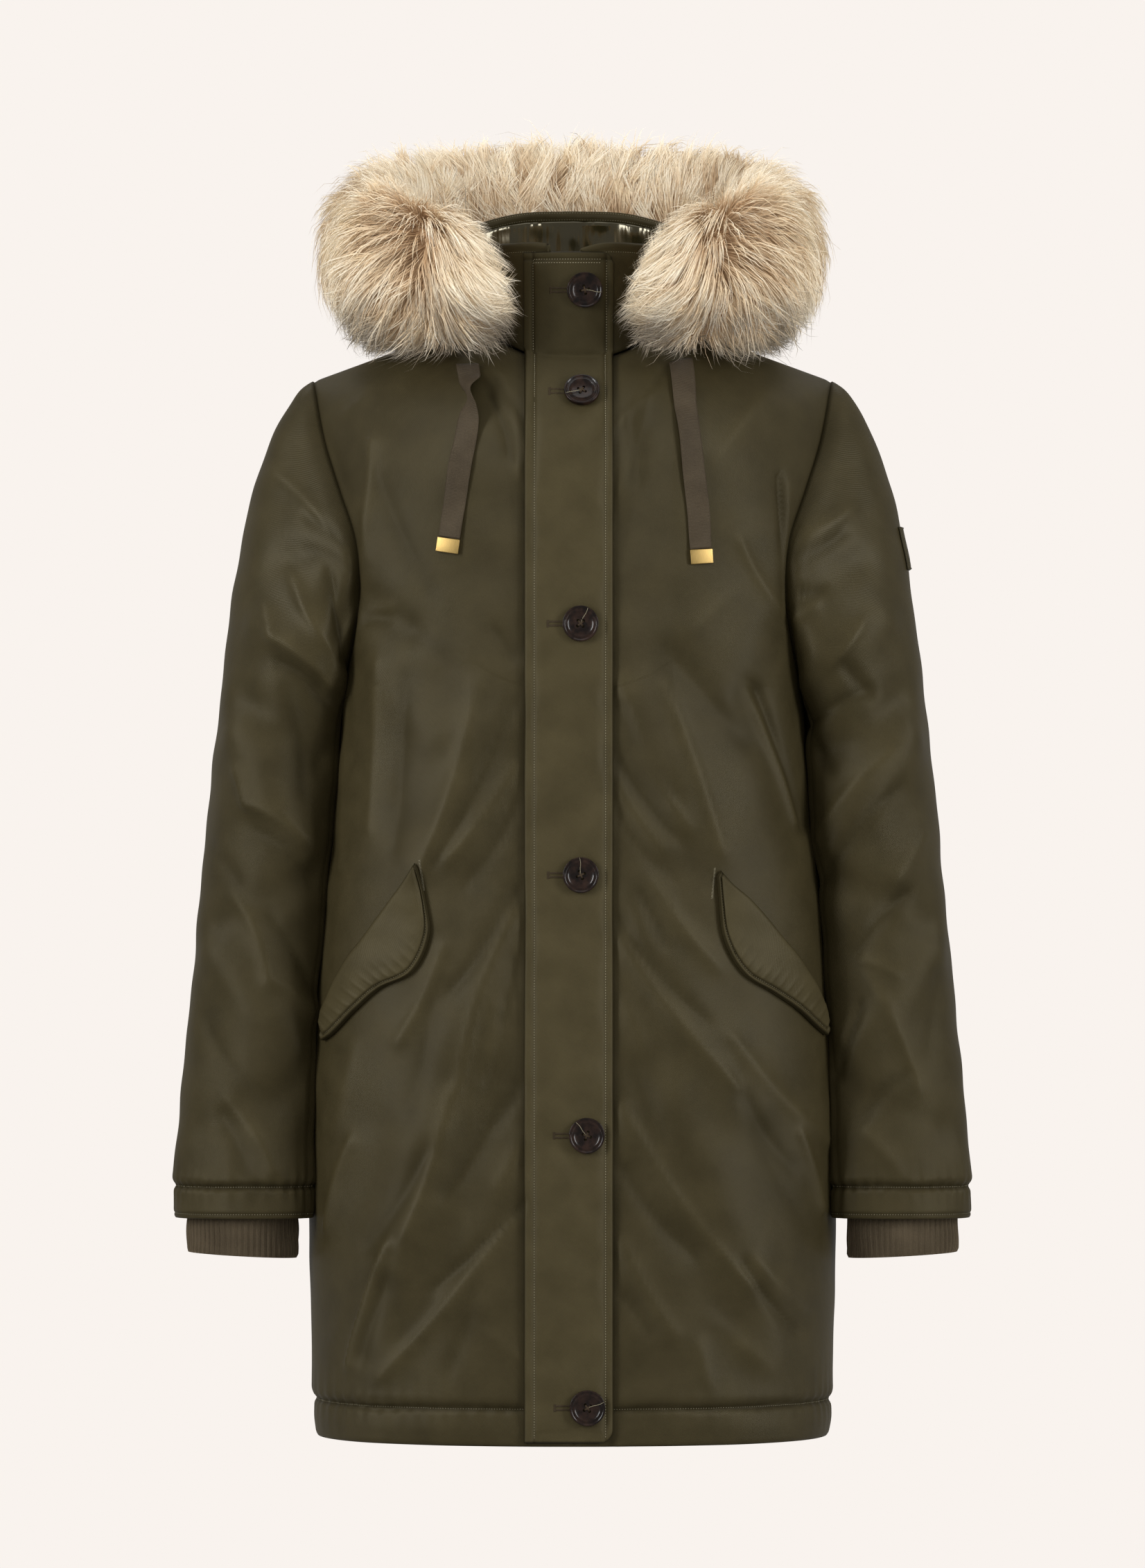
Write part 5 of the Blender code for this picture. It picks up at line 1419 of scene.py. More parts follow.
@dataclass
class Sleeve:
    """A two-piece sleeve with a stitched hem over the rib cuff."""

    hand: int
    wall: float = 2.6 * MM
    around: int = 124
    cut: tuple = (0.644, 0.693, 0.216)
    hem_stitch_z: float = -0.6840
    edge_stitch_z: float = -0.7055
    groove_deep: float = 2.2 * MM
    groove_wide: float = 2.6 * MM
    pucker: float = 1.1 * MM
    ledge: float = 2.2 * MM
    edge_dip: float = 1.0 * MM
    slack: float = 0.9 * MM
    head: float = 0.8 * MM
    seam_dip: float = 1.0 * MM
    long_seam_dip: float = 1.4 * MM
    long_seam_reach: float = 0.0024
    seam_turns: tuple = (36.0, 306.0)
    seam_reach: float = 0.0045
    ridge: float = 0.0026
    edge_reach: float = 0.0013
    pucker_tail: float = 0.008
    ledge_tail: float = 0.022
    allowance: tuple = ((3.2 * MM, 8.0 * MM), (1.6 * MM, 2.5 * MM))

    def surface(self) -> tuple:
        """Return the folded sleeve's grid, its outward normals and its painted shade and painted
        highlight.
        """
        places = spaced((0.0, 8.0, 18.8, 20.0), (62, 86, 30))
        turns = 2 * np.pi * np.arange(self.around) / self.around
        grid = Figure.sleeve_grid(self.hand, places, turns)
        normal = Built.normals(grid, around=True)
        normal = normal * np.sign(normal[140, self.around // 2, 0] * self.hand)
        place, turn = np.meshgrid(places, turns, indexing="ij")
        x, z = grid[..., 0], grid[..., 2]
        facing, behind = (ease(side * np.sin(turn) / 0.45 + 0.1) for side in (1, -1))
        front_folds = FINE_SLEEVE_LEFT if self.hand < 0 else FINE_SLEEVE_RIGHT
        shift = 0.012 * (self.hand > 0)
        height = relief(x, z, front_folds, crisp=True) * facing
        height += relief(np.abs(x), z + shift, FINE_SLEEVE_BACK, crisp=True) * behind
        # Painted highlight on fold ridges and painted shade in their troughs.
        painted_shade = FOLD_HIGHLIGHT_SHADE * np.clip(height / self.ridge, -1.0, 1.0)
        height += self.slack * waves(turn * ARM_RADIUS, z, 0.030, 3.0 + self.hand)
        height *= ease(place / 1.6) * ease((z + 0.700) / 0.02 + 0.2)
        drop = running(grid)
        height += self.head * bell(drop - 0.014, 0.009) * ease(drop / 0.012)
        for seam in self.seam_turns:
            off = np.radians((np.degrees(turn) - seam + 180) % 360 - 180) * ARM_RADIUS
            height -= self.long_seam_dip * bell(off, self.long_seam_reach) * ease(place / 3)
        height += self.hem_relief(turn, z)
        inward = np.stack((np.zeros_like(turn), np.sin(turn), np.cos(turn)), axis=-1)
        sunk = self.seam_dip * bell(drop, self.seam_reach)
        grid = grid + normal * height[..., None] + inward * sunk[..., None]
        tucks = [
            grid[:1] + inward[:1] * deep - np.array([self.hand * back, 0.0, 0.0])
            for deep, back in self.allowance
        ]
        # Painted shade along the armhole seam and in the two stitched grooves of the hem.
        painted_shade += SEAM_SHADE * bell(drop, SHADE_WIDE)
        painted_shade += STITCH_SHADE * bell(z - self.hem_stitch_z, SHADE_WIDE)
        painted_shade += 0.40 * bell(z - self.edge_stitch_z, 0.0014)
        twice = [0, 0, *range(len(grid))]
        return np.concatenate((*tucks, grid)), normal[twice], painted_shade[twice]

    def hem_relief(self, turn: Array, z: Array) -> Array:
        """Return the height of the hem's two stitched grooves and the puckers at the upper one.

        Args:
            turn: angles round the sleeve.
            z: heights.

        Returns:
            The height at each place.
        """
        run = turn * 0.055
        above = z - self.hem_stitch_z + 0.0010 * waves(run, 0 * run, 0.025, 5.0 + self.hand)
        gather = np.sin(turn * 34 + 2.2 * np.sin(3 * turn + self.hand))
        puckers = self.pucker * gather * np.exp(-np.abs(above) / self.pucker_tail)
        fall = np.exp(-np.maximum(above, 0.0) / self.ledge_tail)
        ledge = self.ledge * ease(above / self.pucker_tail) * fall
        low = self.edge_dip * bell(z - self.edge_stitch_z, self.edge_reach)
        low += 0.0016 * bell(z - SLEEVE_HEM_Z, 0.0014)
        return puckers + ledge - self.groove_deep * bell(above, self.groove_wide) - low

    def build(self) -> list:
        """Build the sleeve and its stitches."""
        side = label(self.hand)
        grid, normal, painted_shade = self.surface()
        item = Built.shell(f"sleeve_{side}_cloth", grid, normal, self.wall, around=True)
        Built.shade(item, painted_shade)
        low = slice(130, None)
        rows = [
            Built.level(grid[low], normal[low], -grid[low, :, 2], -height)
            for height in (self.hem_stitch_z, self.edge_stitch_z)
        ]
        nodes = (f"sleeve_upper_{side}", f"sleeve_under_{side}")
        item = Built.finish(item, SHELL, "shell", nodes, self.cut)
        return [item, Built.stitch(f"sleeve_{side}_stitches", rows)]


@dataclass
class RibCuff:
    """The ribbed knit cuff that stands out of a sleeve's hem."""

    hand: int
    middle: tuple = (0.2608, -0.0330)
    half: tuple = (0.0435, 0.0330)
    top_z: float = -0.6885
    throat_z: float = -0.7000
    bottom_z: float = -0.7385
    ribs: int = 58
    rib_height: float = 0.9 * MM
    slack: float = 1.1 * MM
    slope: float = 2.4 * MM
    cut: tuple = (0.268, 0.053, 0.0136)
    wall: float = 2.0 * MM

    def build(self) -> list:
        """Build the cuff with one ridge for each rib."""
        around = self.ribs * 6
        z = spaced((self.top_z, self.throat_z, self.bottom_z, self.bottom_z - 0.0002), (6, 15, 1))
        z, turn = np.meshgrid(z, 2 * np.pi * np.arange(around) / around, indexing="ij")
        ridge = np.abs(np.sin(turn * self.ribs / 2)) - 0.6
        slack = self.slack * waves(turn * 0.038, z, 0.020, 7.0 + self.hand)
        end = ease((z - self.bottom_z) / 0.0016 + 0.12)
        swell = (self.rib_height * ridge + slack) * (0.35 + 0.65 * end) - 0.0007 * (1 - end)
        out = np.stack((-np.cos(turn) * self.hand, -np.sin(turn)), axis=-1)
        middle = np.array([self.hand * self.middle[0], self.middle[1]])
        flat = middle + out * np.array(self.half) + out * swell[..., None]
        slope = self.slope * np.cos(turn) * ease((self.throat_z - z) / 0.02)
        grid = np.concatenate((flat, (z - slope)[..., None]), axis=-1)
        normal = np.concatenate((out, np.zeros_like(z)[..., None]), axis=-1)
        name = f"rib_cuff_{label(self.hand)}"
        item = Built.shell(f"{name}_knit", grid, normal, self.wall, around=True)
        return [Built.finish(item, KNIT, "rib_knit", (name,), self.cut)]


# Collar and hood ------------------------------------------------------------
@dataclass
class Collar:
    """The stand collar: open at the front, with a rolled and stitched top edge."""

    wall: float = 3.0 * MM
    half_width: float = Figure.COLLAR_HALF
    front: float = Figure.COLLAR_FRONT
    back: float = 0.0790
    end_x: tuple = (-0.018, 0.006)
    roll: float = 1.1 * MM
    roll_in: float = 0.0022
    stitch_drop: float = 0.0075
    stitch_dip: float = 1.1 * MM
    stitch_reach: float = 0.0016
    seam_dip: float = 1.6 * MM
    seam_reach: float = 0.004
    crinkle: float = 1.1 * MM
    crinkle_from: float = 0.012
    cut: tuple = (0.537, 0.090, 0.0375)
    columns: int = 200
    rows: int = 36

    def surface(self) -> tuple:
        """Return the collar's grid, base to top, its outward normals and its rise to the top."""
        turn = np.linspace(0, 2 * np.pi, self.columns + 1)
        side = np.where(turn <= np.pi, -1, 1)
        angle = np.where(side < 0, turn, 2 * np.pi - turn)
        face = np.where(np.cos(angle) > 0, -1, 1)
        x = side * NECK_HALF * np.sin(angle)
        drop = np.where(face < 0, NECK_DROP[-1], NECK_DROP[1])
        z = -drop * (1 - np.minimum(np.abs(x) / NECK_HALF, 1.0) ** NECK_POWER)
        y = Figure.torso_either(x, z, face)
        base = np.stack((x, y, z), axis=-1)
        bearing = np.arctan2(np.abs(x) / NECK_HALF, -y / 0.085)
        front = np.cos(bearing) > 0
        top_x = side * self.half_width * np.sin(bearing)
        end = np.where(side < 0, -self.end_x[0], self.end_x[1])
        top_x = np.where(front, side * np.maximum(side * top_x, end), top_x)
        on_curve = -self.front * np.sqrt(1 - np.minimum(np.abs(top_x) / self.half_width, 1) ** 2)
        top_y = np.where(front, on_curve, -self.back * np.cos(bearing))
        top = np.stack((top_x, top_y, Figure.collar_top.read(1, np.degrees(bearing))), axis=-1)
        t = np.linspace(0, 1, self.rows + 1)[:, None]
        grid = base * (1 - t[..., None]) + top * t[..., None]
        away = unit(base[:, :2])
        grid[..., :2] += away * np.sin(np.pi * t[..., None]) * Figure.COLLAR_BULGE
        normal = Built.normals(grid)
        normal = normal * np.sign(np.sum(normal[10, 100, :2] * away[100]))
        tall = np.linalg.norm(top - base, axis=1)
        below = (1 - t) * tall
        height = self.roll * bell(below - self.roll_in, self.roll_in)
        height -= self.stitch_dip * bell(below - self.stitch_drop, self.stitch_reach)
        height -= self.seam_dip * bell(t * tall, self.seam_reach)
        crinkle = self.crinkle * waves(angle * 0.08 + 0 * below, below, 0.022, 4.0)
        height += crinkle * ease(below / self.crinkle_from)
        return grid + normal * height[..., None], normal, -below

    def build(self) -> list:
        """Build the collar and its stitches."""
        grid, normal, rise = self.surface()
        item = Built.shell("collar_cloth", grid, normal, self.wall)
        return [
            Built.finish(item, SHELL, "shell", ("collar",), self.cut),
            Built.stitch("collar_stitches", [Built.level(grid, normal, rise, -self.stitch_drop)]),
        ]


@dataclass
class Hood:
    """The hood that lies back: three panels, a glossy lining and a facing band."""

    wall: float = 2.2 * MM
    lining_wall: float = 0.7 * MM
    facing_wall: float = 1.5 * MM
    air: float = 0.35 * MM
    seam_angle: float = 24.0
    end_angle: float = 118.0
    facing_from: float = 4.84
    facing_stitches: tuple = (2, 13)
    channels: tuple = (-96, -80, -66, -54, -43, -33, -24, -15.5, -7.4, 2.5, 10.4, 17.0, 24.5,
                       33, 43, 54, 66, 80, 96)
    puff: float = 3.2 * MM
    tuck: float = 0.00055
    tuck_scale: float = 0.0085
    crush_scale: float = 0.022
    lining_radius: float = 0.19
    seam_dip: float = 2.2 * MM
    seam_reach: float = 0.004
    seam_ridge: float = 1.2 * MM
    ridge_off: float = 0.012
    ridge_reach: float = 0.008
    seam_radius: float = 0.17
    slack: float = 1.8 * MM
    facing_puff: float = 0.0012
    facing_slack: float = 0.0004
    cut: tuple = (0.778, 0.485, 0.178)
    lining_cut: tuple = (0.766, 0.467, 0.165)
    facing_cut: tuple = (0.660, 0.010, 0.0052)
    columns: int = 176

    def base(self, alongs: Array) -> tuple:
        """Return the hood's form at places along it, 0 at the root to 5 at the rim.

        Args:
            alongs: the place of each row.

        Returns:
            The grid of points, its outward normals, and each point's angle and place.
        """
        angles = np.linspace(-self.end_angle, self.end_angle, self.columns + 1)
        along, angle = np.meshgrid(alongs, angles, indexing="ij")
        grid = Figure.hood_points(angle, along)
        normal = Built.normals(grid)
        return grid, normal * np.sign(normal[-1, self.columns // 2, 1]), angle, along

    def shell(self) -> Piece:
        """Return the outer cloth with a groove at each seam."""
        grid, normal, angle, along = self.base(spaced((0.0, 4.8, 5.0), (74, 6)))
        reach = np.radians(np.abs(np.abs(angle) - self.seam_angle)) * self.seam_radius
        height = self.slack * waves(np.radians(angle) * 0.15, along * 0.05, 0.040, 6.0)
        height += self.seam_ridge * bell(reach - self.ridge_off, self.ridge_reach)
        height -= self.seam_dip * bell(reach, self.seam_reach)
        height *= ease((5.0 - along) / 0.3) * ease(along / 0.4)
        return Built.shell("hood_cloth", grid + normal * height[..., None], normal, self.wall)

    def lining(self) -> Piece:
        """Return the lining, puffed between its stitched channels."""
        grid, normal, angle, along = self.base(spaced((0.0, 3.6, self.facing_from), (34, 40)))
        stops = np.array((-self.end_angle, *self.channels, self.end_angle))
        right = np.clip(np.searchsorted(stops, angle), 1, len(stops) - 1)
        share = (angle - stops[right - 1]) / (stops[right] - stops[right - 1])
        arch = np.sqrt(np.clip(np.sin(np.pi * np.clip(share, 0, 1)), 0, 1))
        run, down = np.radians(angle) * self.lining_radius, along * 0.045
        tuck = waves(run, down, self.tuck_scale, 2.0)
        crush = waves(run, down, self.crush_scale, 9.0)
        puff = self.puff * arch * (0.72 + 0.16 * crush) + self.tuck * tuck * arch
        puff = puff * ease(along / 0.3) * ease((self.facing_from + 0.06 - along) / 0.10)
        seen = grid - normal * (self.wall + self.air + self.lining_wall + puff)[..., None]
        return Built.shell("hood_lining_gloss", seen, -normal, self.lining_wall)

    def facing(self) -> tuple:
        """Return the band of outer cloth inside the rim, and its two rows of stitches."""
        grid, normal, angle, along = self.base(np.linspace(self.facing_from, 5.0, 17))
        t = (along - self.facing_from) / (5.0 - self.facing_from)
        swell = self.facing_slack * waves(np.radians(angle) * 0.2, t * 0.01, 0.012, 3.0)
        swell = self.facing_puff * np.sin(np.pi * t) + swell
        depth = self.wall + self.air + self.facing_wall + swell
        seen = grid - normal * depth[..., None]
        band = Built.shell("hood_facing_band", seen, -normal, self.facing_wall)
        rows = [(seen[row], -normal[row]) for row in self.facing_stitches]
        band = Built.finish(band, SHELL, "shell", ("hood_facing",), self.facing_cut)
        return band, Built.stitch("facing_stitches", rows)

    def build(self) -> list:
        """Build the three layers and the facing's stitches."""
        nodes = ("hood_side_left", "hood_centre", "hood_side_right")
        return [
            Built.finish(self.shell(), SHELL, "shell", nodes, self.cut),
            Built.finish(self.lining(), LINING, "lining", ("hood_lining",), self.lining_cut),
            *self.facing(),
        ]


# Placket --------------------------------------------------------------------
@dataclass
class Placket:
    """The storm placket, an overlay with rounded right corners and rolled edges."""

    corner: float = 0.011
    roll: float = 2.4 * MM
    stitch_left: float = -0.0295
    stitch_right: float = 0.0255
    stitch_dip: float = 0.9 * MM
    stitch_reach: float = 0.0014
    # Painted shade at the stitch lines, the edges and towards the top under the fur.
    painted_stitch_dark: float = 0.22
    edge_thick: float = 0.22
    painted_edge_dark: float = 0.80
    painted_top_dark: float = 0.30
    top_dip: float = 0.0008
    slack: float = 0.0009
    slack_scale: float = 0.028
    padding: float = 0.0007
    slack_from: float = 0.007
    slack_fade: float = 0.006
    button_dip: float = 0.9 * MM
    button_reach: float = 17.0 * MM
    cross_seam_dip: float = 0.6 * MM
    cross_seam_z: float = -0.0705
    top_line: float = PLACKET_TOP - 0.0062
    rows: int = 250
    cut: tuple = (0.080, 0.960, 0.070)

    def heights(self) -> Array:
        """Heights of the rows, close together at the ends."""
        ends = spaced((0.0, 0.003, self.corner), (8, 10))
        high, low = PLACKET_TOP - self.corner, PLACKET_BOTTOM + self.corner
        middle = np.linspace(high, low, self.rows - 35)
        bottom = (PLACKET_BOTTOM + ends[:-1])[::-1]
        return np.concatenate((PLACKET_TOP - ends[:-1], middle, bottom))

    def right_edge(self, z: Array) -> Array:
        """Place of the right edge, with its round corners."""
        share = np.clip(self.from_end(z) / self.corner, 0.0, 1.0)
        return PLACKET_RIGHT - self.corner * (1 - half_round(share))

    @staticmethod
    def from_end(z: Array) -> Array:
        """Distance to the nearer end."""
        return np.minimum(PLACKET_TOP - z, z - PLACKET_BOTTOM)

    def from_edge(self, x: Array, z: Array) -> Array:
        """Distance to the nearest edge."""
        return np.minimum(np.minimum(x - PLACKET_LEFT, self.right_edge(z) - x), self.from_end(z))

    def surface(self) -> tuple:
        """Return the grid of the placket's face, its normals, thickness and painted shade."""
        share = spaced((0.0, 0.05, 0.10, 0.15, 0.86, 0.965, 1.0), (5, 3, 6, 20, 10, 4))
        z = self.heights()[:, None]
        x = PLACKET_LEFT + (self.right_edge(z) - PLACKET_LEFT) * share
        z = np.broadcast_to(z, x.shape)
        # Painted shade along the edges, darker towards the top under the fur, and along the stitch
        # lines.
        painted_shade = self.painted_edge_dark * bell(self.from_edge(x, z), 0.0010)
        painted_shade += self.painted_top_dark * ease((z + 0.14) / 0.12)
        for line in (self.stitch_left, self.stitch_right):
            painted_shade += self.painted_stitch_dark * bell(x - line, 0.0011)
        painted_shade += self.painted_stitch_dark * bell(z - self.top_line, 0.0012)
        lift = self.lift(x, z)
        grid, normal = Figure.on_front(x, z, lift), Figure.front_normal(x, z)
        return grid, normal, lift - PLACKET_LIFT, painted_shade

    def lift(self, x: Array, z: Array) -> Array:
        """Return the height of the placket's face over the cloth of the fronts.

        Args:
            x: places across the placket.
            z: heights.

        Returns:
            The height at each place.
        """
        edge = self.from_edge(x, z)
        roll = (1 - self.edge_thick) * half_round(np.clip(edge / self.roll, 0, 1))
        thick = PLACKET_THICK * (self.edge_thick + roll)
        for line in (self.stitch_left, self.stitch_right):
            thick = thick - self.stitch_dip * bell(x - line, self.stitch_reach)
        thick = thick - self.top_dip * bell(z - self.top_line, self.stitch_reach)
        slack = self.slack * waves(x, z, self.slack_scale, 8.0) + self.padding
        slack = slack + relief(x, z, PLACKET_FOLDS)
        thick = thick + slack * ease((edge - self.slack_from) / self.slack_fade)
        for button_x, button_z in BUTTON_PLACES:
            off = np.hypot(x - button_x, z - button_z)
            thick = thick - self.button_dip * bell(off, self.button_reach)
        seam = bell(z - self.cross_seam_z, 0.0012) * ease((0.012 - x) / 0.02)
        return PLACKET_LIFT + thick - self.cross_seam_dip * seam

    def build(self) -> list:
        """Build the placket and its stitches."""
        grid, normal, thick, painted_shade = self.surface()
        item = Built.between("placket_cloth", grid, grid - normal * thick[..., None])
        upright = np.linspace(self.top_line, PLACKET_BOTTOM + 0.004, 260)
        level = np.linspace(self.stitch_left, self.stitch_right - 0.004, 40)
        lines = (
            (self.stitch_left, upright), (self.stitch_right, upright),
            (level, self.top_line), (level, self.top_line - 0.0028),
        )
        rows = []
        for x, z in lines:
            x, z = np.broadcast_arrays(x, z)
            rows.append((Figure.on_front(x, z, self.lift(x, z)), Figure.front_normal(x, z)))
        return [
            Built.finish(Built.shade(item, painted_shade), LIT_SHELL, "shell", ("placket",), self.cut),
            Built.stitch("placket_stitches", rows, length=1.3 * MM, radius=0.32 * MM),
        ]


# Trims ----------------------------------------------------------------------
BUTTON_PLACES = (
    (0.0089, 0.0192), (0.0073, -0.0640), (0.0062, -0.2430),
    (0.0064, -0.4382), (0.0110, -0.6402), (0.0115, -0.8513),
)


@dataclass
class Buttons:
    """Six horn buttons: a raised rim, a dished face, four holes and a crossed thread."""

    radius: float = 13.9 * MM
    thick: float = 3.4 * MM
    lift: float = 5.6 * MM
    turnings: tuple = (
        (0.0010, 0.0), (0.0006, -0.0005), (0.0006, -0.0003), (0.0005, 0.0003),
        (0.0012, 0.0001), (0.0010, -0.0006), (0.0024, -0.0005), (0.0030, -0.0002),
    )
    hole_circle: float = 3.1 * MM
    hole_radius: float = 1.15 * MM
    tail_turns: tuple = (-8.0, 200.0, 64.0, 93.0, 128.0, 20.0)
    hole_turns: tuple = (15.0, 62.0, 40.0, 24.0, 70.0, 33.0)

    @staticmethod
    def towards(degrees: float) -> Array:
        """Direction at an angle on the button's face."""
        return np.array((math.cos(math.radians(degrees)), math.sin(math.radians(degrees)), 0.0))

    def blank(self, name: str, turn: float) -> Piece:
        """Turn a disc, then drill it.

        Args:
            name: the piece's name.
            turn: degrees that the holes are turned by.

        Returns:
            The button, flat at the origin with its face up.
        """
        Built.pick()
        bpy.ops.mesh.primitive_cylinder_add(vertices=64, radius=self.radius, depth=self.thick)
        item = bpy.context.object
        item.name = item.data.name = name
        bpy.ops.object.mode_set(mode="EDIT")
        bpy.ops.mesh.select_mode(type="FACE")
        bpy.ops.mesh.select_all(action="DESELECT")
        for face in bmesh.from_edit_mesh(item.data).faces:
            face.select_set(face.normal.z > 0.9)
        bmesh.update_edit_mesh(item.data)
        for inset, rise in self.turnings:
            bpy.ops.mesh.inset(thickness=inset)
            bpy.ops.transform.translate(value=(0.0, 0.0, rise))
        bpy.ops.object.mode_set(mode="OBJECT")
        edges = item.modifiers.new("edges", "BEVEL")
        edges.width, edges.segments, edges.angle_limit = 0.0004, 3, math.radians(50)
        bpy.ops.object.modifier_apply(modifier="edges")
        for k in range(4):
            bpy.ops.mesh.primitive_cylinder_add(
                vertices=20, radius=self.hole_radius, depth=self.thick * 3,
                location=self.hole_circle * self.towards(turn + 90 * k),
            )
            drill = bpy.context.object
            bpy.context.view_layer.objects.active = item
            hole = item.modifiers.new("hole", "BOOLEAN")
            hole.operation, hole.object, hole.solver = "DIFFERENCE", drill, "EXACT"
            bpy.ops.object.modifier_apply(modifier="hole")
            bpy.data.objects.remove(drill)
        Built.pick(item)
        bpy.ops.object.shade_smooth_by_angle(angle=math.radians(32))
        return item

    def threads(self, turn: float, tail: float) -> tuple:
        """Return the crossed threads and the light loose end, flat at the origin.

        Args:
            turn: degrees that the holes are turned by.
            tail: direction of the loose end in degrees.

        Returns:
            The two objects.
        """
        crossed = []
        face = self.thick / 2 - 0.0009
        t = np.linspace(-1, 1, 9)[:, None]
        for place in (turn, turn + 90):
            for side in (-0.35 * MM, 0.35 * MM):
                path = self.towards(place) * t * self.hole_circle + self.towards(place + 90) * side
                path[:, 2] = face - 0.0024 * np.abs(t[:, 0]) ** 5
                crossed.append(Built.tube("thread", path, 0.34 * MM, 6))
        t = np.linspace(0.0, 1.0, 9)[:, None]
        path = self.towards(tail) * (0.0010 + t * (self.radius - 0.0014))
        path += self.towards(tail + 90) * np.sin(t * 7.0) * 0.0003
        path[:, 2] = face + 0.0016 * t[:, 0] ** 2 + 0.0003
        return Built.join("crossed", crossed), Built.tube("tail", path, 0.20 * MM, 5)

    def build(self) -> list:
        """Build the six buttons, each on its own place on the placket."""
        pieces = []
        for number, (x, z) in enumerate(BUTTON_PLACES):
            normal = Vector(Figure.front_normal(np.array(x), np.array(z)))
            up = Vector((0.0, 0.0, 1.0))
            up = (up - normal * up.dot(normal)).normalized()
            frame = Matrix((up.cross(normal), up, normal)).transposed().to_4x4()
            frame.translation = Figure.on_front(x, z, self.lift + self.thick / 2)
            turn, name = self.hole_turns[number], f"button_{number + 1}"
            button = self.blank(f"{name}_horn", turn)
            crossed, tail = self.threads(turn, self.tail_turns[number])
            crossed.name, tail.name = f"{name}_thread", f"{name}_tail"
            for item in (button, crossed, tail):
                item.data.transform(frame)
            pieces += [
                Built.finish(button, HORN, "horn", (name,)),
                Built.finish(crossed, DARK_THREAD, "shell"),
                Built.finish(tail, THREAD, "shell"),
            ]
        return pieces


@dataclass
class Buttonholes:
    """The six worked buttonholes, to the left of each button."""

    length: float = 29.0 * MM
    half_gap: float = 0.5 * MM
    leg: float = 2.0 * MM
    pitch: float = 0.42 * MM
    bar: float = 5.6 * MM
    bar_pitch: float = 0.36 * MM

    @staticmethod
    def stitch(x: float, z: float, half_x: float, half_z: float) -> tuple:
        """Return one stitch on the placket.

        Args:
            x: place of its middle across the coat.
            z: height of its middle.
            half_x: half its length across the coat.
            half_z: half its length upwards.

        Returns:
            Its middle, half length vector and normal.
        """
        normal = Figure.front_normal(np.array(x), np.array(z))
        slant = np.array((half_x, 0.0, half_z))
        lift = Placket().lift(np.array(x), np.array(z)) + 0.0001
        return Figure.on_front(x, z, lift), slant - normal * np.dot(slant, normal), normal

    def build(self) -> list:
        """Build the stitches of the buttonholes as one piece."""
        chance = np.random.default_rng(5)
        places = []
        for button_x, button_z in BUTTON_PLACES:
            left = button_x - self.length + 0.0035
            for at in np.arange(left + 0.0012, button_x, self.pitch):
                for side in (-1, 1):
                    half = self.leg * (0.85 + 0.3 * chance.random()) / 2
                    middle_z = button_z + side * (self.half_gap + half)
                    places.append(self.stitch(at, middle_z, 0.00008, half))
            for rise in np.arange(-self.bar / 2, self.bar / 2, self.bar_pitch):
                places.append(self.stitch(left + 0.0003, button_z + rise, 0.0011, 0.0001))
        item = Built.dots("buttonhole_stitches", places, 0.27 * MM)
        return [Built.finish(item, HOLE_THREAD, "shell")]


def smooth_rows(rows: tuple, count: int) -> Array:
    """Return even rows on a smooth curve through the rows of a table.

    Args:
        rows: the table's rows.
        count: how many rows to return.

    Returns:
        The rows.
    """
    table = np.array(rows)
    place = running(table) / running(table)[-1]
    at = np.linspace(0, 1, count)
    low = np.clip(np.searchsorted(place, at, side="right") - 1, 0, len(place) - 2)
    span = (place[low + 1] - place[low])[:, None]
    slope = np.gradient(table, place, axis=0)
    t = (at - place[low])[:, None] / span
    return hermite(table[low], table[low + 1], slope[low] * span, slope[low + 1] * span, t)


FLAP_LEFT = (  # sewn x and z, free x and z, from the top tip down
    (-0.1215, -0.4290, -0.1195, -0.4330), (-0.1290, -0.4400, -0.1125, -0.4640),
    (-0.1420, -0.4580, -0.1105, -0.4830), (-0.1600, -0.4830, -0.1240, -0.5140),
    (-0.1760, -0.5060, -0.1490, -0.5270), (-0.1900, -0.5330, -0.1690, -0.5450),
    (-0.1960, -0.5540, -0.1880, -0.5650), (-0.1955, -0.5640, -0.1935, -0.5690),
)
FLAP_RIGHT = (
    (0.1150, -0.4345, 0.1120, -0.4390), (0.1240, -0.4450, 0.1135, -0.4620),
    (0.1380, -0.4570, 0.1165, -0.4850), (0.1600, -0.4830, 0.1330, -0.5160),
    (0.1770, -0.5050, 0.1560, -0.5310), (0.1910, -0.5280, 0.1760, -0.5450),
    (0.1980, -0.5480, 0.1910, -0.5600), (0.1985, -0.5590, 0.1965, -0.5650),
)


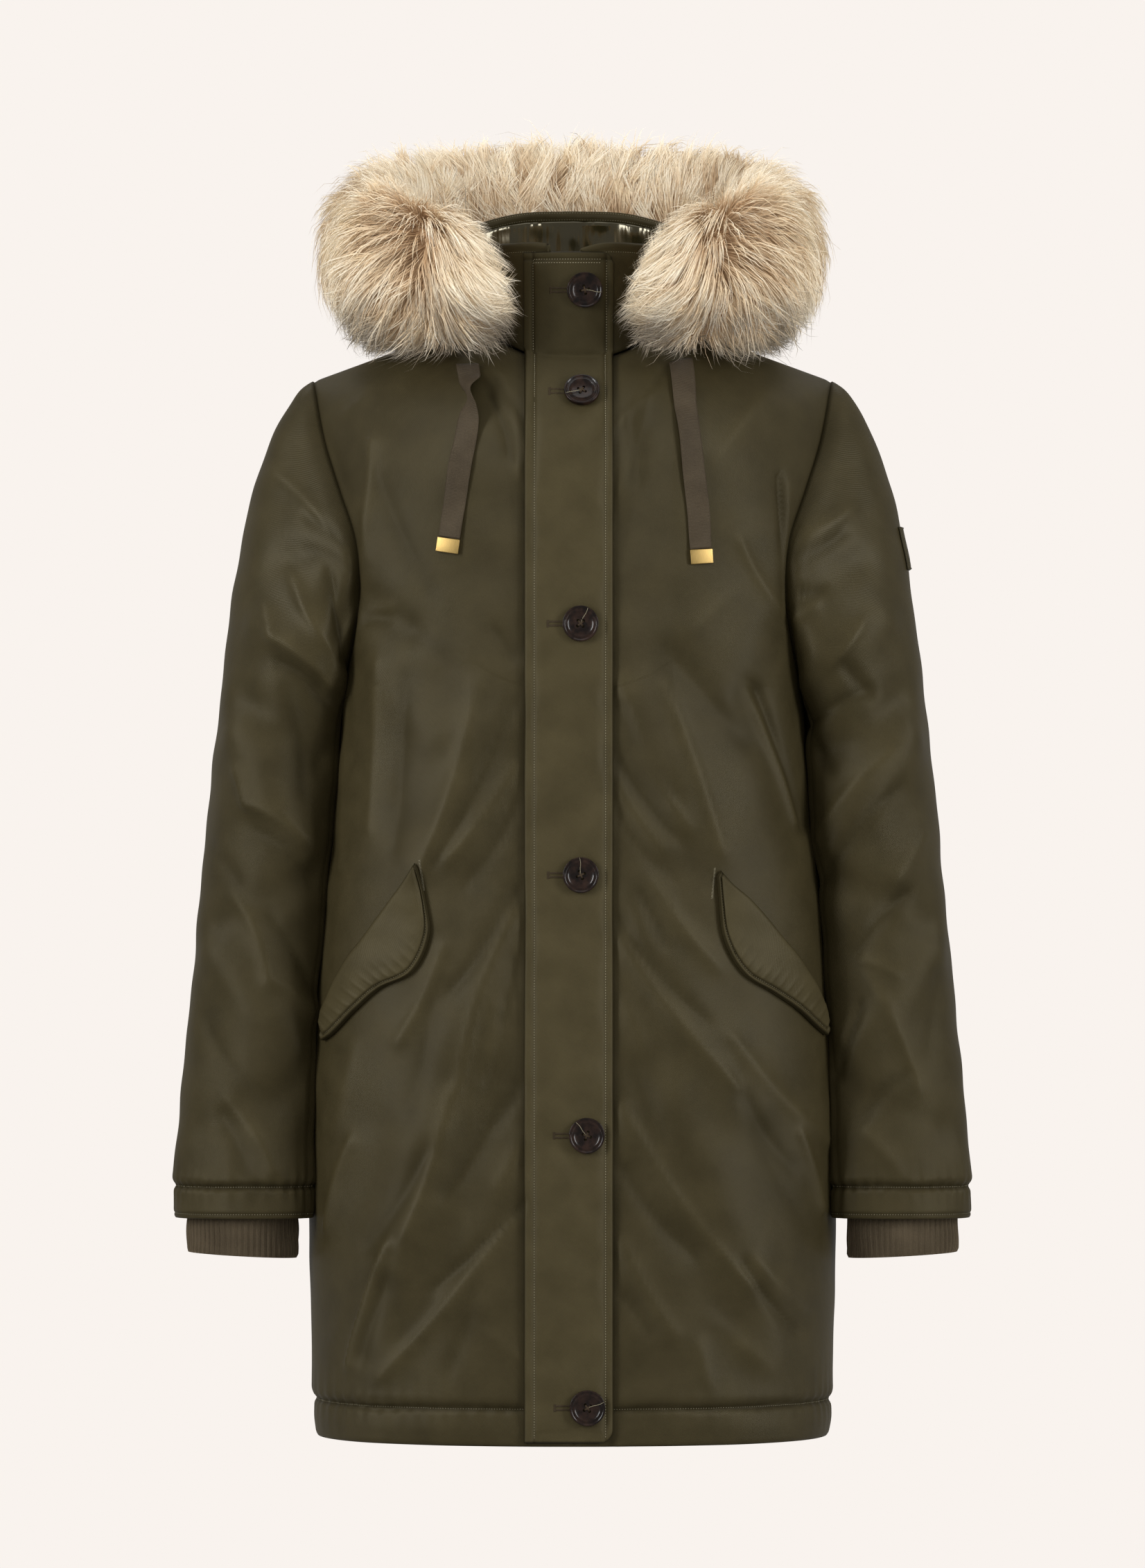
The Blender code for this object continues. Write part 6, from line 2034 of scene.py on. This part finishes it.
@dataclass
class PocketFlap:
    """A padded flap with a piped free edge, sewn on along its upper edge."""

    hand: int
    gap: float = 1.2 * MM
    thick: float = 5.0 * MM
    slack: float = 0.6 * MM
    pipe: float = 2.6 * MM
    pucker: float = 0.65 * MM
    pucker_pitch: float = 8.2 * MM
    stitch_in: float = 3.3 * MM
    tacks: int = 22
    rows: int = 124
    columns: int = 48

    def height(self, edge: Array, to_free: Array, run: Array) -> Array:
        """Return the height of the flap's piping and puckered field.

        Args:
            edge: distance from the nearest edge.
            to_free: distance from the free edge.
            run: distance along the free edge.

        Returns:
            The height at each place.
        """
        field = 0.62 + 0.38 * half_round((edge - self.pipe) / 0.010)
        field = self.thick * np.where(edge > self.pipe + 0.010, 1.0, field)
        piped = self.thick * (0.42 + 0.46 * half_round(edge / (self.pipe / 2)))
        beat = run * 2 * np.pi / self.pucker_pitch + 2.2 * np.sin(run * 61.0) + to_free * 60.0
        lower = ease((run / run[-1] - 0.28) / 0.2) * (edge > self.pipe)
        puckers = np.maximum(np.sin(beat), 0.0) ** 3 * bell(edge - 0.008, 0.009) * lower
        height = np.where(edge < self.pipe, piped, field) + self.pucker * puckers
        return height - 0.0012 * bell(edge - self.stitch_in, 0.0007)

    def build(self) -> list:
        """Build the flap, its stitches and its bartack."""
        name = f"pocket_flap_{label(self.hand)}"
        lines = smooth_rows(FLAP_LEFT if self.hand < 0 else FLAP_RIGHT, self.rows)
        share = 1 - (1 - np.linspace(0, 1, self.columns)) ** 1.35
        x, z = (lines[:, k, None] * (1 - share) + lines[:, k + 2, None] * share for k in (0, 1))
        wide = np.linalg.norm(lines[:, 2:] - lines[:, :2], axis=1)[:, None]
        run = running(lines[:, 2:])[:, None]
        to_free, to_sewn = (1 - share) * wide, share * wide
        edge = np.minimum(to_free, np.minimum(run, run[-1] - run) + 0.0002)
        height = self.height(edge, to_free, run)
        height += self.slack * waves(x, z, 0.017, 12.0 + self.hand) * ease((edge - 0.006) / 0.01)
        height *= 0.12 + 0.88 * half_round(np.clip(to_sewn / 0.0045, 0, 1))
        outer = Figure.on_front(x, z, self.gap + height)
        item = Built.between(f"{name}_cloth", outer, Figure.on_front(x, z, self.gap))
        # Painted shade along the piping's stitch line, at the flap's edges and along its sewn
        # edge.
        painted_shade = 0.45 * bell(edge - self.stitch_in, 0.0009) + 0.60 * bell(edge, 0.0008)
        Built.shade(item, painted_shade + 0.70 * bell(to_sewn, 0.0016))
        piece = Built.finish(item, LIT_SHELL, "shell", (name,))
        normal = Figure.front_normal(x, z)[:, 0]
        inner = range(4, self.rows - 4)
        path = np.array([read_path(-self.stitch_in, -to_free[i], outer[i]) for i in inner])
        stitches = Built.along(path, normal[4:-4], 2.1 * MM, 0.9 * MM)
        tip_x, tip_z = lines[0, 2:]
        for k in range(self.tacks):
            at_x, at_z = tip_x - self.hand * (0.0012 + 0.00012 * k), tip_z + 0.006 - 0.0011 * k
            tack = Figure.on_front(at_x, at_z, 0.0004)
            stitches.append((tack, np.array((0.0010, 0.0, 0.0003)), normal[0]))
        thread = Built.dots(f"{name}_stitches", stitches, 0.20 * MM)
        return [piece, Built.finish(thread, THREAD, "shell")]


RIBBON_LEFT = (  # x and z of the middle line, from the fur down
    (-0.0815, -0.0400), (-0.0790, -0.0620), (-0.0800, -0.0800),
    (-0.0850, -0.1100), (-0.0910, -0.1450), (-0.0955, -0.1755),
)
RIBBON_RIGHT = (
    (0.0840, -0.0370), (0.0865, -0.0620), (0.0900, -0.0900),
    (0.0940, -0.1250), (0.0975, -0.1550), (0.0995, -0.1840),
)


@dataclass
class Ribbon:
    """A free end of the drawstring: a limp grosgrain ribbon with a brass tip."""

    hand: int
    width: float = 17.0 * MM
    thick: float = 1.1 * MM
    lift: float = 0.8 * MM
    tip_size: tuple = (18.5 * MM, 2.6 * MM, 11.5 * MM)
    tip_gap: float = 0.5 * MM
    tip_lift: float = 0.8 * MM
    twist: float = 1.15
    twist_at: float = 0.20
    twist_reach: float = 0.085
    sway: float = 0.20
    cup: float = 0.0006
    buckle: float = 0.0009

    def tip(self, place: Array, run: Array) -> Piece:
        """Return the folded metal tip past the ribbon's end.

        Args:
            place: x and z of the ribbon's end.
            run: the ribbon's direction there, in x and z.

        Returns:
            The tip in its place.
        """
        x, z = place + run * (self.tip_gap + self.tip_size[2] / 2)
        normal = Vector(Figure.front_normal(x, z))
        down = Vector((run[0], 0.0, run[1]))
        down = (down - normal * down.dot(normal)).normalized()
        side = down.cross(normal).normalized()
        frame = Matrix((side, -normal, -down)).transposed().to_4x4()
        frame.translation = Figure.on_front(x, z, self.tip_lift + self.tip_size[1] / 2)
        Built.pick()
        bpy.ops.mesh.primitive_cube_add(size=1)
        item = bpy.context.object
        item.scale = self.tip_size
        bpy.ops.object.transform_apply(scale=True)
        edges = item.modifiers.new("edges", "BEVEL")
        edges.width, edges.segments = 0.0006, 4
        bpy.ops.object.modifier_apply(modifier="edges")
        bpy.ops.object.shade_smooth_by_angle(angle=math.radians(35))
        item.data.transform(frame)
        item.name = item.data.name = f"ribbon_tip_{label(self.hand)}_brass"
        return item

    def build(self) -> list:
        side = label(self.hand)
        line = smooth_rows(RIBBON_LEFT if self.hand < 0 else RIBBON_RIGHT, 96)
        run = unit(np.gradient(line, axis=0))
        share = np.linspace(0, 1, len(line))[:, None]
        fold = self.twist * (self.hand < 0) * bell(share - self.twist_at, self.twist_reach)
        fold = fold + self.sway * np.sin(share * 9.0 + self.hand) * np.exp(-share * 1.2)
        place = np.linspace(-0.5, 0.5, 15)
        rise = self.width * (0.5 * np.abs(np.sin(fold)) + place * np.sin(fold))
        rise = rise + self.cup * np.sin(share * 21.0 + self.hand) * (1 - 4 * place**2)
        rise = rise + self.buckle * np.maximum(np.sin(share * 13.0), 0)
        offset = self.width * place * np.cos(fold)
        x, z = line[:, :1] - run[:, 1:] * offset, line[:, 1:] + run[:, :1] * offset
        outer = Figure.on_front(x, z, self.lift + self.thick + rise)
        inner = Figure.on_front(x, z, self.lift + rise)
        item = Built.between(f"ribbon_{side}_grosgrain", outer, inner)
        ribbon = Built.finish(item, GROSGRAIN, "ribbon", (f"ribbon_{side}",))
        tip = Built.finish(self.tip(line[-1], run[-1]), BRASS, "brass", (f"ribbon_tip_{side}",))
        path = (outer[:, 7] + inner[:, 7]) / 2
        length = float(running(path)[-1])
        tuple(path[0])
        LOG.info("ribbon %s is %.3f m long", side, length)
        return [ribbon, tip]


@dataclass
class Badge:
    """A bare cloth patch with a corded edge on the outside of the right sleeve."""

    turn: tuple = (164.0, 196.0)
    z: tuple = (-0.164, -0.198)
    gap: float = 0.5 * MM
    thick: float = 2.3 * MM
    cord: float = 1.5 * MM
    cut: tuple = (0.041, 0.037, 0.0015)

    def build(self) -> list:
        """Build the patch on the sleeve's own surface."""
        grid, normal, _ = Sleeve(1).surface()
        both = np.concatenate((grid, normal), axis=2)[10:90]
        turns = 360 * np.arange(grid.shape[1]) / grid.shape[1]
        wanted = np.linspace(*self.z, 37)
        near = np.nonzero((turns >= self.turn[0] - 3) & (turns <= self.turn[1] + 3))[0]
        level = np.stack([read_path(-wanted, -both[:, k, 2], both[:, k]) for k in near], axis=1)
        even = np.linspace(*self.turn, 31)
        lined = np.stack([read_path(even, turns[near], row) for row in level])
        points, out = lined[..., :3], lined[..., 3:]
        u = Built.flat_places(points)[0, :, 0]
        to_end = np.minimum(self.z[0] - wanted, wanted - self.z[1])[:, None]
        edge = np.minimum(np.minimum(u, u[-1] - u), to_end)
        bead = 0.35 + 0.65 * half_round(edge / (self.cord / 2))
        height = self.thick * np.where(edge < self.cord, bead, 0.72)
        outer = points + out * (self.gap + height)[..., None]
        item = Built.between("sleeve_badge_cloth", outer, points + out * self.gap)
        return [Built.finish(item, PATCH, "shell", ("sleeve_badge",), self.cut, "laid")]


# Fur ------------------------------------------------------------------------
@dataclass
class FurTrim:
    """The hood's fur: an underfur roll with locks of long tapering hairs over it.

    A place in the fur is an angle round the neck, a turn round the roll and a
    share of the way from the roll's middle to the reach of the longest hairs.
    """

    end_angle: float = 140.0
    cap_angle: float = 160.0
    cap_length: float = 0.030
    root_share: float = 0.50
    lock: float = 0.0120
    lobe_angle: float = 84.0
    parting: float = 136.0
    hood_air: float = 2.4 * MM
    cloth_air: float = 0.004
    comb: tuple = (0.026, 0.0, -0.006)
    opening: float = 0.55
    opening_z: float = 0.012
    opening_angles: tuple = (96.0, 22.0)
    inset: tuple = (0.014, 0.007)
    inset_angles: tuple = (120.0, 16.0)
    scatter: float = 11.0
    wisps: float = 0.06
    hairs: tuple = (18500, 9500, 12500, 9500, 18500)
    width: float = 0.84 * MM
    tan: tuple = (0.520, 0.325, 0.170)
    cream: tuple = (0.880, 0.720, 0.490)
    pale: tuple = (0.970, 0.890, 0.730)
    dark: tuple = (0.060, 0.042, 0.034)

    def reach_of_hood(self, angle: Array, z: Array) -> Array:
        """Return how far out the hood's outer cloth stands.

        Args:
            angle: degrees from the centre back.
            z: heights.

        Returns:
            The distance from the neck's axis at each place.
        """
        held = np.minimum(np.abs(angle), Hood.end_angle)
        columns = (Figure.hood.read(k, held) for k in range(7, 13))
        far, far_z, throat, throat_z, rim, rim_z = columns
        low = far + (throat - far) * np.clip((z - far_z) / (throat_z - far_z), 0, 1)
        high = throat + (rim - throat) * np.clip((z - throat_z) / (rim_z - throat_z), 0, 1)
        return np.where(z < throat_z, low, high) + self.hood_air

    def place(self, angle: Array, turn: Array, share: Array) -> Array:
        """Return points of the fur.

        Args:
            angle: degrees from the centre back, negative to the left; past
                `end_angle` the roll rounds off.
            turn: radians round the roll, 0 outwards and a quarter turn up.
            share: 0 in the roll's middle, 1 where the longest hairs end.

        Returns:
            Points with a last axis of 3.
        """
        hand = np.where(angle < 0, -1.0, 1.0)
        size = np.abs(angle)
        held = np.minimum(size, self.end_angle)
        out, middle_z, half_out, half_z = (Figure.fur.read(k, held) for k in (1, 2, 3, 4))
        past = np.clip((size - self.end_angle) / (self.cap_angle - self.end_angle), 0.0, 1.0)
        slim = np.sqrt(np.maximum(1 - past**2, 0.0)) * share
        z = middle_z + half_z * slim * np.sin(turn)
        outside = self.reach_of_hood(held, z) - 0.0012 + 0.004 * np.maximum(share - 0.62, 0.0)
        radial = np.maximum(out + half_out * slim * np.cos(turn), outside)
        heading = np.radians(held)
        ahead = past * self.cap_length * (0.35 + 0.65 * share)
        x = radial * np.sin(heading) + np.cos(heading) * ahead
        y = radial * np.cos(heading) - np.sin(heading) * ahead
        opens, insets = (
            ease((size - first) / wide) for first, wide in (self.opening_angles, self.inset_angles)
        )
        inward = (0.5 - 0.5 * np.cos(turn)) * opens
        inset = np.where(hand < 0, *self.inset) * insets
        x = x + (self.opening * np.maximum(z - self.opening_z, 0.0) + inset) * inward
        z = np.maximum(z, Figure.cloth_top_z(x, y) + self.cloth_air)
        return np.stack((hand * x, y, z), axis=-1)

    def flow(self, angle: Array, turn: Array) -> tuple:
        """Return how far hairs lean.

        Args:
            angle: angles of their roots in degrees.
            turn: turns of their roots in radians.

        Returns:
            The lean along the roll, in degrees, and round it, in radians.
        """
        hand = np.where(angle < 0, -1.0, 1.0)
        size = np.abs(angle)
        front = ease((size - self.lobe_angle) / 40.0)
        a, b = np.radians(angle) * 0.20, turn * 0.06
        parted = np.clip((self.parting - size) / 7.0, -0.25, 1.0)
        lean = 6.0 * waves(a, b, 0.045, 1.0) * (1 - 0.4 * front) - hand * 24.0 * front * parted
        lean = lean - hand * 3.0 * (1 - front) * waves(a, b, 0.09, 3.0)
        swept = -0.30 * np.sin(turn + 0.6) * front - 0.52 * front * np.cos(turn)
        rising = -0.74 * (1 - 0.8 * bell(turn + np.pi / 2, 0.8)) * (1 - front)
        return lean, swept + rising + 0.28 * waves(a, b, 0.022, 5.0)

    def rooted(self, angle: Array, turn: Array) -> Array:
        """Share of the roll at which hairs are rooted, fuller at the back and against the hood."""
        back = ease((100.0 - np.abs(angle)) / 24.0)
        return self.root_share + back * (0.10 + 0.24 * np.clip(-np.cos(turn), 0.0, 1.0))

    def underfur(self) -> Piece:
        """Return the dense roll that shows between the hairs."""
        ends = np.array((146, 152, 157, 159.6))
        angles = np.concatenate((-ends[::-1], np.linspace(-140, 140, 150), ends))
        angle, turn = np.meshgrid(angles, 2 * np.pi * np.arange(40) / 40, indexing="ij")
        a, b = np.radians(angle) * 0.2, turn * 0.05
        lump = 0.018 * waves(a, b, 0.014, 2.0) - 0.02
        item = Built.roll("fur_underfur", self.place(angle, turn, self.rooted(angle, turn) + lump))
        tone = 0.62 + 0.35 * np.clip(0.5 + 0.5 * waves(a, b, 0.012, 4.0), 0, 1)
        self.paint(item.data, (np.array(self.tan) * tone[..., None]).reshape(-1, 3))
        return item

    @staticmethod
    def paint(mesh: bpy.types.Mesh, colour: Array) -> None:
        """Write a colour on each point of a mesh.

        Args:
            mesh: the mesh.
            colour: a colour for each point.
        """
        layer = mesh.color_attributes.new("pile", "FLOAT_COLOR", "POINT")
        full = np.concatenate((colour, np.ones((len(colour), 1))), axis=1)
        layer.data.foreach_set("color", full.astype(np.float32).ravel())

    def roots(self, low: float, high: float, count: int, chance: np.random.Generator) -> tuple:
        """Spread roots evenly over the roll between two angles.

        Args:
            low: first angle.
            high: last angle.
            count: number of roots.
            chance: source of chance numbers.

        Returns:
            The angle and the turn of each root.
        """
        fine = np.linspace(low, high, 400)
        weight = Figure.fur.read(1, np.minimum(np.abs(fine), self.end_angle))
        weight = weight * np.where(np.abs(fine) > self.end_angle, 1.25, 1.0)
        grown = np.concatenate(([0.0], np.cumsum((weight[1:] + weight[:-1]) / 2)))
        angle = np.interp(chance.random(count) * grown[-1], grown, fine)
        turn = chance.random(count) * 2 * np.pi - np.pi
        inside = (np.abs(angle) < 104.0) & (chance.random(count) < 0.24)
        return angle, np.where(inside, 2.40 + 0.80 * chance.random(count), turn)

    def hair_colours(self, tips: Array, angle: Array, turn: Array,
                     lock_tone: Array, chance: np.random.Generator) -> Array:
        """Return the colour at four places of each hair, root to tip.

        Args:
            tips: the hairs' end points.
            angle: angles of their roots.
            turn: turns of their roots.
            lock_tone: 0 for darker to 1 for lighter hairs; partly painted shade, darker at a
                lock's border, and partly a tone that differs at random from lock to lock.
            chance: source of chance numbers.

        Returns:
            Colours, hairs by 4 by 3.
        """
        size, count = np.abs(angle), len(angle)
        front = ease((size - self.lobe_angle) / 30.0)
        low = ease((0.006 - tips[:, 2]) / 0.022) * front
        patch = 0.5 + 0.5 * waves(np.radians(angle) * 0.2, turn * 0.06, 0.030, 7.0)
        stripe = (bell(angle - 38.0, 5.5) + 0.8 * bell(angle + 62.0, 8.0)) * (1 - front)
        parted = bell(size - self.parting, 7.0) * np.clip(0.4 + 0.8 * np.sin(turn), 0, 1)
        tone = 0.50 * lock_tone + 0.58 * patch + 0.24 * chance.random(count) + 0.02
        tone = np.clip(np.clip(tone - 0.45 * parted - 0.55 * stripe, 0, 1), 0, 1)[:, None]
        soot = np.clip(low + 0.25 * stripe, 0, 1) * chance.random(count) ** 0.35
        soot = np.where(chance.random(count) < 0.04, 0.8, soot)[:, None]
        tan, cream, pale, dark = np.array((self.tan, self.cream, self.pale, self.dark))
        light = cream * (1 - tone) + pale * tone
        second = (tan * (1 - tone) + cream * tone) * (1 - 0.25 * stripe[:, None])
        third = light * (1 - 0.80 * soot) + dark * 0.80 * soot
        last = light * (1 - soot) + dark * soot
        return np.stack((np.broadcast_to(tan * 0.74, second.shape), second, third, last), axis=1)

    def hairs_between(self, name: str, low: float, high: float, count: int,
                      seed: int) -> Piece:
        """Build the hairs of one stretch of the roll as one mesh.

        Args:
            name: the piece's name.
            low: first angle of the stretch.
            high: last angle of the stretch.
            count: number of hairs.
            seed: start of the chance numbers.

        Returns:
            The new object.
        """
        chance = np.random.default_rng(seed)
        angle, turn = self.roots(low, high, count, chance)
        along_cell, round_cell = self.lock / 0.20 * 180 / np.pi, self.lock / 0.050
        cell_a = np.floor(angle / along_cell + 0.5 * np.sin(turn * 3))
        cell_b = np.floor(turn / round_cell + 0.4 * np.sin(angle / 5))
        pick = np.abs(np.sin(cell_a * 12.9898 + cell_b * 78.233) * 43758.5453) % 1.0
        pick2 = np.abs(np.sin(cell_a * 39.346 + cell_b * 11.135) * 24634.6345) % 1.0
        to_lock = (cell_a + 0.2 + 0.6 * pick) * along_cell - angle
        to_lock_turn = (cell_b + 0.2 + 0.6 * pick2) * round_cell - turn
        off_middle = np.hypot(to_lock / along_cell, to_lock_turn / round_cell)
        core = np.clip(1.15 - 1.5 * off_middle, 0.0, 1.0)
        gather = 0.80 * (0.5 + 0.5 * chance.random(count))
        lean, lean_turn = self.flow(angle, turn)
        lean = lean + (pick - 0.5) * self.scatter + chance.normal(0, 1.2, count)
        lean_turn = lean_turn + (pick2 - 0.5) * 0.62 + chance.normal(0, 0.07, count)
        tip_angle = angle + lean + to_lock * gather
        tip_turn = turn + lean_turn + to_lock_turn * gather
        over = np.abs(tip_angle) > self.cap_angle
        tip_turn = np.where(over, tip_turn + np.pi, tip_turn)
        folded = np.sign(tip_angle) * (2 * self.cap_angle - np.abs(tip_angle))
        tip_angle = np.where(over, folded, tip_angle)
        reach = 0.70 + 0.24 * core * (0.45 + 0.55 * pick) + 0.05 * pick2
        reach = reach + chance.normal(0, 0.035, count)
        wisp = chance.random(count) < self.wisps
        below = np.clip(-np.sin(tip_turn), 0, 1) * ease((np.abs(angle) - 100.0) / 20.0)
        above = np.clip(np.sin(tip_turn), 0, 1) * ease((92.0 - np.abs(angle)) / 16.0)
        reach = np.clip(reach + 0.14 * wisp, 0.62, 1.08) + 0.17 * below + 0.17 * above
        bend = 0.42 + 0.14 * chance.random(count)
        rooted = self.rooted(angle, turn)
        reach = np.maximum(reach, rooted + 0.14)
        root = self.place(angle, turn, rooted)
        knee_angle, knee_turn = angle + (tip_angle - angle) * 0.30, turn + (tip_turn - turn) * 0.30
        knee = self.place(knee_angle, knee_turn, rooted + (reach - rooted) * 1.05)
        tip = self.place(tip_angle, tip_turn, reach)
        near_end = ease((np.abs(angle) - self.parting) / 9.0)[:, None]
        combed = near_end * np.array(self.comb) * (0.5 + 0.8 * chance.random((count, 1)))
        combed[:, 0] *= -np.sign(angle)
        knee, tip = knee + combed * 0.45, tip + combed
        tip[:, 2] -= 0.003 * chance.random(count)
        tip[:, 2] = np.maximum(tip[:, 2], Figure.cloth_top_z(tip[:, 0], tip[:, 1]) + 0.003)
        knee = root + (knee - root) * (0.75 + bend[:, None] * 0.5)
        t = np.array((0.0, 0.42, 0.76, 1.0))[:, None]
        root, knee, end = root[:, None], knee[:, None], tip[:, None]
        line = root * (1 - t) ** 2 + knee * 2 * t * (1 - t) + end * t**2
        run = unit(np.gradient(line, axis=1))
        side = unit(np.cross(run, unit(root - self.place(angle, turn, np.zeros(count))[:, None])))
        roll = chance.normal(0, 0.5, count)[:, None, None]
        side = side * np.cos(roll) + np.cross(run, side) * np.sin(roll)
        size = self.width * (0.55 + 0.75 * chance.random(count)) * np.where(wisp, 0.6, 1.0)
        half = side[:, :3] * (size[:, None, None] / 2 * np.array((0.9, 1.0, 0.62))[:, None])
        pairs = np.stack((line[:, :3] - half, line[:, :3] + half), axis=2).reshape(count, 6, 3)
        points = np.concatenate((pairs, line[:, 3:]), axis=1).reshape(-1, 3)
        base = np.arange(count)[:, None] * 7
        quads = np.concatenate((base + (0, 1, 3, 2), base + (2, 3, 5, 4))).tolist()
        mesh = bpy.data.meshes.new(name)
        mesh.from_pydata(points.tolist(), [], quads + (base + (4, 5, 6)).tolist())
        mesh.shade_smooth()
        # Partly painted shade: hairs at a lock's border are darker and those near its middle
        # lighter, so the tufts stand apart; the rest of the tone differs at random.
        tone = self.hair_colours(tip, angle, turn, 0.55 * core + 0.45 * pick2, chance)
        self.paint(mesh, tone[:, (0, 0, 1, 1, 2, 2, 3)].reshape(-1, 3))
        return placed(name, mesh)

    def build(self) -> list:
        """Build the underfur and five stretches of hair."""
        pieces = [Built.finish(self.underfur(), PILE, "fur", ("fur_trim",))]
        stops = (-self.cap_angle, -self.lobe_angle, -30.0, 30.0, self.lobe_angle, self.cap_angle)
        names = ("lobe_left", "side_left", "back", "side_right", "lobe_right")
        seeds = range(11, 16)
        for name, low, high, count, seed in zip(names, stops, stops[1:], self.hairs, seeds):
            item = self.hairs_between(f"fur_{name}", low, high, count, seed)
            pieces.append(Built.finish(item, PILE, "fur"))
        return pieces


# Studio ---------------------------------------------------------------------
@dataclass
class Studio:
    """A plain pale backdrop, soft lights and the camera."""

    distance: float = 7.0
    aim_z: float = -0.36740
    lens: float = 202.6
    dome: float = 30.0
    pale: tuple = (0.947, 0.896, 0.855)
    sky: tuple = (1.0, 0.97, 0.94, 1.0)
    sky_strength: float = 0.36
    lights: tuple = (  # name, place, width and height, watts, seen in glossy faces
        ("key_left", (-2.9, -2.2, 0.7), (1.0, 2.2), 102.0, True),
        ("key_right", (3.0, -2.0, 0.4), (1.0, 2.2), 84.0, True),
        ("fill", (0.0, -3.8, 0.3), (2.4, 1.8), 24.0, False),
        ("top", (0.0, -0.6, 2.9), (2.6, 1.6), 18.0, True),
        ("rim_back", (0.0, 1.5, 1.9), (2.6, 0.8), 16.0, True),
        ("back_left", (-1.7, 4.2, 0.9), (1.6, 2.2), 52.0, False),
        ("back_right", (1.5, 4.3, 0.7), (1.6, 2.2), 42.0, False),
    )

    def camera(self) -> None:
        """Place the camera level, straight before the coat."""
        data = bpy.data.cameras.new("camera")
        data.lens, data.sensor_width, data.clip_end = self.lens, 36.0, 90.0
        item = placed("camera", data)
        item.location = (0.0, -self.distance, self.aim_z)
        item.rotation_euler = (math.pi / 2, 0.0, 0.0)
        bpy.context.scene.camera = item

    def backdrop(self) -> None:
        """Put a wide pale dome round the coat, seen by the camera alone."""
        bpy.ops.mesh.primitive_uv_sphere_add(segments=48, ring_count=24, radius=self.dome)
        item = bpy.context.object
        item.name = item.data.name = "backdrop"
        item.data.shade_smooth()
        nodes = Nodes("backdrop")
        nodes.set(Base_Color=(0.0, 0.0, 0.0, 1.0), Roughness=1.0, Specular_IOR_Level=0.0,
                  Emission_Color=(*self.pale, 1.0), Emission_Strength=1.0)
        item.data.materials.append(nodes.material)
        item.visible_glossy = item.visible_diffuse = item.visible_shadow = False

    def build(self) -> None:
        """Build the studio; every light looks at the coat's middle."""
        scene = bpy.context.scene
        scene.view_settings.view_transform = "Standard"
        scene.world = bpy.data.worlds.new("studio")
        scene.world.use_nodes = True
        sky = scene.world.node_tree.nodes["Background"]
        sky.inputs["Color"].default_value = self.sky
        sky.inputs["Strength"].default_value = self.sky_strength
        for name, place, size, power, glossy in self.lights:
            data = bpy.data.lights.new(name, "AREA")
            data.shape = "RECTANGLE"
            data.size, data.size_y = size
            data.energy = power
            item = placed(name, data)
            item.location = place
            item.visible_glossy = glossy
            aim = Vector((0.0, 0.0, -0.30)) - Vector(place)
            item.rotation_euler = aim.to_track_quat("-Z", "Y").to_euler()
        self.backdrop()
        self.camera()


# Assembly -------------------------------------------------------------------
def sides(build: type) -> list:
    """Return a sub-assembly for the left and for the right."""
    return [build(hand=-1), build(hand=1)]


def main() -> None:
    """Build the coat piece by piece."""
    logging.basicConfig(level=logging.INFO, format="%(name)s %(message)s")
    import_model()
    bpy.ops.object.select_all(action="DESELECT")
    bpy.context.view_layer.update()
    Studio().build()
    parts = [
        Body(), *sides(Sleeve), *sides(RibCuff), Collar(), Hood(), Placket(), Buttons(),
        Buttonholes(), *sides(PocketFlap), *sides(Ribbon), Badge(), FurTrim(),
    ]
    for part in parts:
        pieces = part.build()
        LOG.info("%s: %d pieces", type(part).__name__, len(pieces))


if __name__ == "__main__":
    main()
